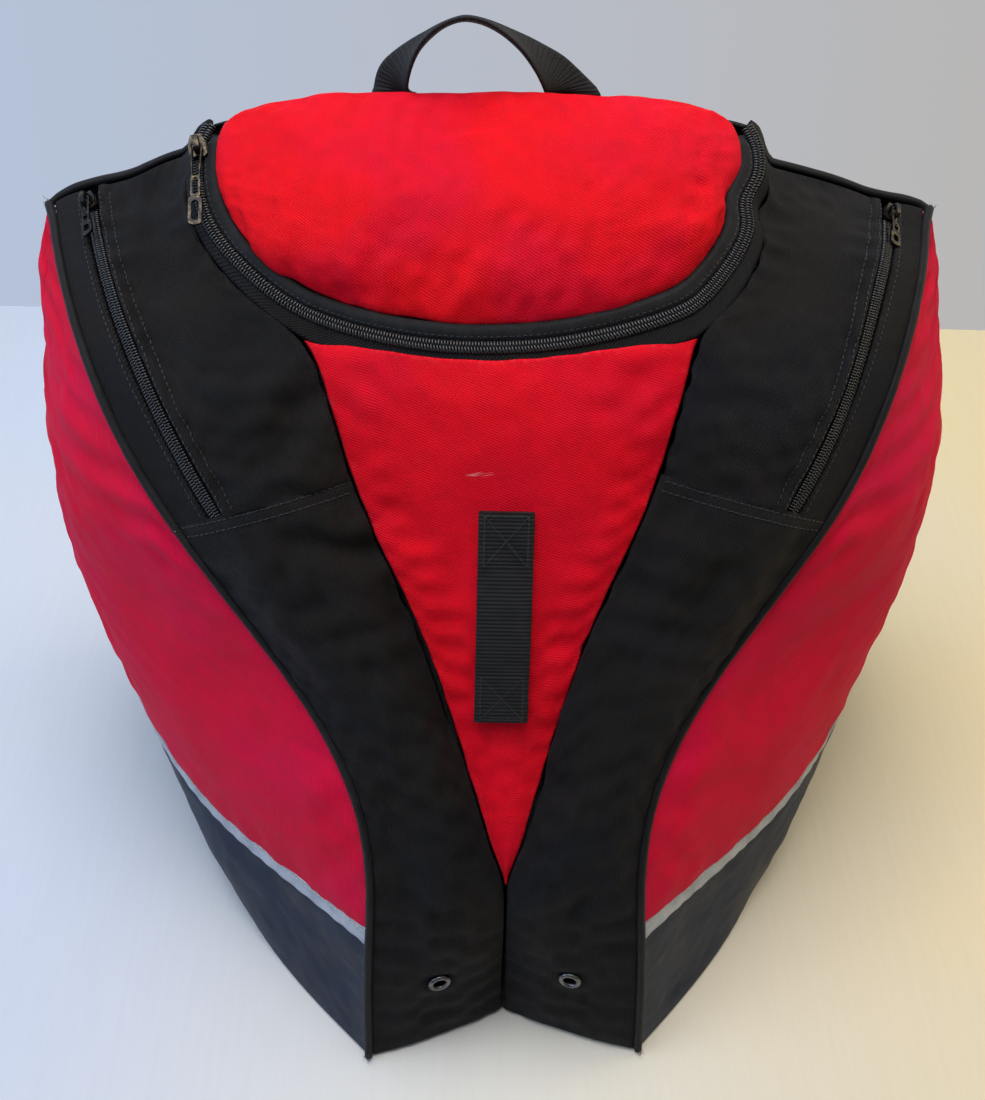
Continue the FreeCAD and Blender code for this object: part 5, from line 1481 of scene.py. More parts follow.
def sew_side(sign, name, seed, thread):
    """red side, coated lower side and the reflective strip over their joint"""
    inside = (sign * 110.0, 215.0, 130.0)
    upper = side_trim(lambda a, b: strip_v(b, 1.5) + (0.972 - strip_v(b, 1.5)) * a, sign)
    coarse = drape(grid(upper, 34, 34), inside, pressure=1.2, shrink=-0.004, gravity=0.6,
                   bend=2.0, cap=3.0)

    def side_shape(a, b, c, d, points):
        relief = 1.5 * noise(a / 62, c / 74, seed) + 0.7 * noise(a / 27 + c / 60, c / 33, seed + 3)
        relief += 0.35 * noise(a / 9, c / 14, seed + 5)
        return calm(30, a, b, c, d) * relief + folds(points, name + "_side")
    panel(name + "_side_fabric", coarse, inside, M["red_side"], "red_fabric", step=2.6,
          shape=side_shape, seed=seed, tuck=1.6, pucker=0.16, uv_turn=sign * 0.5,
          stands_for=[name + "_side_panel"])

    lower = side_trim(lambda a, b: V_BOTTOM + (strip_v(b, 1.0) - V_BOTTOM) * a, sign)

    def lower_shape(a, b, c, d, points):
        return calm(16, a, b, c, d) * (
            1.5 * noise(a / 48, c / 52, seed + 7) + 0.8 * noise(a / 22, c / 20 + a / 40, seed + 8)
            + 0.3 * noise(a / 8, c / 9, seed + 9))
    panel(name + "_lower_side_fabric", grid(lower, 20, 34), inside, M["coated"],
          "coated_fabric", step=2.8, shape=lower_shape, seed=seed + 1, tuck=1.0,
          tuck_edges="acd", pucker=0.12, stands_for=[name + "_lower_side_panel"])

    half = STRIP_WIDTH / 2
    strip = side_trim(lambda a, b: strip_v(b, -half) + (strip_v(b, half) - strip_v(b, -half)) * a,
                      sign, margin=1.0)

    def strip_shape(a, b, c, d, points):
        ripple = np.sin(c * 0.5 + 2 * noise(c / 25, 0, seed + 13)) * gauss(a, 3.0)
        return 0.35 + 0.21 * noise(c / 30, a / 9, seed + 12) + 0.25 * ripple
    panel(name + "_reflective_tape", grid(strip, 6, 40), inside, M["reflective"],
          "reflective_tape", step=1.5, thick=1.6, shape=strip_shape, seed=seed + 2, tuck=0.7,
          tuck_r=1.2, tuck_edges="ab", lift=0.55, rows=[("b", 2.2, (2, 2))], thread=thread,
          stands_for=[name + "_reflective_strip"])


def sew_toe(sign, name, seed, mat, thread):
    """front gusset below the cross seam, pierced for the eyelet"""
    inside = (sign * 110.0, 240.0, 100.0)
    coarse = drape(grid(sided(toe, sign), 40, 16), inside, pressure=0.8, shrink=-0.003,
                   gravity=0.5, bend=3.0, cap=3.0)
    toe_grids[name] = coarse
    eyelet, _ = eyelet_place(sign)
    away = np.linalg.norm(coarse - eyelet, axis=2)
    nearest = np.unravel_index(np.argmin(away), away.shape)
    eyelet_a, eyelet_b = [float(run[nearest]) for run in arcs(coarse)]

    def shape(a, b, c, d, points):
        away = np.linalg.norm(points - eyelet, axis=2)
        quiet = np.clip((away - 6) / 16, 0, 1)
        relief = calm(18, a, b, c, d) * quiet * (
            2.2 * noise(a / 70, c / 30, seed + 21) + 1.1 * noise(a / 34, c / 18, seed + 22)
            + 0.35 * noise(a / 10, c / 9, seed + 23))
        relief += 0.45 * gauss(away - 11, 7)
        relief -= 6.0 * (1 - np.clip((away - 3.6) / 1.2, 0, 1))
        return relief + folds(points, name + "_toe")
    panel(name + "_toe_fabric", coarse, inside, mat, "black_fabric", step=2.2, shape=shape,
          seed=seed + 4, tuck=1.8, pucker=0.22, lift=0.35, uv_turn=sign * 0.5,
          extra_a=[(eyelet_a, 9.0, 0.6)], extra_b=[(eyelet_b, 9.0, 0.6)],
          rows=[("b", 2.4, (3, 3)), ("b", 7.4, (3, 3))], thread=thread,
          stands_for=[name + "_toe_panel"])


def sew_shoulder(sign, name, seed, mat, thread):
    """panels each side of the zip, their zip edges folded into pleats"""
    inside = (sign * 110.0, 240.0, 100.0)
    outer = shoulder(lambda length, v: 1.6,
                     lambda length, v: ZIP_U * length + ZIP_DRIFT(v) - 4.6)

    def outer_shape(a, b, c, d, points):
        return calm(8, a, b) * 0.35 * noise(a / 26, c / 9, seed + 31) + 0.5 * gauss(d, 3.2)
    panel(name + "_shoulder_strip_fabric", grid(sided(outer, sign), 26, 5), inside, mat,
          "black_fabric", step=1.8, shape=outer_shape, seed=seed + 5, tuck=1.5, tuck_r=1.9,
          tuck_edges="acd", pucker=0.1, rows=[("d", 2.8, (4, 4))], thread=thread,
          stands_for=[name + "_shoulder_strip"])

    main = shoulder(lambda length, v: ZIP_U * length + ZIP_DRIFT(v) + 4.8,
                    lambda length, v: length - 0.2)
    coarse = drape(grid(sided(main, sign), 30, 18), inside, pressure=0.9, shrink=-0.006,
                   gravity=1.0, bend=1.5, cap=3.0)

    def main_shape(a, b, c, d, points):
        relief = calm(18, a, b, c - 6, d) * (
            1.9 * noise(a / 52 + c / 80, c / 36, seed + 41)
            + 0.9 * noise(a / 26, c / 20 + a / 50, seed + 42)
            + 0.3 * noise(a / 9, c / 8, seed + 43))
        # the folded edge stands higher over the zip
        relief += 0.9 * (1 - 1 / (1 + np.exp(-(c - 5.0) * 1.6)))
        return relief + folds(points, name + "_shoulder")
    panel(name + "_shoulder_fabric", coarse, inside, mat, "black_fabric", step=2.2,
          shape=main_shape, seed=seed + 6, tuck=1.6, tuck_r=2.0, tuck_edges="acd", pucker=0.18,
          uv_turn=sign * 0.5, extra_b=[(5.0, 2.0, 0.8)],
          rows=[("c", 2.0, (4, 4)), ("c", 7.2, (4, 4))], thread=thread,
          stands_for=[name + "_shoulder_panel"])


for sign, name in SIDES:
    seed = 11 if sign < 0 else 23
    shell_thread = Bucket(name + "_shell_stitching", M["thread"], "bag", "black_fabric")
    strip_thread = Bucket(name + "_strip_stitching", M["thread_grey"], "bag", "reflective_tape")
    sew_side(sign, name, seed, strip_thread)
    sew_toe(sign, name, seed, M["black_" + name], shell_thread)
    sew_shoulder(sign, name, seed, M["black_" + name], shell_thread)


# ------------------------------------------------------------------ piping of the compartments
def piping(sign, name):
    """cord up the outer seam, over the back corner and down the back seam"""
    path = [OUTER_SEAM(v) for v in [0.004] + [0.02 + 0.02 * k for k in range(47)]]
    path += [OUTER_SEAM(0.972), (-238.6, 322.0, 368.6), (-240.2, 325.4, 362.5),
             (-241.6, 325.3, 348.0)]
    path += [BACK_SEAM(BACK_SEAM.solve(2, z))
             for z in (320.0, 280.0, 240.0, 200.0, 160.0, 120.0, 80.0, 40.0, 3.0)]
    path = np.array(path, float)
    path[:, 0] *= -sign
    points, run = resample(path, 2.6)
    out = points - np.array([sign * 110.0, 230.0, 150.0])
    out /= np.linalg.norm(out, axis=1, keepdims=True)
    points = points + out * (0.25 + 0.25 * noise(run / 40, 0, 51 + sign)[:, None])
    cord = swept(points, ring(2.35, 14), scale=1 + 0.05 * noise(run / 11, 4, 61))
    obj = body_object(name + "_piping_cord", cord, M["piping"], "piping", "bag")
    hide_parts(name + "_piping", name + "_back_piping")


for sign, name in SIDES:
    piping(sign, name)


# ------------------------------------------------------------------ front panel
def front_shape(a, b, c, d, points):
    relief = (1.1 * noise(a / 46, c / 60, 71) + 0.5 * noise(a / 20, c / 24, 72)
              + 0.22 * noise(a / 8, c / 9, 73))
    # flatter down the middle, under the webbing loop
    x, z = points[..., 0], points[..., 2]
    flat = 1.0 - (0.75 * np.exp(-(x / 17.0) ** 4) * np.clip((z - 186.0) / 14.0, 0, 1)
                  * np.clip((322.0 - z) / 14.0, 0, 1))
    return (calm(22, a, b, c, d) * relief + folds(points, "front")) * flat


front_inside = (0, 280.0, 180.0)
flat_front = grid(front_trimmed, 22, 40, (-1, 1))
draped = drape(flat_front, front_inside, pressure=0.8, shrink=-0.003, gravity=0.5, bend=2.0,
               cap=2.0)
# stays taut towards the tip
taut = flat_front + (draped - flat_front) * ease((flat_front[..., 2:3] - 130.0) / 90.0)
panel("front_panel_fabric", taut, front_inside, M["red_front"], "red_fabric", step=2.4,
      shape=front_shape, seed=75, tuck=1.2, tuck_r=2.0, pucker=0.2, uv_turn=0.12,
      stands_for=["front_panel"])

# ------------------------------------------------------------------ lid
LID_INSIDE = (0, 290.0, 330.0)
LID_COLUMNS = 36


def lid_shape(a, b, c, d, points):
    relief = (1.3 * noise(a / 70, c / 46, 81) + 0.6 * noise(a / 30, c / 22, 82)
              + 0.25 * noise(a / 10, c / 9, 83))
    return calm(24, a, b, c, d + 4) * relief + folds(points, "lid")


coarse = drape(grid(lid_full, 46, LID_COLUMNS, (-1, 1)), LID_INSIDE, pressure=2.2,
               shrink=-0.010, gravity=0.9, bend=2.5, cap=6.0, frames=20,
               pin_from=int(0.9 * LID_COLUMNS))
lid_thread = Bucket("lid_stitching", M["thread"], "lid", "zip_tape")
# one skin from the front rim over the fold to the back panel
lid = panel("lid_fabric", coarse, LID_INSIDE, M["red_lid"], "red_fabric", ride=None, step=2.5,
            shape=lid_shape, seed=85, tuck=0.5, tuck_r=2.0, tuck_edges="abc", pucker=0.22,
            stands_for=["lid_panel", "lid_fold_band"])
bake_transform(lid)

ZIP_STATIONS = np.linspace(0.0, 1.0, 220)
ZIP_UV_LENGTH = 560
ZIP_UPS = np.tile(np.array(LID_N), (len(ZIP_STATIONS), 1))


def zip_line(out, up):
    return np.array([coil_at(q, out, up) for q in ZIP_STATIONS])


def zip_tape(name, mat, section, around, jitter, angle, stands_for=()):
    """closed tape along the lid zip; section is (out, up), around its second uv coordinate"""
    verts, uv = [], []
    for q, wobble in zip(ZIP_STATIONS, jitter):
        for (out, up), v in zip(section, around):
            verts.append(coil_at(q, out + wobble * 0.6, up + wobble * 0.5))
            uv.append((q * ZIP_UV_LENGTH, v))
    rows, sides = len(ZIP_STATIONS), len(section)
    faces = tube_faces(rows, sides, caps=False)
    faces += [tuple(range(sides)),
              tuple((rows - 1) * sides + k for k in range(sides - 1, -1, -1))]
    body_object(name, (verts, faces, uv), mat, "zip_tape", "lid", angle, stands_for)


# folded tape round the edge of the lid
BINDING_SECTION = [(-3.2, -0.9), (-3.1, 0.6), (-3.9, 1.7), (-5.2, 2.7), (-6.8, 3.5), (-8.6, 3.9),
                   (-10.2, 3.6), (-11.3, 2.4), (-11.6, 0.6), (-9.0, -1.3), (-6.0, -1.6),
                   (-4.2, -1.5)]
zip_tape("lid_binding_tape", M["binding"], BINDING_SECTION, [1.6 * k for k in range(12)],
         [0.22 * float(noise(q * 60, 1.5, 91)) for q in ZIP_STATIONS], angle=60,
         stands_for=["lid_zip_binding"])
stitch(lid_thread, zip_line(-4.6, 1.95), ZIP_UPS, length=2.3, seed=5)

# ------------------------------------------------------------------ coil zips
COIL_PITCH = 1.52


def tooth(bucket, centre, along, out, up, length=3.1, rise=1.15):
    """one half element: from the centre line outwards, looping over the tape edge"""
    # distance out, up and along
    stations = ((-0.18, rise * 0.55, 0.0), (length * 0.22, rise, 0.07),
                (length * 0.6, rise * 1.02, 0.21), (length * 0.93, rise * 0.55, 0.3325),
                (length, -0.1, 0.35))
    points = [centre + out * a + up * b + along * c for a, b, c in stations]
    bucket.add(*swept(points, ring(0.52, 7), up=up, scale=[1.15, 1.0, 0.95, 0.95, 0.9]))


def lid_coils():
    """lid half and body half, staggered by half a pitch"""
    halves = (Bucket("lid_coil_elements", M["coil"], "lid", "zip_coil"),
              Bucket("body_coil_elements", M["coil"], "bag", "zip_coil"))
    stations = np.linspace(0, 1, 800)
    run = run_length([COIL_LINE(q) for q in stations])
    up = np.array(LID_N)
    k = 0
    while (k + 0.5) * COIL_PITCH < run[-1]:
        for half, bucket in enumerate(halves):
            q = float(np.interp((k + 0.5 * half) * COIL_PITCH, run, stations))
            centre, outward, tangent = coil_frame(q)
            out = np.array(outward) * (1 if half else -1)
            tooth(bucket, np.array(centre) + up * 0.25, np.array(tangent), out, up)
        k += 1
    halves[0].done("lid_zip_coil")
    halves[1].done("body_zip_coil")


lid_coils()
INNER_TAPE_SECTION = [(-0.3, 0.1), (-2.35, 0.2), (-4.4, 0.1), (-4.4, -0.8), (-2.35, -0.8),
                      (-0.3, -0.8)]
zip_tape("lid_inner_tape", M["zip_tape"], INNER_TAPE_SECTION,
         [out for out, _ in INNER_TAPE_SECTION], np.zeros(len(ZIP_STATIONS)), angle=50)


def body_tape(q, k):
    """from the coil out to the shell seam"""
    middle = coil_at(q, 4.2, -0.15)
    if k <= 0.35:
        return vmix(coil_at(q, 0.3, 0.05), middle, k / 0.35)
    return vmix(middle, TAPE_EDGE(q), (k - 0.35) / 0.65)


def body_tape_shape(a, b, c, d, points):
    return 0.5 * gauss(d - 2.6, 1.6) + 0.2 * noise(a / 16, c / 5, 93)


body_thread = Bucket("body_tape_stitching", M["thread"], "bag", "zip_tape")
panel("body_zip_fabric_tape", grid(body_tape, 70, 8), LID_INSIDE, M["black_right"], "zip_tape",
      step=2.2, thick=0.9, tuck=0.9, tuck_edges="d", tuck_r=1.6, shape=body_tape_shape,
      stands_for=["body_zip_tape"])
for out, bucket in ((-2.6, lid_thread), (2.6, body_thread)):
    stitch(bucket, zip_line(out, 1.05), ZIP_UPS, length=1.9, gap=1.1, radius=0.22, seed=17)

ZIP_DEPTH = -3.1                      # side zip tape below the circle through the shoulder


class ZipArc:
    """circle through three points of a side zip, with a tilted frame along it"""

    def __init__(self, sign):
        surface = sided(gusset, sign)
        start, middle, end = [surface(v, ZIP_U) for v in (0.972, 0.82, V_CROSS + 0.012)]
        ab, ac = vsub(middle, start), vsub(end, start)
        axis = vcross(ab, ac)
        offset = vadd(vmul(vcross(axis, ab), vdot(ac, ac)), vmul(vcross(ac, axis), vdot(ab, ab)))
        offset = vmul(offset, 1.0 / (2 * vdot(axis, axis)))
        self.centre = vadd(start, offset)
        self.radius = vlen(offset)
        self.axis = vunit(axis)
        self.first = vunit(vsub(start, self.centre))
        self.angle = self.measure(end)
        if self.angle < 0:
            self.axis = vmul(self.axis, -1)
            self.angle = self.measure(end)
        normal = numeric_normal(surface, 0.82, ZIP_U)
        if normal[2] < 0:
            normal = vmul(normal, -1)
        radial = vunit(vsub(middle, self.centre))
        self.tilt = math.atan2(vdot(normal, self.axis), vdot(normal, radial))

    def measure(self, point):
        self.second = vcross(self.axis, self.first)
        arm = vsub(point, self.centre)
        return math.atan2(vdot(arm, self.second), vdot(arm, self.first))

    def axes(self, angle):
        """radial, tangent, cloth normal and direction across the zip"""
        cos, sin = math.cos(angle), math.sin(angle)
        first, second, axis = np.array(self.first), np.array(self.second), np.array(self.axis)
        radial = first * cos + second * sin
        tangent = first * -sin + second * cos
        normal = radial * math.cos(self.tilt) + axis * math.sin(self.tilt)
        across = radial * -math.sin(self.tilt) + axis * math.cos(self.tilt)
        return radial, tangent, normal, across

    def point(self, angle, out, up):
        radial, _, normal, across = self.axes(angle)
        return np.array(self.centre) + radial * self.radius + across * out + normal * up


def side_zip(sign, name, arc):
    start, end = -3.5 / arc.radius, arc.angle + 3.0 / arc.radius
    tape = grid(lambda t, w: arc.point(t, w, ZIP_DEPTH + 0.25 + 0.5 * (abs(w) / 8.0) ** 2),
                60, 7, (start, end), (-8, 8))
    thread = Bucket(name + "_zip_stitching", M["thread"], "bag", "zip_tape")
    panel(name + "_zip_fabric_tape", tape, (sign * 110.0, 240.0, 100.0), M["zip_tape"],
          "zip_tape", step=2.2, thick=0.9, tuck=0.1, stands_for=[name + "_side_zip_tape"])
    coil = Bucket(name + "_coil_elements", M["coil"], "bag", "zip_coil")
    k = 0
    while k * COIL_PITCH / arc.radius <= end - start:
        for half in (0, 1):
            angle = start + (k * COIL_PITCH + 0.5 * COIL_PITCH * half) / arc.radius
            _, tangent, normal, across = arc.axes(angle)
            tooth(coil, arc.point(angle, 0, ZIP_DEPTH + 1.15), tangent,
                  across * (1 if half else -1), normal, length=3.2, rise=1.3)
        k += 1
    coil.done(name + "_side_zip_coil")
    angles = np.linspace(start, end, 60)
    normals = np.array([arc.axes(t)[2] for t in angles])
    for out in (-2.5, 2.5):
        line = np.array([arc.point(t, out, ZIP_DEPTH + 2.25) for t in angles])
        stitch(thread, line, normals, length=1.9, gap=1.1, radius=0.22, seed=19)


zip_arcs = {name: ZipArc(sign) for sign, name in SIDES}
for sign, name in SIDES:
    side_zip(sign, name, zip_arcs[name])


# ------------------------------------------------------------------ hard parts
def solid_object(name, build, mat, origin, x_dir, z_dir, slot, ride, stands_for, bevel=0):
    """build(bm) fills a bmesh in local mm, set at the origin with the given x and z"""
    bm = bmesh.new()
    build(bm)
    bmesh.ops.recalc_face_normals(bm, faces=bm.faces)
    origin = np.array(origin, float)
    x_dir = np.array(x_dir, float)
    x_dir /= np.linalg.norm(x_dir)
    z_dir = np.array(z_dir, float)
    z_dir -= x_dir * np.dot(z_dir, x_dir)
    z_dir /= np.linalg.norm(z_dir)
    y_dir = np.cross(z_dir, x_dir)
    lean = slump(origin) - origin
    for v in bm.verts:
        point = origin + x_dir * v.co.x + y_dir * v.co.y + z_dir * v.co.z
        v.co = Vector(to_row(point + lean))
    mesh = bpy.data.meshes.new(name)
    bm.to_mesh(mesh)
    bm.free()
    obj = link_object(name, mesh)
    mesh.materials.append(mat)
    shade_smooth(mesh)
    if bevel:
        rounding = obj.modifiers.new("bevel", "BEVEL")
        rounding.width = bevel * 0.001
        rounding.segments = 3
        rounding.limit_method = "ANGLE"
        rounding.angle_limit = math.radians(35)
        rounding.harden_normals = True
    place(obj, slot, ride, stands_for)


def add_body(bm, points, faces):
    verts = [bm.verts.new(tuple(p)) for p in points]
    for face in faces:
        bm.faces.new([verts[i] for i in face])


def prism(bm, outline, z0, z1, hole=None):
    """extruded outline; a hole has as many points as the outline"""
    n = len(outline)
    levels = [(x, y, z) for z in (z0, z1) for x, y in outline]
    if hole is None:
        faces = [tuple(range(n - 1, -1, -1)), tuple(range(n, 2 * n))]
        faces += [(k, (k + 1) % n, n + (k + 1) % n, n + k) for k in range(n)]
        add_body(bm, levels, faces)
        return
    levels += [(x, y, z) for z in (z0, z1) for x, y in hole]
    faces = []
    for k in range(n):
        j = (k + 1) % n
        faces += [(k, j, n + j, n + k), (2 * n + j, 2 * n + k, 3 * n + k, 3 * n + j),
                  (n + k, n + j, 3 * n + j, 3 * n + k), (j, k, 2 * n + k, 2 * n + j)]
    add_body(bm, levels, faces)


def slider(bm):
    """slider body: two plates, side flanges turned down over the coil, and an arch on top"""
    length, width = 6.5, 4.5
    # as fractions of length and width
    outline = [(-1, -0.55), (-0.75, -0.72), (-0.2, -1), (0.72, -1), (1, -0.62), (0.82, 0),
               (1, 0.62), (0.72, 1), (-0.2, 1), (-0.75, 0.72), (-1, 0.55)]
    outline = [(x * length, y * width) for x, y in outline]
    prism(bm, outline, 0.9, 2.3)
    prism(bm, [(x * 0.97, y * 0.93) for x, y in outline], -0.4, 0.9)
    for s in (-1, 1):
        flange = [(-2.2, s * 4.0), (length * 0.7, s * 4.0), (length * 0.7, s * 4.75),
                  (-2.2, s * 4.75)]
        prism(bm, flange[::s], -1.7, 1.2)
    # (x, z) of the arch
    outer = [(-4.6, 1.9), (-4.2, 5.0), (-3.4, 6.2), (-2.2, 6.55), (2.2, 6.55), (3.4, 6.2),
             (4.2, 5.0), (4.6, 1.9)]
    inner = [(-3.2, 1.9), (-2.9, 4.5), (-2.0, 5.15), (2.0, 5.15), (2.9, 4.5), (3.2, 1.9)]
    outer, inner = [[[bm.verts.new((x, y, z)) for x, z in line] for y in (-1.5, 1.5)]
                    for line in (outer, inner)]
    facing = [0, 1, 2, 2, 3, 3, 4, 5]  # inner point opposite each outer point
    for top, under in zip(outer, inner):
        for k in range(7):
            i, j = facing[k], facing[k + 1]
            corners = (under[i],) if i == j else (under[j], under[i])
            bm.faces.new((top[k], top[k + 1]) + corners)
    for k in range(7):
        bm.faces.new((outer[0][k], outer[0][k + 1], outer[1][k + 1], outer[1][k]))
    for k in range(5):
        bm.faces.new((inner[0][k + 1], inner[0][k], inner[1][k], inner[1][k + 1]))
    bm.faces.new((outer[0][0], outer[1][0], inner[1][0], inner[0][0]))
    bm.faces.new((outer[0][7], inner[0][5], inner[1][5], outer[1][7]))


def rounded_loop(x0, x1, half0, half1, bulge0=1.0, bulge1=1.0, steps=6):
    """closed outline with rounded ends: half widths and how far each end bulges"""
    start, end = half0 * bulge0, half1 * bulge1
    outline = []
    for k in range(steps + 1):
        t = math.pi / 2 + math.pi * k / steps
        outline.append((x0 + start + start * math.cos(t), half0 * math.sin(t)))
    for k in range(steps + 1):
        t = -math.pi / 2 + math.pi * k / steps
        outline.append((x1 - end + end * math.cos(t), half1 * math.sin(t)))
    return outline


def wire_loop(bm, outline, radius, sides=8):
    points = [(x, y, 0.0) for x, y in outline]
    verts, _, _ = swept(points + points[:2], ring(radius, sides), up=(0, 0, 1), caps=False)
    count = len(points) * sides
    faces = [tuple(i % count for i in face)
             for face in tube_faces(len(points) + 1, sides, caps=False)]
    add_body(bm, verts[:count], faces)


def pull(length):
    """zip pull: a wire loop holding two joined plates, each with a slot"""
    def plate(bm, x0, x1, half, slot_x0, slot_x1, slot_half):
        prism(bm, rounded_loop(x0, x1, half, half, 0.75, 0.55, steps=8), -0.62, 0.62,
              rounded_loop(slot_x0, slot_x1, slot_half, slot_half, 0.9, 0.8, steps=8))

    def build(bm):
        split = length * 0.42
        wire_loop(bm, rounded_loop(-0.9, split + 1.6, 2.6, 1.7), 0.62)
        head = split - 0.9
        middle = head + (length - head) * 0.42
        plate(bm, head, middle + 0.6, 2.5, head + 1.3, middle - 1.0, 1.25)
        plate(bm, middle - 0.6, length, 3.3, middle + 2.4, length - 2.6, 1.7)
    return build


COIL_HEIGHT = 2.5
PULL_RISE = 4.1                       # pull above the foot of its slider


def zip_slider(body_name, pull_name, node, pull_node, foot, along, up, pull_dir, length):
    solid_object(body_name, slider, M["metal"], foot, along, up, "zip_metal", node, [node],
                 bevel=0.3)
    hinge = np.array(foot) + np.array(up) * PULL_RISE
    solid_object(pull_name, pull(length), M["metal"], hinge, pull_dir, up, "zip_metal",
                 pull_node, [pull_node], bevel=0.18)


for sign, name in SIDES:
    arc = zip_arcs[name]
    _, tangent, normal, _ = arc.axes(0.0)
    foot = arc.point(0.0, 0.0, ZIP_DEPTH + COIL_HEIGHT + 0.6)
    zip_slider(name + "_side_slider_body", name + "_side_pull_tab", name + "_side_slider",
               name + "_side_pull", foot, tangent, normal, tangent, length=27.0)

# the lid slider stands at the left rear end and heads forwards
slider_at, ahead_at = [COIL_LINE(bisect(lambda q: COIL_LINE(q)[1] > y, 0.0, 0.25, 50))
                       for y in (306.0, 268.0)]
travel = vunit(vsub(ahead_at, slider_at))
sideways = vcross(LID_N, travel)
if sideways[0] > 0:
    sideways = vmul(sideways, -1)
zip_slider("lid_slider_body", "lid_pull_tab", "lid_slider", "lid_pull",
           vadd(slider_at, vmul(LID_N, COIL_HEIGHT - 0.6)), travel, LID_N,
           vunit(vadd(travel, vmul(sideways, 0.16))), length=44.0)

# (radius, z) of the rolled flange and barrel
EYELET_PROFILE = [(3.6, -4.4), (3.6, 0.6), (3.75, 1.3), (4.3, 1.85), (5.1, 2.0), (5.9, 1.75),
                  (6.5, 1.2), (6.65, 0.5), (6.3, 0.15), (4.7, 0.2), (4.6, -4.4)]


def eyelet_ring(bm):
    turns, sides = 40, len(EYELET_PROFILE)
    angles = [2 * math.pi * k / turns for k in range(turns)]
    points = [(r * math.cos(t), r * math.sin(t), z) for t in angles for r, z in EYELET_PROFILE]
    faces = []
    for k in range(turns):
        a, b = k * sides, (k + 1) % turns * sides
        for j in range(sides):
            j2 = (j + 1) % sides
            faces.append((a + j, b + j, b + j2, a + j2))
    add_body(bm, points, faces)


for sign, name in SIDES:
    centre, normal = eyelet_place(sign)
    cloth = toe_grids[name].reshape(-1, 3)
    cloth = cloth[np.argmin(((cloth - centre) ** 2).sum(1))]
    # lifted to where the draped cloth came to rest
    centre = centre + normal * (max(0.0, float((cloth - centre) @ normal)) + 1.4)
    solid_object(name + "_eyelet_ring", eyelet_ring, M["eyelet"], centre,
                 np.cross(normal, [0, 0, 1]), normal, "eyelet_metal", "bag", [name + "_eyelet"])

# ------------------------------------------------------------------ webbing loop on the front
LOOP_Z = 249.0                        # height of its middle
LOOP_UP, LOOP_DOWN = 57.5, 52.0       # reach along the panel from the middle
LOOP_STATIONS = np.linspace(-1.0, 1.0, 61)


def loop_line():
    """points and normals down the middle of the front panel, station -1 at the bottom"""
    middle = 0.5
    for _ in range(40):
        middle += 0.005 if front_v(0.0, middle)[2] < LOOP_Z else -0.005
    above, below = front_v(0.0, middle + 0.01), front_v(0.0, middle - 0.01)
    reach = math.hypot(above[1] - below[1], above[2] - below[2])
    points, normals = [], []
    for k in LOOP_STATIONS:
        g = middle + k * (LOOP_UP if k > 0 else LOOP_DOWN) / reach * 0.02
        normal = numeric_normal(front_v, 0.0, g, low=(-1, 0))
        if normal[1] > 0:
            normal = vmul(normal, -1)
        slack = 1.6 * max(0.0, 1 - (abs(k) / 0.5) ** 2)
        points.append(vadd(front_v(0.0, g), vmul(normal, 5.5 + slack)))
        normals.append(normal)
    points = np.array(points)
    points[:, 0] -= 1.5 - 1.5 * LOOP_STATIONS
    return points, np.array(normals)


loop_points, loop_normals = loop_line()
body_object("front_webbing_band", swept(loop_points, band(27.6, 1.9, 15), up=loop_normals),
            M["webbing"], "webbing", "bag", 55, ["front_webbing_loop"])
# turned-under ends
for end, part in (("low", slice(None, 16)), ("high", slice(-16, None))):
    normals = loop_normals[part]
    turn = swept(loop_points[part] - normals * 2.7, band(27.0, 3.4, 11), up=normals)
    body_object("front_webbing_turn_" + end, turn, M["webbing"], "webbing", "bag", 55)

loop_thread = Bucket("front_loop_stitching", M["thread"], "bag", "webbing")


def on_loop(k, x):
    """point on top of the loop, x across it, and its normal"""
    def at(station, values):
        return interpolate(station, LOOP_STATIONS, values)
    normal = at(k, loop_normals)
    tangent = at(min(1, k + 0.02), loop_points) - at(max(-1, k - 0.02), loop_points)
    across = np.cross(tangent / np.linalg.norm(tangent), normal)
    return at(k, loop_points) + across * x + normal * 0.95, normal


def loop_row(corners, seed):
    places = []
    for (k0, x0), (k1, x1) in zip(corners[:-1], corners[1:]):
        for t in np.linspace(0, 1, 8)[:-1]:
            places.append(on_loop(k0 + (k1 - k0) * t, x0 + (x1 - x0) * t))
    places.append(on_loop(*corners[-1]))
    points, normals = zip(*places)
    stitch(loop_thread, points, normals, length=2.2, gap=0.8, lift=0.16, seed=seed)


ROW_X = 10.8
for k0, k1 in ((-0.97, -0.54), (0.97, 0.52)):
    loop_row([(k0, -ROW_X), (k0, ROW_X), (k1, ROW_X), (k1, -ROW_X), (k0, -ROW_X), (k1, ROW_X)],
             seed=31)
    loop_row([(k0, ROW_X), (k1, -ROW_X)], seed=33)


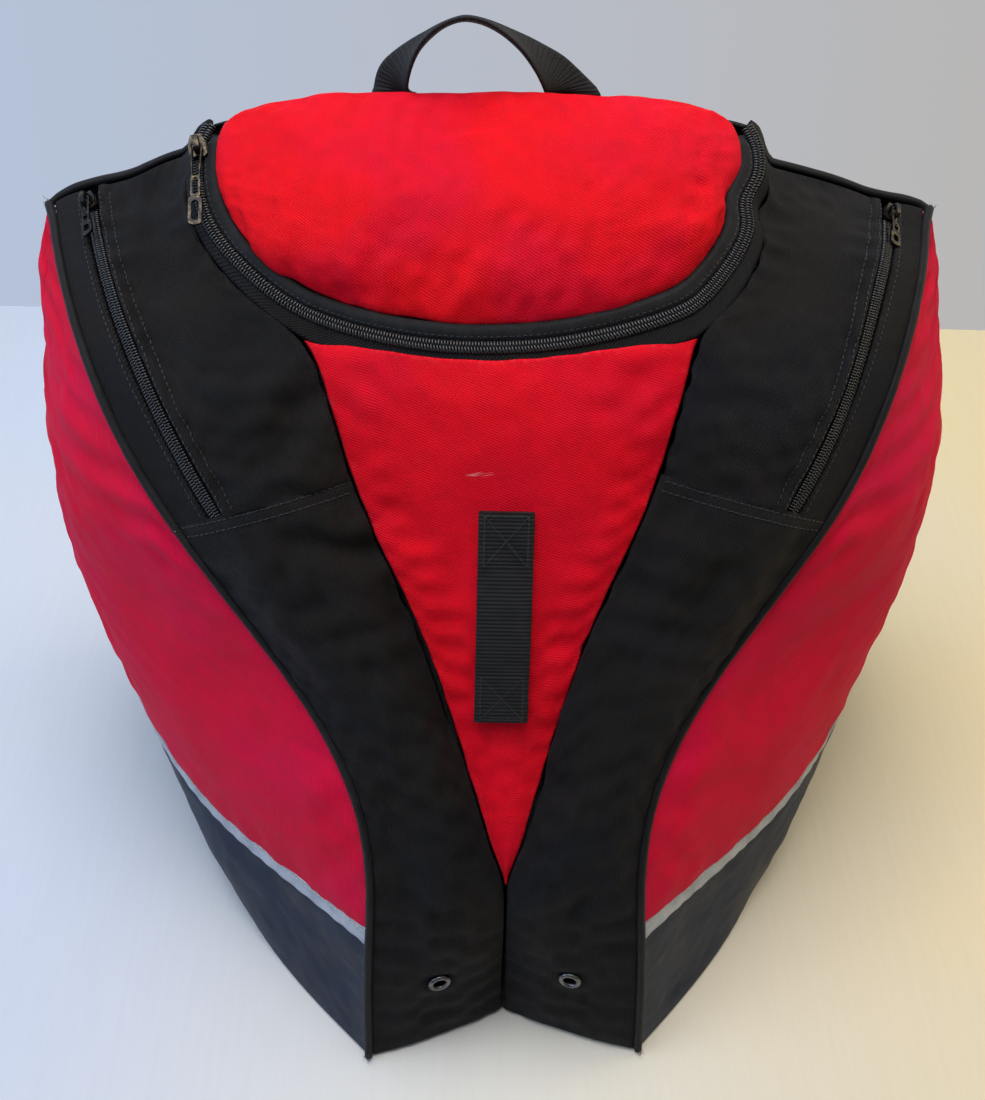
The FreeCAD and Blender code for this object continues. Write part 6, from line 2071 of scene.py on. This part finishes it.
# ------------------------------------------------------------------ base
def base():
    left = [side(V_OF_Z(3.0), s)[:2] for s in np.linspace(0.0, 1.0, 25)]
    left = [(-3.0, 26.0)] + left
    plan = np.array(left + [(-x, y) for x, y in left[:0:-1]] + [(3.0, 26.0)])
    centre = np.array([0, 190.0])
    verts = []
    # share of the outline, z
    levels = ((0.35, 0.25), (0.7, 0.2), (0.93, 0.3), (0.985, 0.8), (0.995, 1.8), (0.985, 3.4))
    for share, z in levels:
        for point in plan:
            x, y = centre + (point - centre) * share
            sag = 0.5 * float(noise(x / 30, y / 30, 5)) + 0.3 if share < 0.9 else 0
            verts.append((x, y, z + sag))
    n = len(plan)
    underside = len(verts)
    top = underside + 1
    last = underside - n
    verts.append((0, 190.0, 0.35))
    verts += [(*(centre + (point - centre) * 0.975), 3.2) for point in plan]
    verts.append((0, 190.0, 2.0))
    faces = [(underside, (k + 1) % n, k) for k in range(n)]
    faces += tube_faces(len(levels), n, caps=False)
    for k in range(n):
        j = (k + 1) % n
        faces += [(last + k, last + j, top + j, top + k), (top + k, top + j, top + n)]
    obj = body_object("base_fabric", (verts, faces, [v[:2] for v in verts]), M["base"],
                      "coated_fabric", "bag", stands_for=["base_panel"], lean=False)
    add_edge_distance(obj, np.full(len(verts), 40.0))


base()

# ------------------------------------------------------------------ back panel
# (half width, height) of its top, following the shoulders
back_top = []
for u in np.linspace(0.0, 1.0, 14):
    seam = gusset(0.992, u)
    back_top.append((abs(seam[0]), seam[2] - 0.6))
back_top += [(138.0, 411.0), (120.0, 415.0), (60.0, 417.0), (0.0, 417.5)]
BACK_TOP_X, BACK_TOP_Z = np.array(sorted(back_top)).T


def back_edge(z):
    if z <= 350:
        return abs(BACK_SEAM(BACK_SEAM.solve(2, max(2.0, z)))[0]) - 1.5
    return 237.0


def back_point(a, b):
    """a across -1..1, b up 0..1"""
    z_top = float(np.interp(abs(a * 241.0) * 0.985, BACK_TOP_X, BACK_TOP_Z))
    z = 1.5 + (z_top - 1.5) * b
    return (a * min(back_edge(z), 241.0), 328.0 + 1.6 * (1 - a * a), z)


def back_shape(a, b, c, d, points):
    relief = calm(20, a, b, c, d) * (0.8 * noise(a / 50, c / 44, 101)
                                     + 0.4 * noise(a / 18, c / 22, 102))
    # pressed in under the two back pads
    x, z = np.abs(points[..., 0]), points[..., 2]
    pads = (gauss(np.maximum(np.abs(x - 62) - 38, 0), 6)
            * gauss(np.maximum(np.abs(z - 235) - 136, 0), 6))
    return np.clip(relief, -1.5, 0.9) - 0.7 * pads


coarse = drape(grid(back_point, 40, 34, (-1, 1)), (0, 200, 200), pressure=0.5, shrink=-0.004,
               gravity=0.8, bend=2.0, cap=2.0, frames=14)
back_thread = Bucket("back_panel_stitching", M["thread"], "bag", "black_fabric")
panel("back_panel_fabric", coarse, (0, 200.0, 200.0), M["black_back"], "black_fabric",
      step=3.6, shape=back_shape, seed=105, tuck=1.4, pucker=0.15,
      rows=[("d", 5.0, (8, 8)), ("a", 5.5, (8, 8)), ("b", 5.5, (8, 8))], thread=back_thread,
      stands_for=["back_panel"])

# binding over the top back seam, shoulder to lid
top_seam = [(-238.5, 324.5, 367.5)]
for u in np.linspace(0.04, 0.97, 16):
    seam = gusset(0.992, u)
    top_seam.append((seam[0], 326.5, seam[2] - 0.2))
top_seam.append((-139.0, 327.2, 411.5))
for sign, name in SIDES:
    path = np.array(top_seam, float)
    path[:, 0] *= -sign
    path, run = resample(path, 3.0)
    cord = swept(path, ring(2.1, 12, 0.9), scale=1 + 0.06 * noise(run / 9, 7, 111))
    body_object(name + "_top_seam_binding", cord, M["piping"], "piping", "bag")


# ------------------------------------------------------------------ pads on the back
def pad_rest(nx, nz, half_x, half_z, thick, corner):
    """two skins with rounded corners, slimmer than the finished pad"""
    verts = []
    for front in (False, True):
        for i in range(nx + 1):
            for j in range(nz + 1):
                a, b = -1 + 2 * i / nx, -1 + 2 * j / nz
                x, z = a * half_x, b * half_z
                corner_x, corner_z = half_x - corner, half_z - corner
                if abs(x) > corner_x and abs(z) > corner_z:
                    dx, dz = abs(x) - corner_x, abs(z) - corner_z
                    pull_in = max(dx, dz) / math.hypot(dx, dz)
                    x = math.copysign(corner_x + dx * pull_in, x)
                    z = math.copysign(corner_z + dz * pull_in, z)
                rim = min(1.0, min(1 - abs(a), 1 - abs(b)) * 5.0)
                verts.append((x, thick * (0.30 + 0.48 * rim if front else 0.15), z))

    def at(skin, i, j):
        return (skin * (nx + 1) + i) * (nz + 1) + j
    faces = []
    for skin in (0, 1):
        for i in range(nx):
            for j in range(nz):
                quad = (at(skin, i, j), at(skin, i + 1, j), at(skin, i + 1, j + 1),
                        at(skin, i, j + 1))
                faces.append(quad[::-1] if skin else quad)
    rim = ([(i, 0) for i in range(nx)] + [(nx, j) for j in range(nz)]
           + [(i, nz) for i in range(nx, 0, -1)] + [(0, j) for j in range(nz, 0, -1)])
    for p, q in zip(rim, rim[1:] + rim[:1]):
        faces.append((at(0, *q), at(0, *p), at(1, *p), at(1, *q)))
    return verts, faces


def padded(node, channels, seed, corner=10.0):
    """crowned pad filling the box of its CAD piece: swelled as cloth on a flat base, with a
    bound rim; channels are grooves (axis across which they lie, position, depth, width)"""
    low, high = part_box(node)
    width, thick, tall = [(b - a) * 1000 for a, b in zip(low, high)]
    centre = np.array([(low.x + high.x) * 500, low.y * 1000 + MID_DEPTH,
                       (low.z + high.z) * 500])
    half_x, half_z = width / 2, tall / 2
    verts, faces = pad_rest(max(8, int(width / 7)), max(8, int(tall / 7)), half_x, half_z,
                            thick, corner)
    name = node + "_mesh"
    obj = swell(name, to_row(centre + np.array(verts, np.float32)), faces, voxel=0.005,
                shrink=-0.02, frames=20, cap=0.005, bend=1.0,
                pin_below=to_row(centre)[1] + 0.0016)
    mesh = obj.data
    mesh.name = name
    points = from_row(mesh_points(mesh)) - centre
    x, y, z = points.T
    raised = np.clip(y / (thick * 0.5), 0, 1)
    relief = np.zeros(len(points))
    for axis, position, depth, groove in channels:
        relief -= depth * gauss((z if axis == "z" else x) - position, groove) * raised
    relief += 0.35 * noise(x / 14, z / 14, seed) * raised
    points[:, 1] += relief
    mesh.vertices.foreach_set("co", to_row(points + centre).ravel())
    mesh.update()
    edge = np.minimum(half_x - np.abs(points[:, 0]), half_z - np.abs(points[:, 2]))
    dress(obj, points, M["mesh"], edge.clip(0, 50))
    place(obj, "padded_mesh", "bag", [node])
    # binding tape round the rim, a squarish oval
    rim = []
    for k in range(120):
        t = 2 * math.pi * k / 120
        cos, sin = math.cos(t), math.sin(t)
        reach = (abs(cos) ** 6.0 + abs(sin) ** 6.0) ** (-1 / 6.0)
        rim.append(centre + np.array([cos * reach * (half_x - 0.3), thick * 0.35,
                                      sin * reach * (half_z - 0.3)]))
    cord = swept(rim + rim[:2], ring(1.7, 8), up=(0, 1, 0), caps=False)
    body_object(name + "_rim", cord, M["binding"], "piping", "bag", 70)


for sign, name in SIDES:
    padded(name + "_back_pad", [("z", z, 2.6, 3.2) for z in (-90, -45, 0, 45, 90)],
           seed=121 + sign)
padded("lumbar_pad", [("x", x, 2.8, 3.4) for x in (-49, 0, 49)], seed=131, corner=14)

# yoke: folded fabric patch with a boxed stitch row
low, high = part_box("harness_yoke")
yoke_x = high.x * 1000
yoke_y = low.y * 1000 + MID_DEPTH
yoke_thread = Bucket("yoke_stitching", M["thread"], "bag", "black_fabric")
panel("harness_yoke_fabric",
      grid(lambda x, z: (x, yoke_y + 2.2, z), 24, 6, (-yoke_x, yoke_x),
           (low.z * 1000, high.z * 1000)),
      (0, 200, 380), M["black_back"], "black_fabric", tuck=1.1, tuck_r=1.8, pucker=0.12,
      seed=141, shape=lambda a, b, c, d, points: 0.35 * noise(a / 20, c / 9, 142),
      rows=[(edge, 3.0, (3, 3)) for edge in "cdab"], thread=yoke_thread,
      stands_for=["harness_yoke"])

# ------------------------------------------------------------------ grab handle
HANDLE_X, HANDLE_Y, HANDLE_Z = 47.0, 334.9, 422.5  # feet at +-x


def handle_line(k):
    """(x, z) of the handle, k from the left foot -1 to the right foot 1"""
    lean = -8.0 * (1 - k * k) * (1 - 0.25 * k)
    return (HANDLE_X * k + lean,
            HANDLE_Z + 1.0 + 37.0 * (1.0 - abs(k) ** 1.75) + 0.8 * math.sin(3 * k))


def handle_frames():
    """points, width directions and normals: the webbing twists on its way over"""
    points, widths, normals = [], [], []
    for k in np.linspace(-1, 1, 90):
        x, z = handle_line(k)
        x1, z1 = handle_line(max(-1.0, k - 0.01))
        x2, z2 = handle_line(min(1.0, k + 0.01))
        size = math.hypot(x2 - x1, z2 - z1)
        tx, tz = (x2 - x1) / size, (z2 - z1) / size
        # upright towards the feet
        foot = max(0.0, (abs(k) - 0.80) / 0.20)
        foot = foot * foot * (3 - 2 * foot)
        tx, tz = tx * (1 - foot), tz * (1 - foot) + (-1.0 if k > 0 else 1.0) * foot
        size = math.hypot(tx, tz)
        tx, tz = tx / size, tz / size
        turn = math.radians(112.0) * max(0.0, 1 - abs(k) ** 2.4) ** 0.7
        cos, sin = math.cos(turn), math.sin(turn)
        widths.append((cos * -tz, sin, cos * tx))
        normals.append((-sin * -tz, cos, -sin * tx))
        points.append((x, HANDLE_Y + 1.2 * math.sin(2.2 * k + 0.4) * (1 - abs(k)), z))
    return np.array(points), np.array(widths), np.array(normals)


def handle():
    points, widths, normals = handle_frames()
    heights = np.linspace(402.0, 420.5, 9)
    left, right = [np.array([(points[end][0], HANDLE_Y, z) for z in heights]) for end in (0, -1)]

    def extend(values):
        return np.concatenate([np.tile(values[0], (9, 1)), values, np.tile(values[-1], (9, 1))])
    obj = ribbon("grab_handle_webbing", np.concatenate([left, points, right[::-1]]),
                 extend(widths), extend(normals), 23.0, 2.6, M["webbing_soft"], count=13,
                 crown=0.9, wavy=0.35, seed=151)
    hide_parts("grab_handle", "handle_anchor_tabs")
    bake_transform(obj)
    # boxed and crossed stitch rows on the feet
    thread = Bucket("handle_foot_stitching", M["thread"], "bag", "webbing")
    for s in (-1, 1):
        a, b, c, d = [(s * HANDLE_X + x, HANDLE_Y + 1.55, z) for x, z in
                      ((-9.5, 403.5), (9.5, 403.5), (9.5, 415.5), (-9.5, 415.5))]
        for corners in ([a, b, c, d, a], [a, c], [d, b]):
            line, _ = resample(corners, 1.6)
            stitch(thread, line, np.tile([0, 1.0, 0], (len(line), 1)), length=2.2, gap=0.8)


handle()

# ------------------------------------------------------------------ shoulder straps
STRAP_PATH = Spline([(48, 336.2, 398), (50, 339.0, 386), (53, 345.5, 369), (59, 348.5, 335),
                     (71, 350.5, 270), (84, 350.5, 200), (91, 347.5, 145), (93, 345.8, 122)])
STRAP_HALF, STRAP_RISE = 31.0, 5.5
LOCK_X = 93.3
LOCK_HALF = 16.5
TAIL_BAND = dict(width=24.5, thick=1.7)


def strap_frame(t):
    """centre, direction across and normal of the right strap"""
    along = np.array(STRAP_PATH(min(1, t + 0.01))) - np.array(STRAP_PATH(max(0, t - 0.01)))
    along /= np.linalg.norm(along)
    across = np.cross(along, (0, 1, 0))
    across /= np.linalg.norm(across)
    normal = np.cross(across, along)
    return np.array(STRAP_PATH(t)), across, (-normal if normal[1] < 0 else normal)


def strap_size(t):
    tail = min(1.0, (1 - t) / 0.10)
    width = STRAP_HALF * (0.80 + 0.20 * min(1.0, t / 0.25)) * (0.62 + 0.38 * tail ** 0.6)
    rise = STRAP_RISE * (0.42 + 0.58 * min(1.0, t / 0.13)) * (0.5 + 0.5 * tail ** 0.7)
    return width, rise


def strap_point(sign, t, a, h):
    """a across -1..1, h through -1..1"""
    centre, across, normal = strap_frame(t)
    width, rise = strap_size(t)
    x, y, z = centre + across * a * width + normal * h * rise
    return np.array([x * sign, y, z])


def strap_pad(sign, name):
    rows, columns = 64, 12
    verts = []
    for i in range(rows + 1):
        for j in range(columns + 1):
            a = -1 + 2 * j / columns
            h = 0.15 + 0.45 * (1 - abs(a) ** 4)
            for side_h in (h, -h):
                verts.append(to_row(strap_point(sign, i / rows, a * 0.97, side_h)))

    def upper(i, j):
        return 2 * (i * (columns + 1) + j)

    def lower(i, j):
        return upper(i, j) + 1
    faces = []
    for i in range(rows):
        for j in range(columns):
            faces.append((upper(i, j), upper(i + 1, j), upper(i + 1, j + 1), upper(i, j + 1)))
            faces.append((lower(i, j), lower(i, j + 1), lower(i + 1, j + 1), lower(i + 1, j)))
        faces.append((upper(i, 0), lower(i, 0), lower(i + 1, 0), upper(i + 1, 0)))
        j = columns
        faces.append((upper(i, j), upper(i + 1, j), lower(i + 1, j), lower(i, j)))
    for i in (0, rows):
        for j in range(columns):
            faces.append((upper(i, j), upper(i, j + 1), lower(i, j + 1), lower(i, j)))
    obj = swell(name + "_strap_pad", np.array(verts), faces, voxel=0.0038, shrink=-0.015,
                frames=15, cap=0.0018)
    points = from_row(mesh_points(obj.data))
    dress(obj, points, M["black_back"], np.full(len(points), 30.0))
    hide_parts(name + "_shoulder_strap")
    return obj


def strap(sign, name, body):
    """pad, its edge binding, and webbing sewn down the middle"""
    def blend(obj):
        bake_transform(obj)
    blend(strap_pad(sign, name))
    edge = [strap_point(sign, t, -0.985, 0.0) for t in np.linspace(0.01, 1, 70)]
    edge += [strap_point(sign, 1.0, a, 0.0) + np.array([0, 0, -0.4])
             for a in np.linspace(-0.8, 0.8, 9)]
    edge += [strap_point(sign, t, 0.985, 0.0) for t in np.linspace(1, 0.01, 70)]
    blend(body_object(name + "_strap_binding", swept(edge, ring(1.9, 9), up=(0, 1, 0)),
                      M["binding"], "piping", angle=70))

    def on_top(stations, lift):
        normals = np.array([strap_frame(t)[2] for t in stations])
        points = np.array([strap_point(sign, t, 0, 1.0) for t in stations])
        return points + normals * lift, normals
    stations = np.linspace(0.1, 0.995, 80)
    points, normals = on_top(stations, 0.9)
    across = np.array([strap_frame(t)[1] for t in stations])
    across[:, 0] *= sign
    blend(ribbon(name + "_strap_webbing", points, across, normals, 20.0, 1.5,
                 M["webbing_soft"]))
    thread = Bucket(name + "_strap_stitching", M["thread"], body, "black_fabric")
    points, normals = on_top(np.linspace(0.14, 0.985, 120), 1.65)
    for x in (-8.0, 8.0):
        stitch(thread, points + np.array([x, 0, 0]), normals, seed=161)


def ladder(bm):
    """two rails joined by four bars"""
    for x0, x1 in ((-LOCK_HALF, -LOCK_HALF + 3.2), (LOCK_HALF - 3.2, LOCK_HALF)):
        prism(bm, [(x0, -30), (x1, -30), (x1, 0), (x0, 0)], -1.9, 1.9)
    # y, radius, z of the bars
    for y, radius, z in ((-2.0, 2.0, 0), (-11.2, 1.7, 0.7), (-20.2, 1.9, -0.4),
                         (-28.4, 1.7, 0.5)):
        reach = LOCK_HALF - 2.4
        bar = [(x, y, z) for x in np.linspace(-reach, reach, 6)]
        verts, faces, _ = swept(bar, ring(radius, 12, 0.85), up=(0, 0, 1))
        add_body(bm, verts, faces)


def strap_lower_end(sign, name, body):
    """ladder lock, the webbing from the bag to it, and the free tail"""
    low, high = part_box(name + "_ladder_lock")
    lock_y = (low.y + high.y) * 500 + MID_DEPTH
    solid_object(name + "_ladder_lock_frame", ladder, M["buckle"],
                 (sign * LOCK_X, lock_y, 120.0), (1, 0, 0), (0, -1, 0), "buckle_plastic", body,
                 [name + "_ladder_lock"], bevel=0.5)

    anchor, lock = np.array((sign * 172.0, 335.2, 34.0)), np.array((sign * 97.0, 345.6, 97.0))
    line = np.array([anchor + (lock - anchor) * t
                     + np.array([0, 2.2, -2.0]) * math.sin(math.pi * t)
                     for t in np.linspace(0, 1, 34)])
    _, normals, sides = frames_along(line, (0, 1, 0))
    obj = ribbon(name + "_lower_webbing_band", line, sides, normals, mat=M["webbing"],
                 wavy=0.25, seed=171, **TAIL_BAND)
    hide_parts(name + "_lower_webbing")
    tuple(to_row(anchor + (lock - anchor) * 0.1))
    tuple(to_row(lock))
    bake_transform(obj)

    line = np.array([(sign * (LOCK_X - 10.0 * k),
                      350.2 + 5.0 * math.sin(k * 1.6) + 1.2 * math.sin(k * 5.0),
                      112.0 - 82.0 * k) for k in np.linspace(0, 1, 40)])
    _, normals, sides = frames_along(line, (0, 1, 0))
    obj = ribbon(name + "_webbing_free_tail", line, sides, normals, mat=M["webbing"], wavy=0.3,
                 seed=173, **TAIL_BAND)
    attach(obj, body)
    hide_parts(name + "_webbing_tail")


def anchor_tab(sign, name):
    """folded triangle sewn into the lower corner of the back"""
    tip, bottom, top = np.array([(sign * 140.0, 22.0), (sign * 206.0, 10.0),
                                 (sign * 208.0, 62.0)])
    coarse = []
    for i in range(10):
        start = tip + (bottom - tip) * i / 9
        # the tip keeps a short edge
        end = tip + (top - tip) * i / 9 if i else start + np.array([0, 1.2])
        line = [start + (end - start) * j / 7 for j in range(8)]
        coarse.append([(x, 332.6, z) for x, z in line])
    thread = Bucket(name + "_anchor_stitching", M["thread"], "bag", "black_fabric")
    panel(name + "_anchor_tab_fabric", np.array(coarse), (0, 200, 30), M["black_back"],
          "black_fabric", step=2.2, tuck=1.0, tuck_r=1.6, seed=181,
          rows=[("c", 3.0, (6, 4)), ("d", 3.0, (6, 4))], thread=thread,
          stands_for=[name + "_anchor_tab"])


for sign, name in SIDES:
    strap(sign, name, name + "_strap")
    strap_lower_end(sign, name, name + "_strap")
    anchor_tab(sign, name)


# ------------------------------------------------------------------ inside
def divider_shape(a, b, c, d, points):
    return calm(20, a, b, c, d) * (1.6 * noise(a / 50, c / 40, 192)
                                   + 0.6 * noise(a / 20, c / 18, 193))


for sign, name in SIDES:
    panel(name + "_divider_fabric", grid(sided(divider, sign), 22, 16),
          (sign * -400.0, 240.0, 150.0), M["lining"], "lining_fabric", step=5.0, thick=1.6,
          tuck=0.6, seed=191, shape=divider_shape, stands_for=[name + "_divider"])
for node in ("base_board", "frame_sheet"):
    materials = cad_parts[node].data.materials
    if materials:
        for k in range(len(materials)):
            materials[k] = M["board"]
    else:
        materials.append(M["board"])

# ------------------------------------------------------------------ loose threads
dark_threads = Bucket("loose_threads_dark", M["thread"], "bag", "black_fabric")
lid_threads = Bucket("lid_loose_threads", M["thread"], "lid", "zip_tape")
pale_threads = Bucket("loose_threads_pale", M["thread_grey"], "bag", "black_fabric")


def fray(bucket, start, direction, length, curl, seed, radius=0.13):
    """a curling thread that thins to its end"""
    own = random.Random(seed)
    points = [np.array(start, float)]
    direction = np.array(direction, float)
    direction /= np.linalg.norm(direction)
    bend = np.cross(direction, [own.uniform(-1, 1) for _ in range(3)])
    bend /= np.linalg.norm(bend)
    for _ in range(9):
        wander = np.array([own.uniform(-1, 1) for _ in range(3)])
        direction = direction + bend * curl * 0.25 + wander * 0.12
        direction /= np.linalg.norm(direction)
        points.append(points[-1] + direction * length / 9)
    bucket.add(*swept(points, ring(radius, 5), scale=np.linspace(1, 0.5, len(points))))


draws = random.Random(77)
draw = draws.uniform
for sign, name in SIDES:
    corner = np.array((sign * 239.0, 322.0, 369.0))
    for k in range(9):
        fray(dark_threads, corner + np.array([draw(-1.5, 1.5), draw(-2, 2), draw(-1, 2)]),
             (sign * draw(0.1, 1), draw(-.5, .5), draw(0.1, 1)), draw(1.5, 3.2), draw(-1, 1), k)
    foot = np.array((sign * 80.0, -1.2, 4.0))
    for k in range(12):
        fray(dark_threads, foot + np.array([draw(-2, 2), draw(-1, 1), draw(-2, 5)]),
             (sign * draw(-0.6, 1), -draw(0.2, 1), draw(-0.2, 0.4)), draw(1.5, 3.5),
             draw(-1, 1), 40 + k)
for k in range(46):
    q = draw(0.10, 0.62)
    _, outward, tangent = coil_frame(q)
    direction = (np.array(outward) * -1 * draw(0.3, 1) + np.array(tangent) * draw(-1, 1)
                 + np.array(LID_N) * draw(0.1, 0.5))
    fray(lid_threads, coil_at(q, -8.6, 1.6), direction,
         draw(1.2, 3.2) if k > 4 else draw(7, 12), draw(-1, 1), 100 + k, radius=0.12)
cross_end = np.array(OUTER_SEAM(V_CROSS))
for k in range(5):
    fray(pale_threads, cross_end + np.array([-1.0 + k * 0.9, -1.8, 1.5 - k * 0.9]),
         (1, -0.25, -0.8), 5.5, draw(-0.5, 0.5), 200 + k, radius=0.2)

for bucket in list(Bucket.waiting):
    bucket.done()

# ------------------------------------------------------------------ camera
CAMERA_RIGHT = (0.99954187, -0.02604336, 0.01542031)
CAMERA_UP = (0.00942064, 0.75188945, 0.65922189)
CAMERA_FORWARD = (0.02876272, 0.65877462, -0.75179034)
CAMERA_PLACE = (-0.02261618, -0.37091761, 0.69)
camera_data = bpy.data.cameras.new("camera")
camera = link_object("camera", camera_data)
axes = Matrix((CAMERA_RIGHT, CAMERA_UP, vmul(CAMERA_FORWARD, -1))).transposed()
camera.matrix_world = Matrix.Translation(CAMERA_PLACE) @ axes.to_4x4()
camera_data.sensor_fit = "AUTO"
camera_data.sensor_width = 36.0
camera_data.lens = 36.0654545
camera_data.clip_start = 0.02
camera_data.clip_end = 50
bpy.context.scene.camera = camera


# ------------------------------------------------------------------ lights
def area(name, place_at, target, size, power, color):
    data = bpy.data.lights.new(name, "AREA")
    data.energy, data.color, data.size = power, color, size
    obj = link_object(name, data)
    obj.location = place_at
    obj.rotation_mode = "QUATERNION"
    aim = Vector(target) - Vector(place_at)
    obj.rotation_quaternion = aim.to_track_quat("-Z", "Y")


area("light_top", (-0.12, 0.16, 1.75), target=(0, 0.0, 0.25), size=1.0, power=20.5,
     color=(1.0, 0.975, 0.94))
area("light_left", (-1.7, -0.3, 1.0), target=(0, 0, 0.2), size=1.2, power=12.5,
     color=(0.56, 0.76, 1.0))
area("light_right", (1.35, 0.45, 1.0), target=(0, 0, 0.2), size=0.7, power=6.0,
     color=(1.0, 0.85, 0.62))


# ------------------------------------------------------------------ floor
def floor_laminate_painted_light():
    """pale laminate with painted light: its colour runs from cool at the left to warm at the
    right, for the cool fill from the left and the warm lamp at the right
    """
    n = Shader("floor_laminate_painted_light")
    vec = n.object_mm()
    x = n.split(vec)[0]
    # painted light: cool blue at the left turning to warm yellow at the right, standing in for the
    # light falling on the floor
    col = n.mix(n.remap(x, (-420.0, 420.0), to=(0.0, 1.0), smooth=True), rgb(202, 211, 228),
                rgb(228, 212, 170))
    cloudy = n.remap(n.noise(vec, 0.003), (0.35, 0.65), to=(0.0, 0.25), smooth=True)
    col = n.mix(cloudy, col, rgb(214, 212, 208))
    streaks = n.noise(n.stretch(vec, (1.0, 0.05, 1.0)), 0.25)
    col = n.shade(col, n.remap(streaks, (0.3, 0.7), to=(0.985, 1.01)))
    grain = n.noise(n.stretch(vec, (1.0, 0.1, 1.0)), 0.3)
    return n.set(color=col, rough=0.42, spec=0.35,
                 normal=n.bump(grain, dist=0.0002, strength=0.4))


def floor():
    """flat sheet whose rear edge runs slightly askew and drops 30 mm"""
    n = 26
    verts = []
    for i in range(n + 1):
        x = -1500 + 3000 * i / n
        rear = 735.0 - 0.0463 * (x + 447.0)
        verts += [(x, -1400 + (1400 + rear) * j / n, -0.05) for j in range(n + 1)]
    row = n + 1
    below = len(verts)
    verts += [(verts[i * row + n][0], verts[i * row + n][1] + 2, -30) for i in range(row)]
    faces = [(i * row + j, (i + 1) * row + j, (i + 1) * row + j + 1, i * row + j + 1)
             for i in range(n) for j in range(n)]
    faces += [(i * row + n, (i + 1) * row + n, below + i + 1, below + i) for i in range(n)]
    mesh = bpy.data.meshes.new("floor_sheet")
    mesh.from_pydata(to_row(verts).tolist(), [], faces)
    obj = link_object("floor_sheet", mesh)
    mesh.materials.append(floor_laminate_painted_light())


floor()


# ------------------------------------------------------------------ world
def soft_sky():
    """cool at the left, warm at the right, brighter towards the back"""
    world = bpy.data.worlds.new("soft_sky")
    bpy.context.scene.world = world
    world.use_nodes = True
    nodes, links = world.node_tree.nodes, world.node_tree.links
    nodes.clear()
    output = nodes.new("ShaderNodeOutputWorld")
    background = nodes.new("ShaderNodeBackground")
    links.new(background.outputs[0], output.inputs[0])
    coordinates = nodes.new("ShaderNodeTexCoord")
    parts = nodes.new("ShaderNodeSeparateXYZ")
    links.new(coordinates.outputs["Generated"], parts.inputs[0])
    sideways_map = nodes.new("ShaderNodeMapRange")
    links.new(parts.outputs[0], sideways_map.inputs[0])
    sideways_map.inputs["From Min"].default_value = -0.75
    sideways_map.inputs["From Max"].default_value = 0.75
    tint = nodes.new("ShaderNodeMix")
    tint.data_type = "RGBA"
    links.new(sideways_map.outputs[0], tint.inputs[0])
    tint.inputs[6].default_value = rgb(184, 204, 236)
    tint.inputs[7].default_value = rgb(190, 182, 168)
    links.new(tint.outputs[2], background.inputs[0])
    strength = nodes.new("ShaderNodeMapRange")
    links.new(parts.outputs[1], strength.inputs[0])
    for key, value in (("From Min", -0.5), ("From Max", 0.45), ("To Min", 0.32), ("To Max", 0.95)):
        strength.inputs[key].default_value = value
    links.new(strength.outputs[0], background.inputs[1])


bpy.context.scene.view_settings.view_transform = "Standard"
soft_sky()
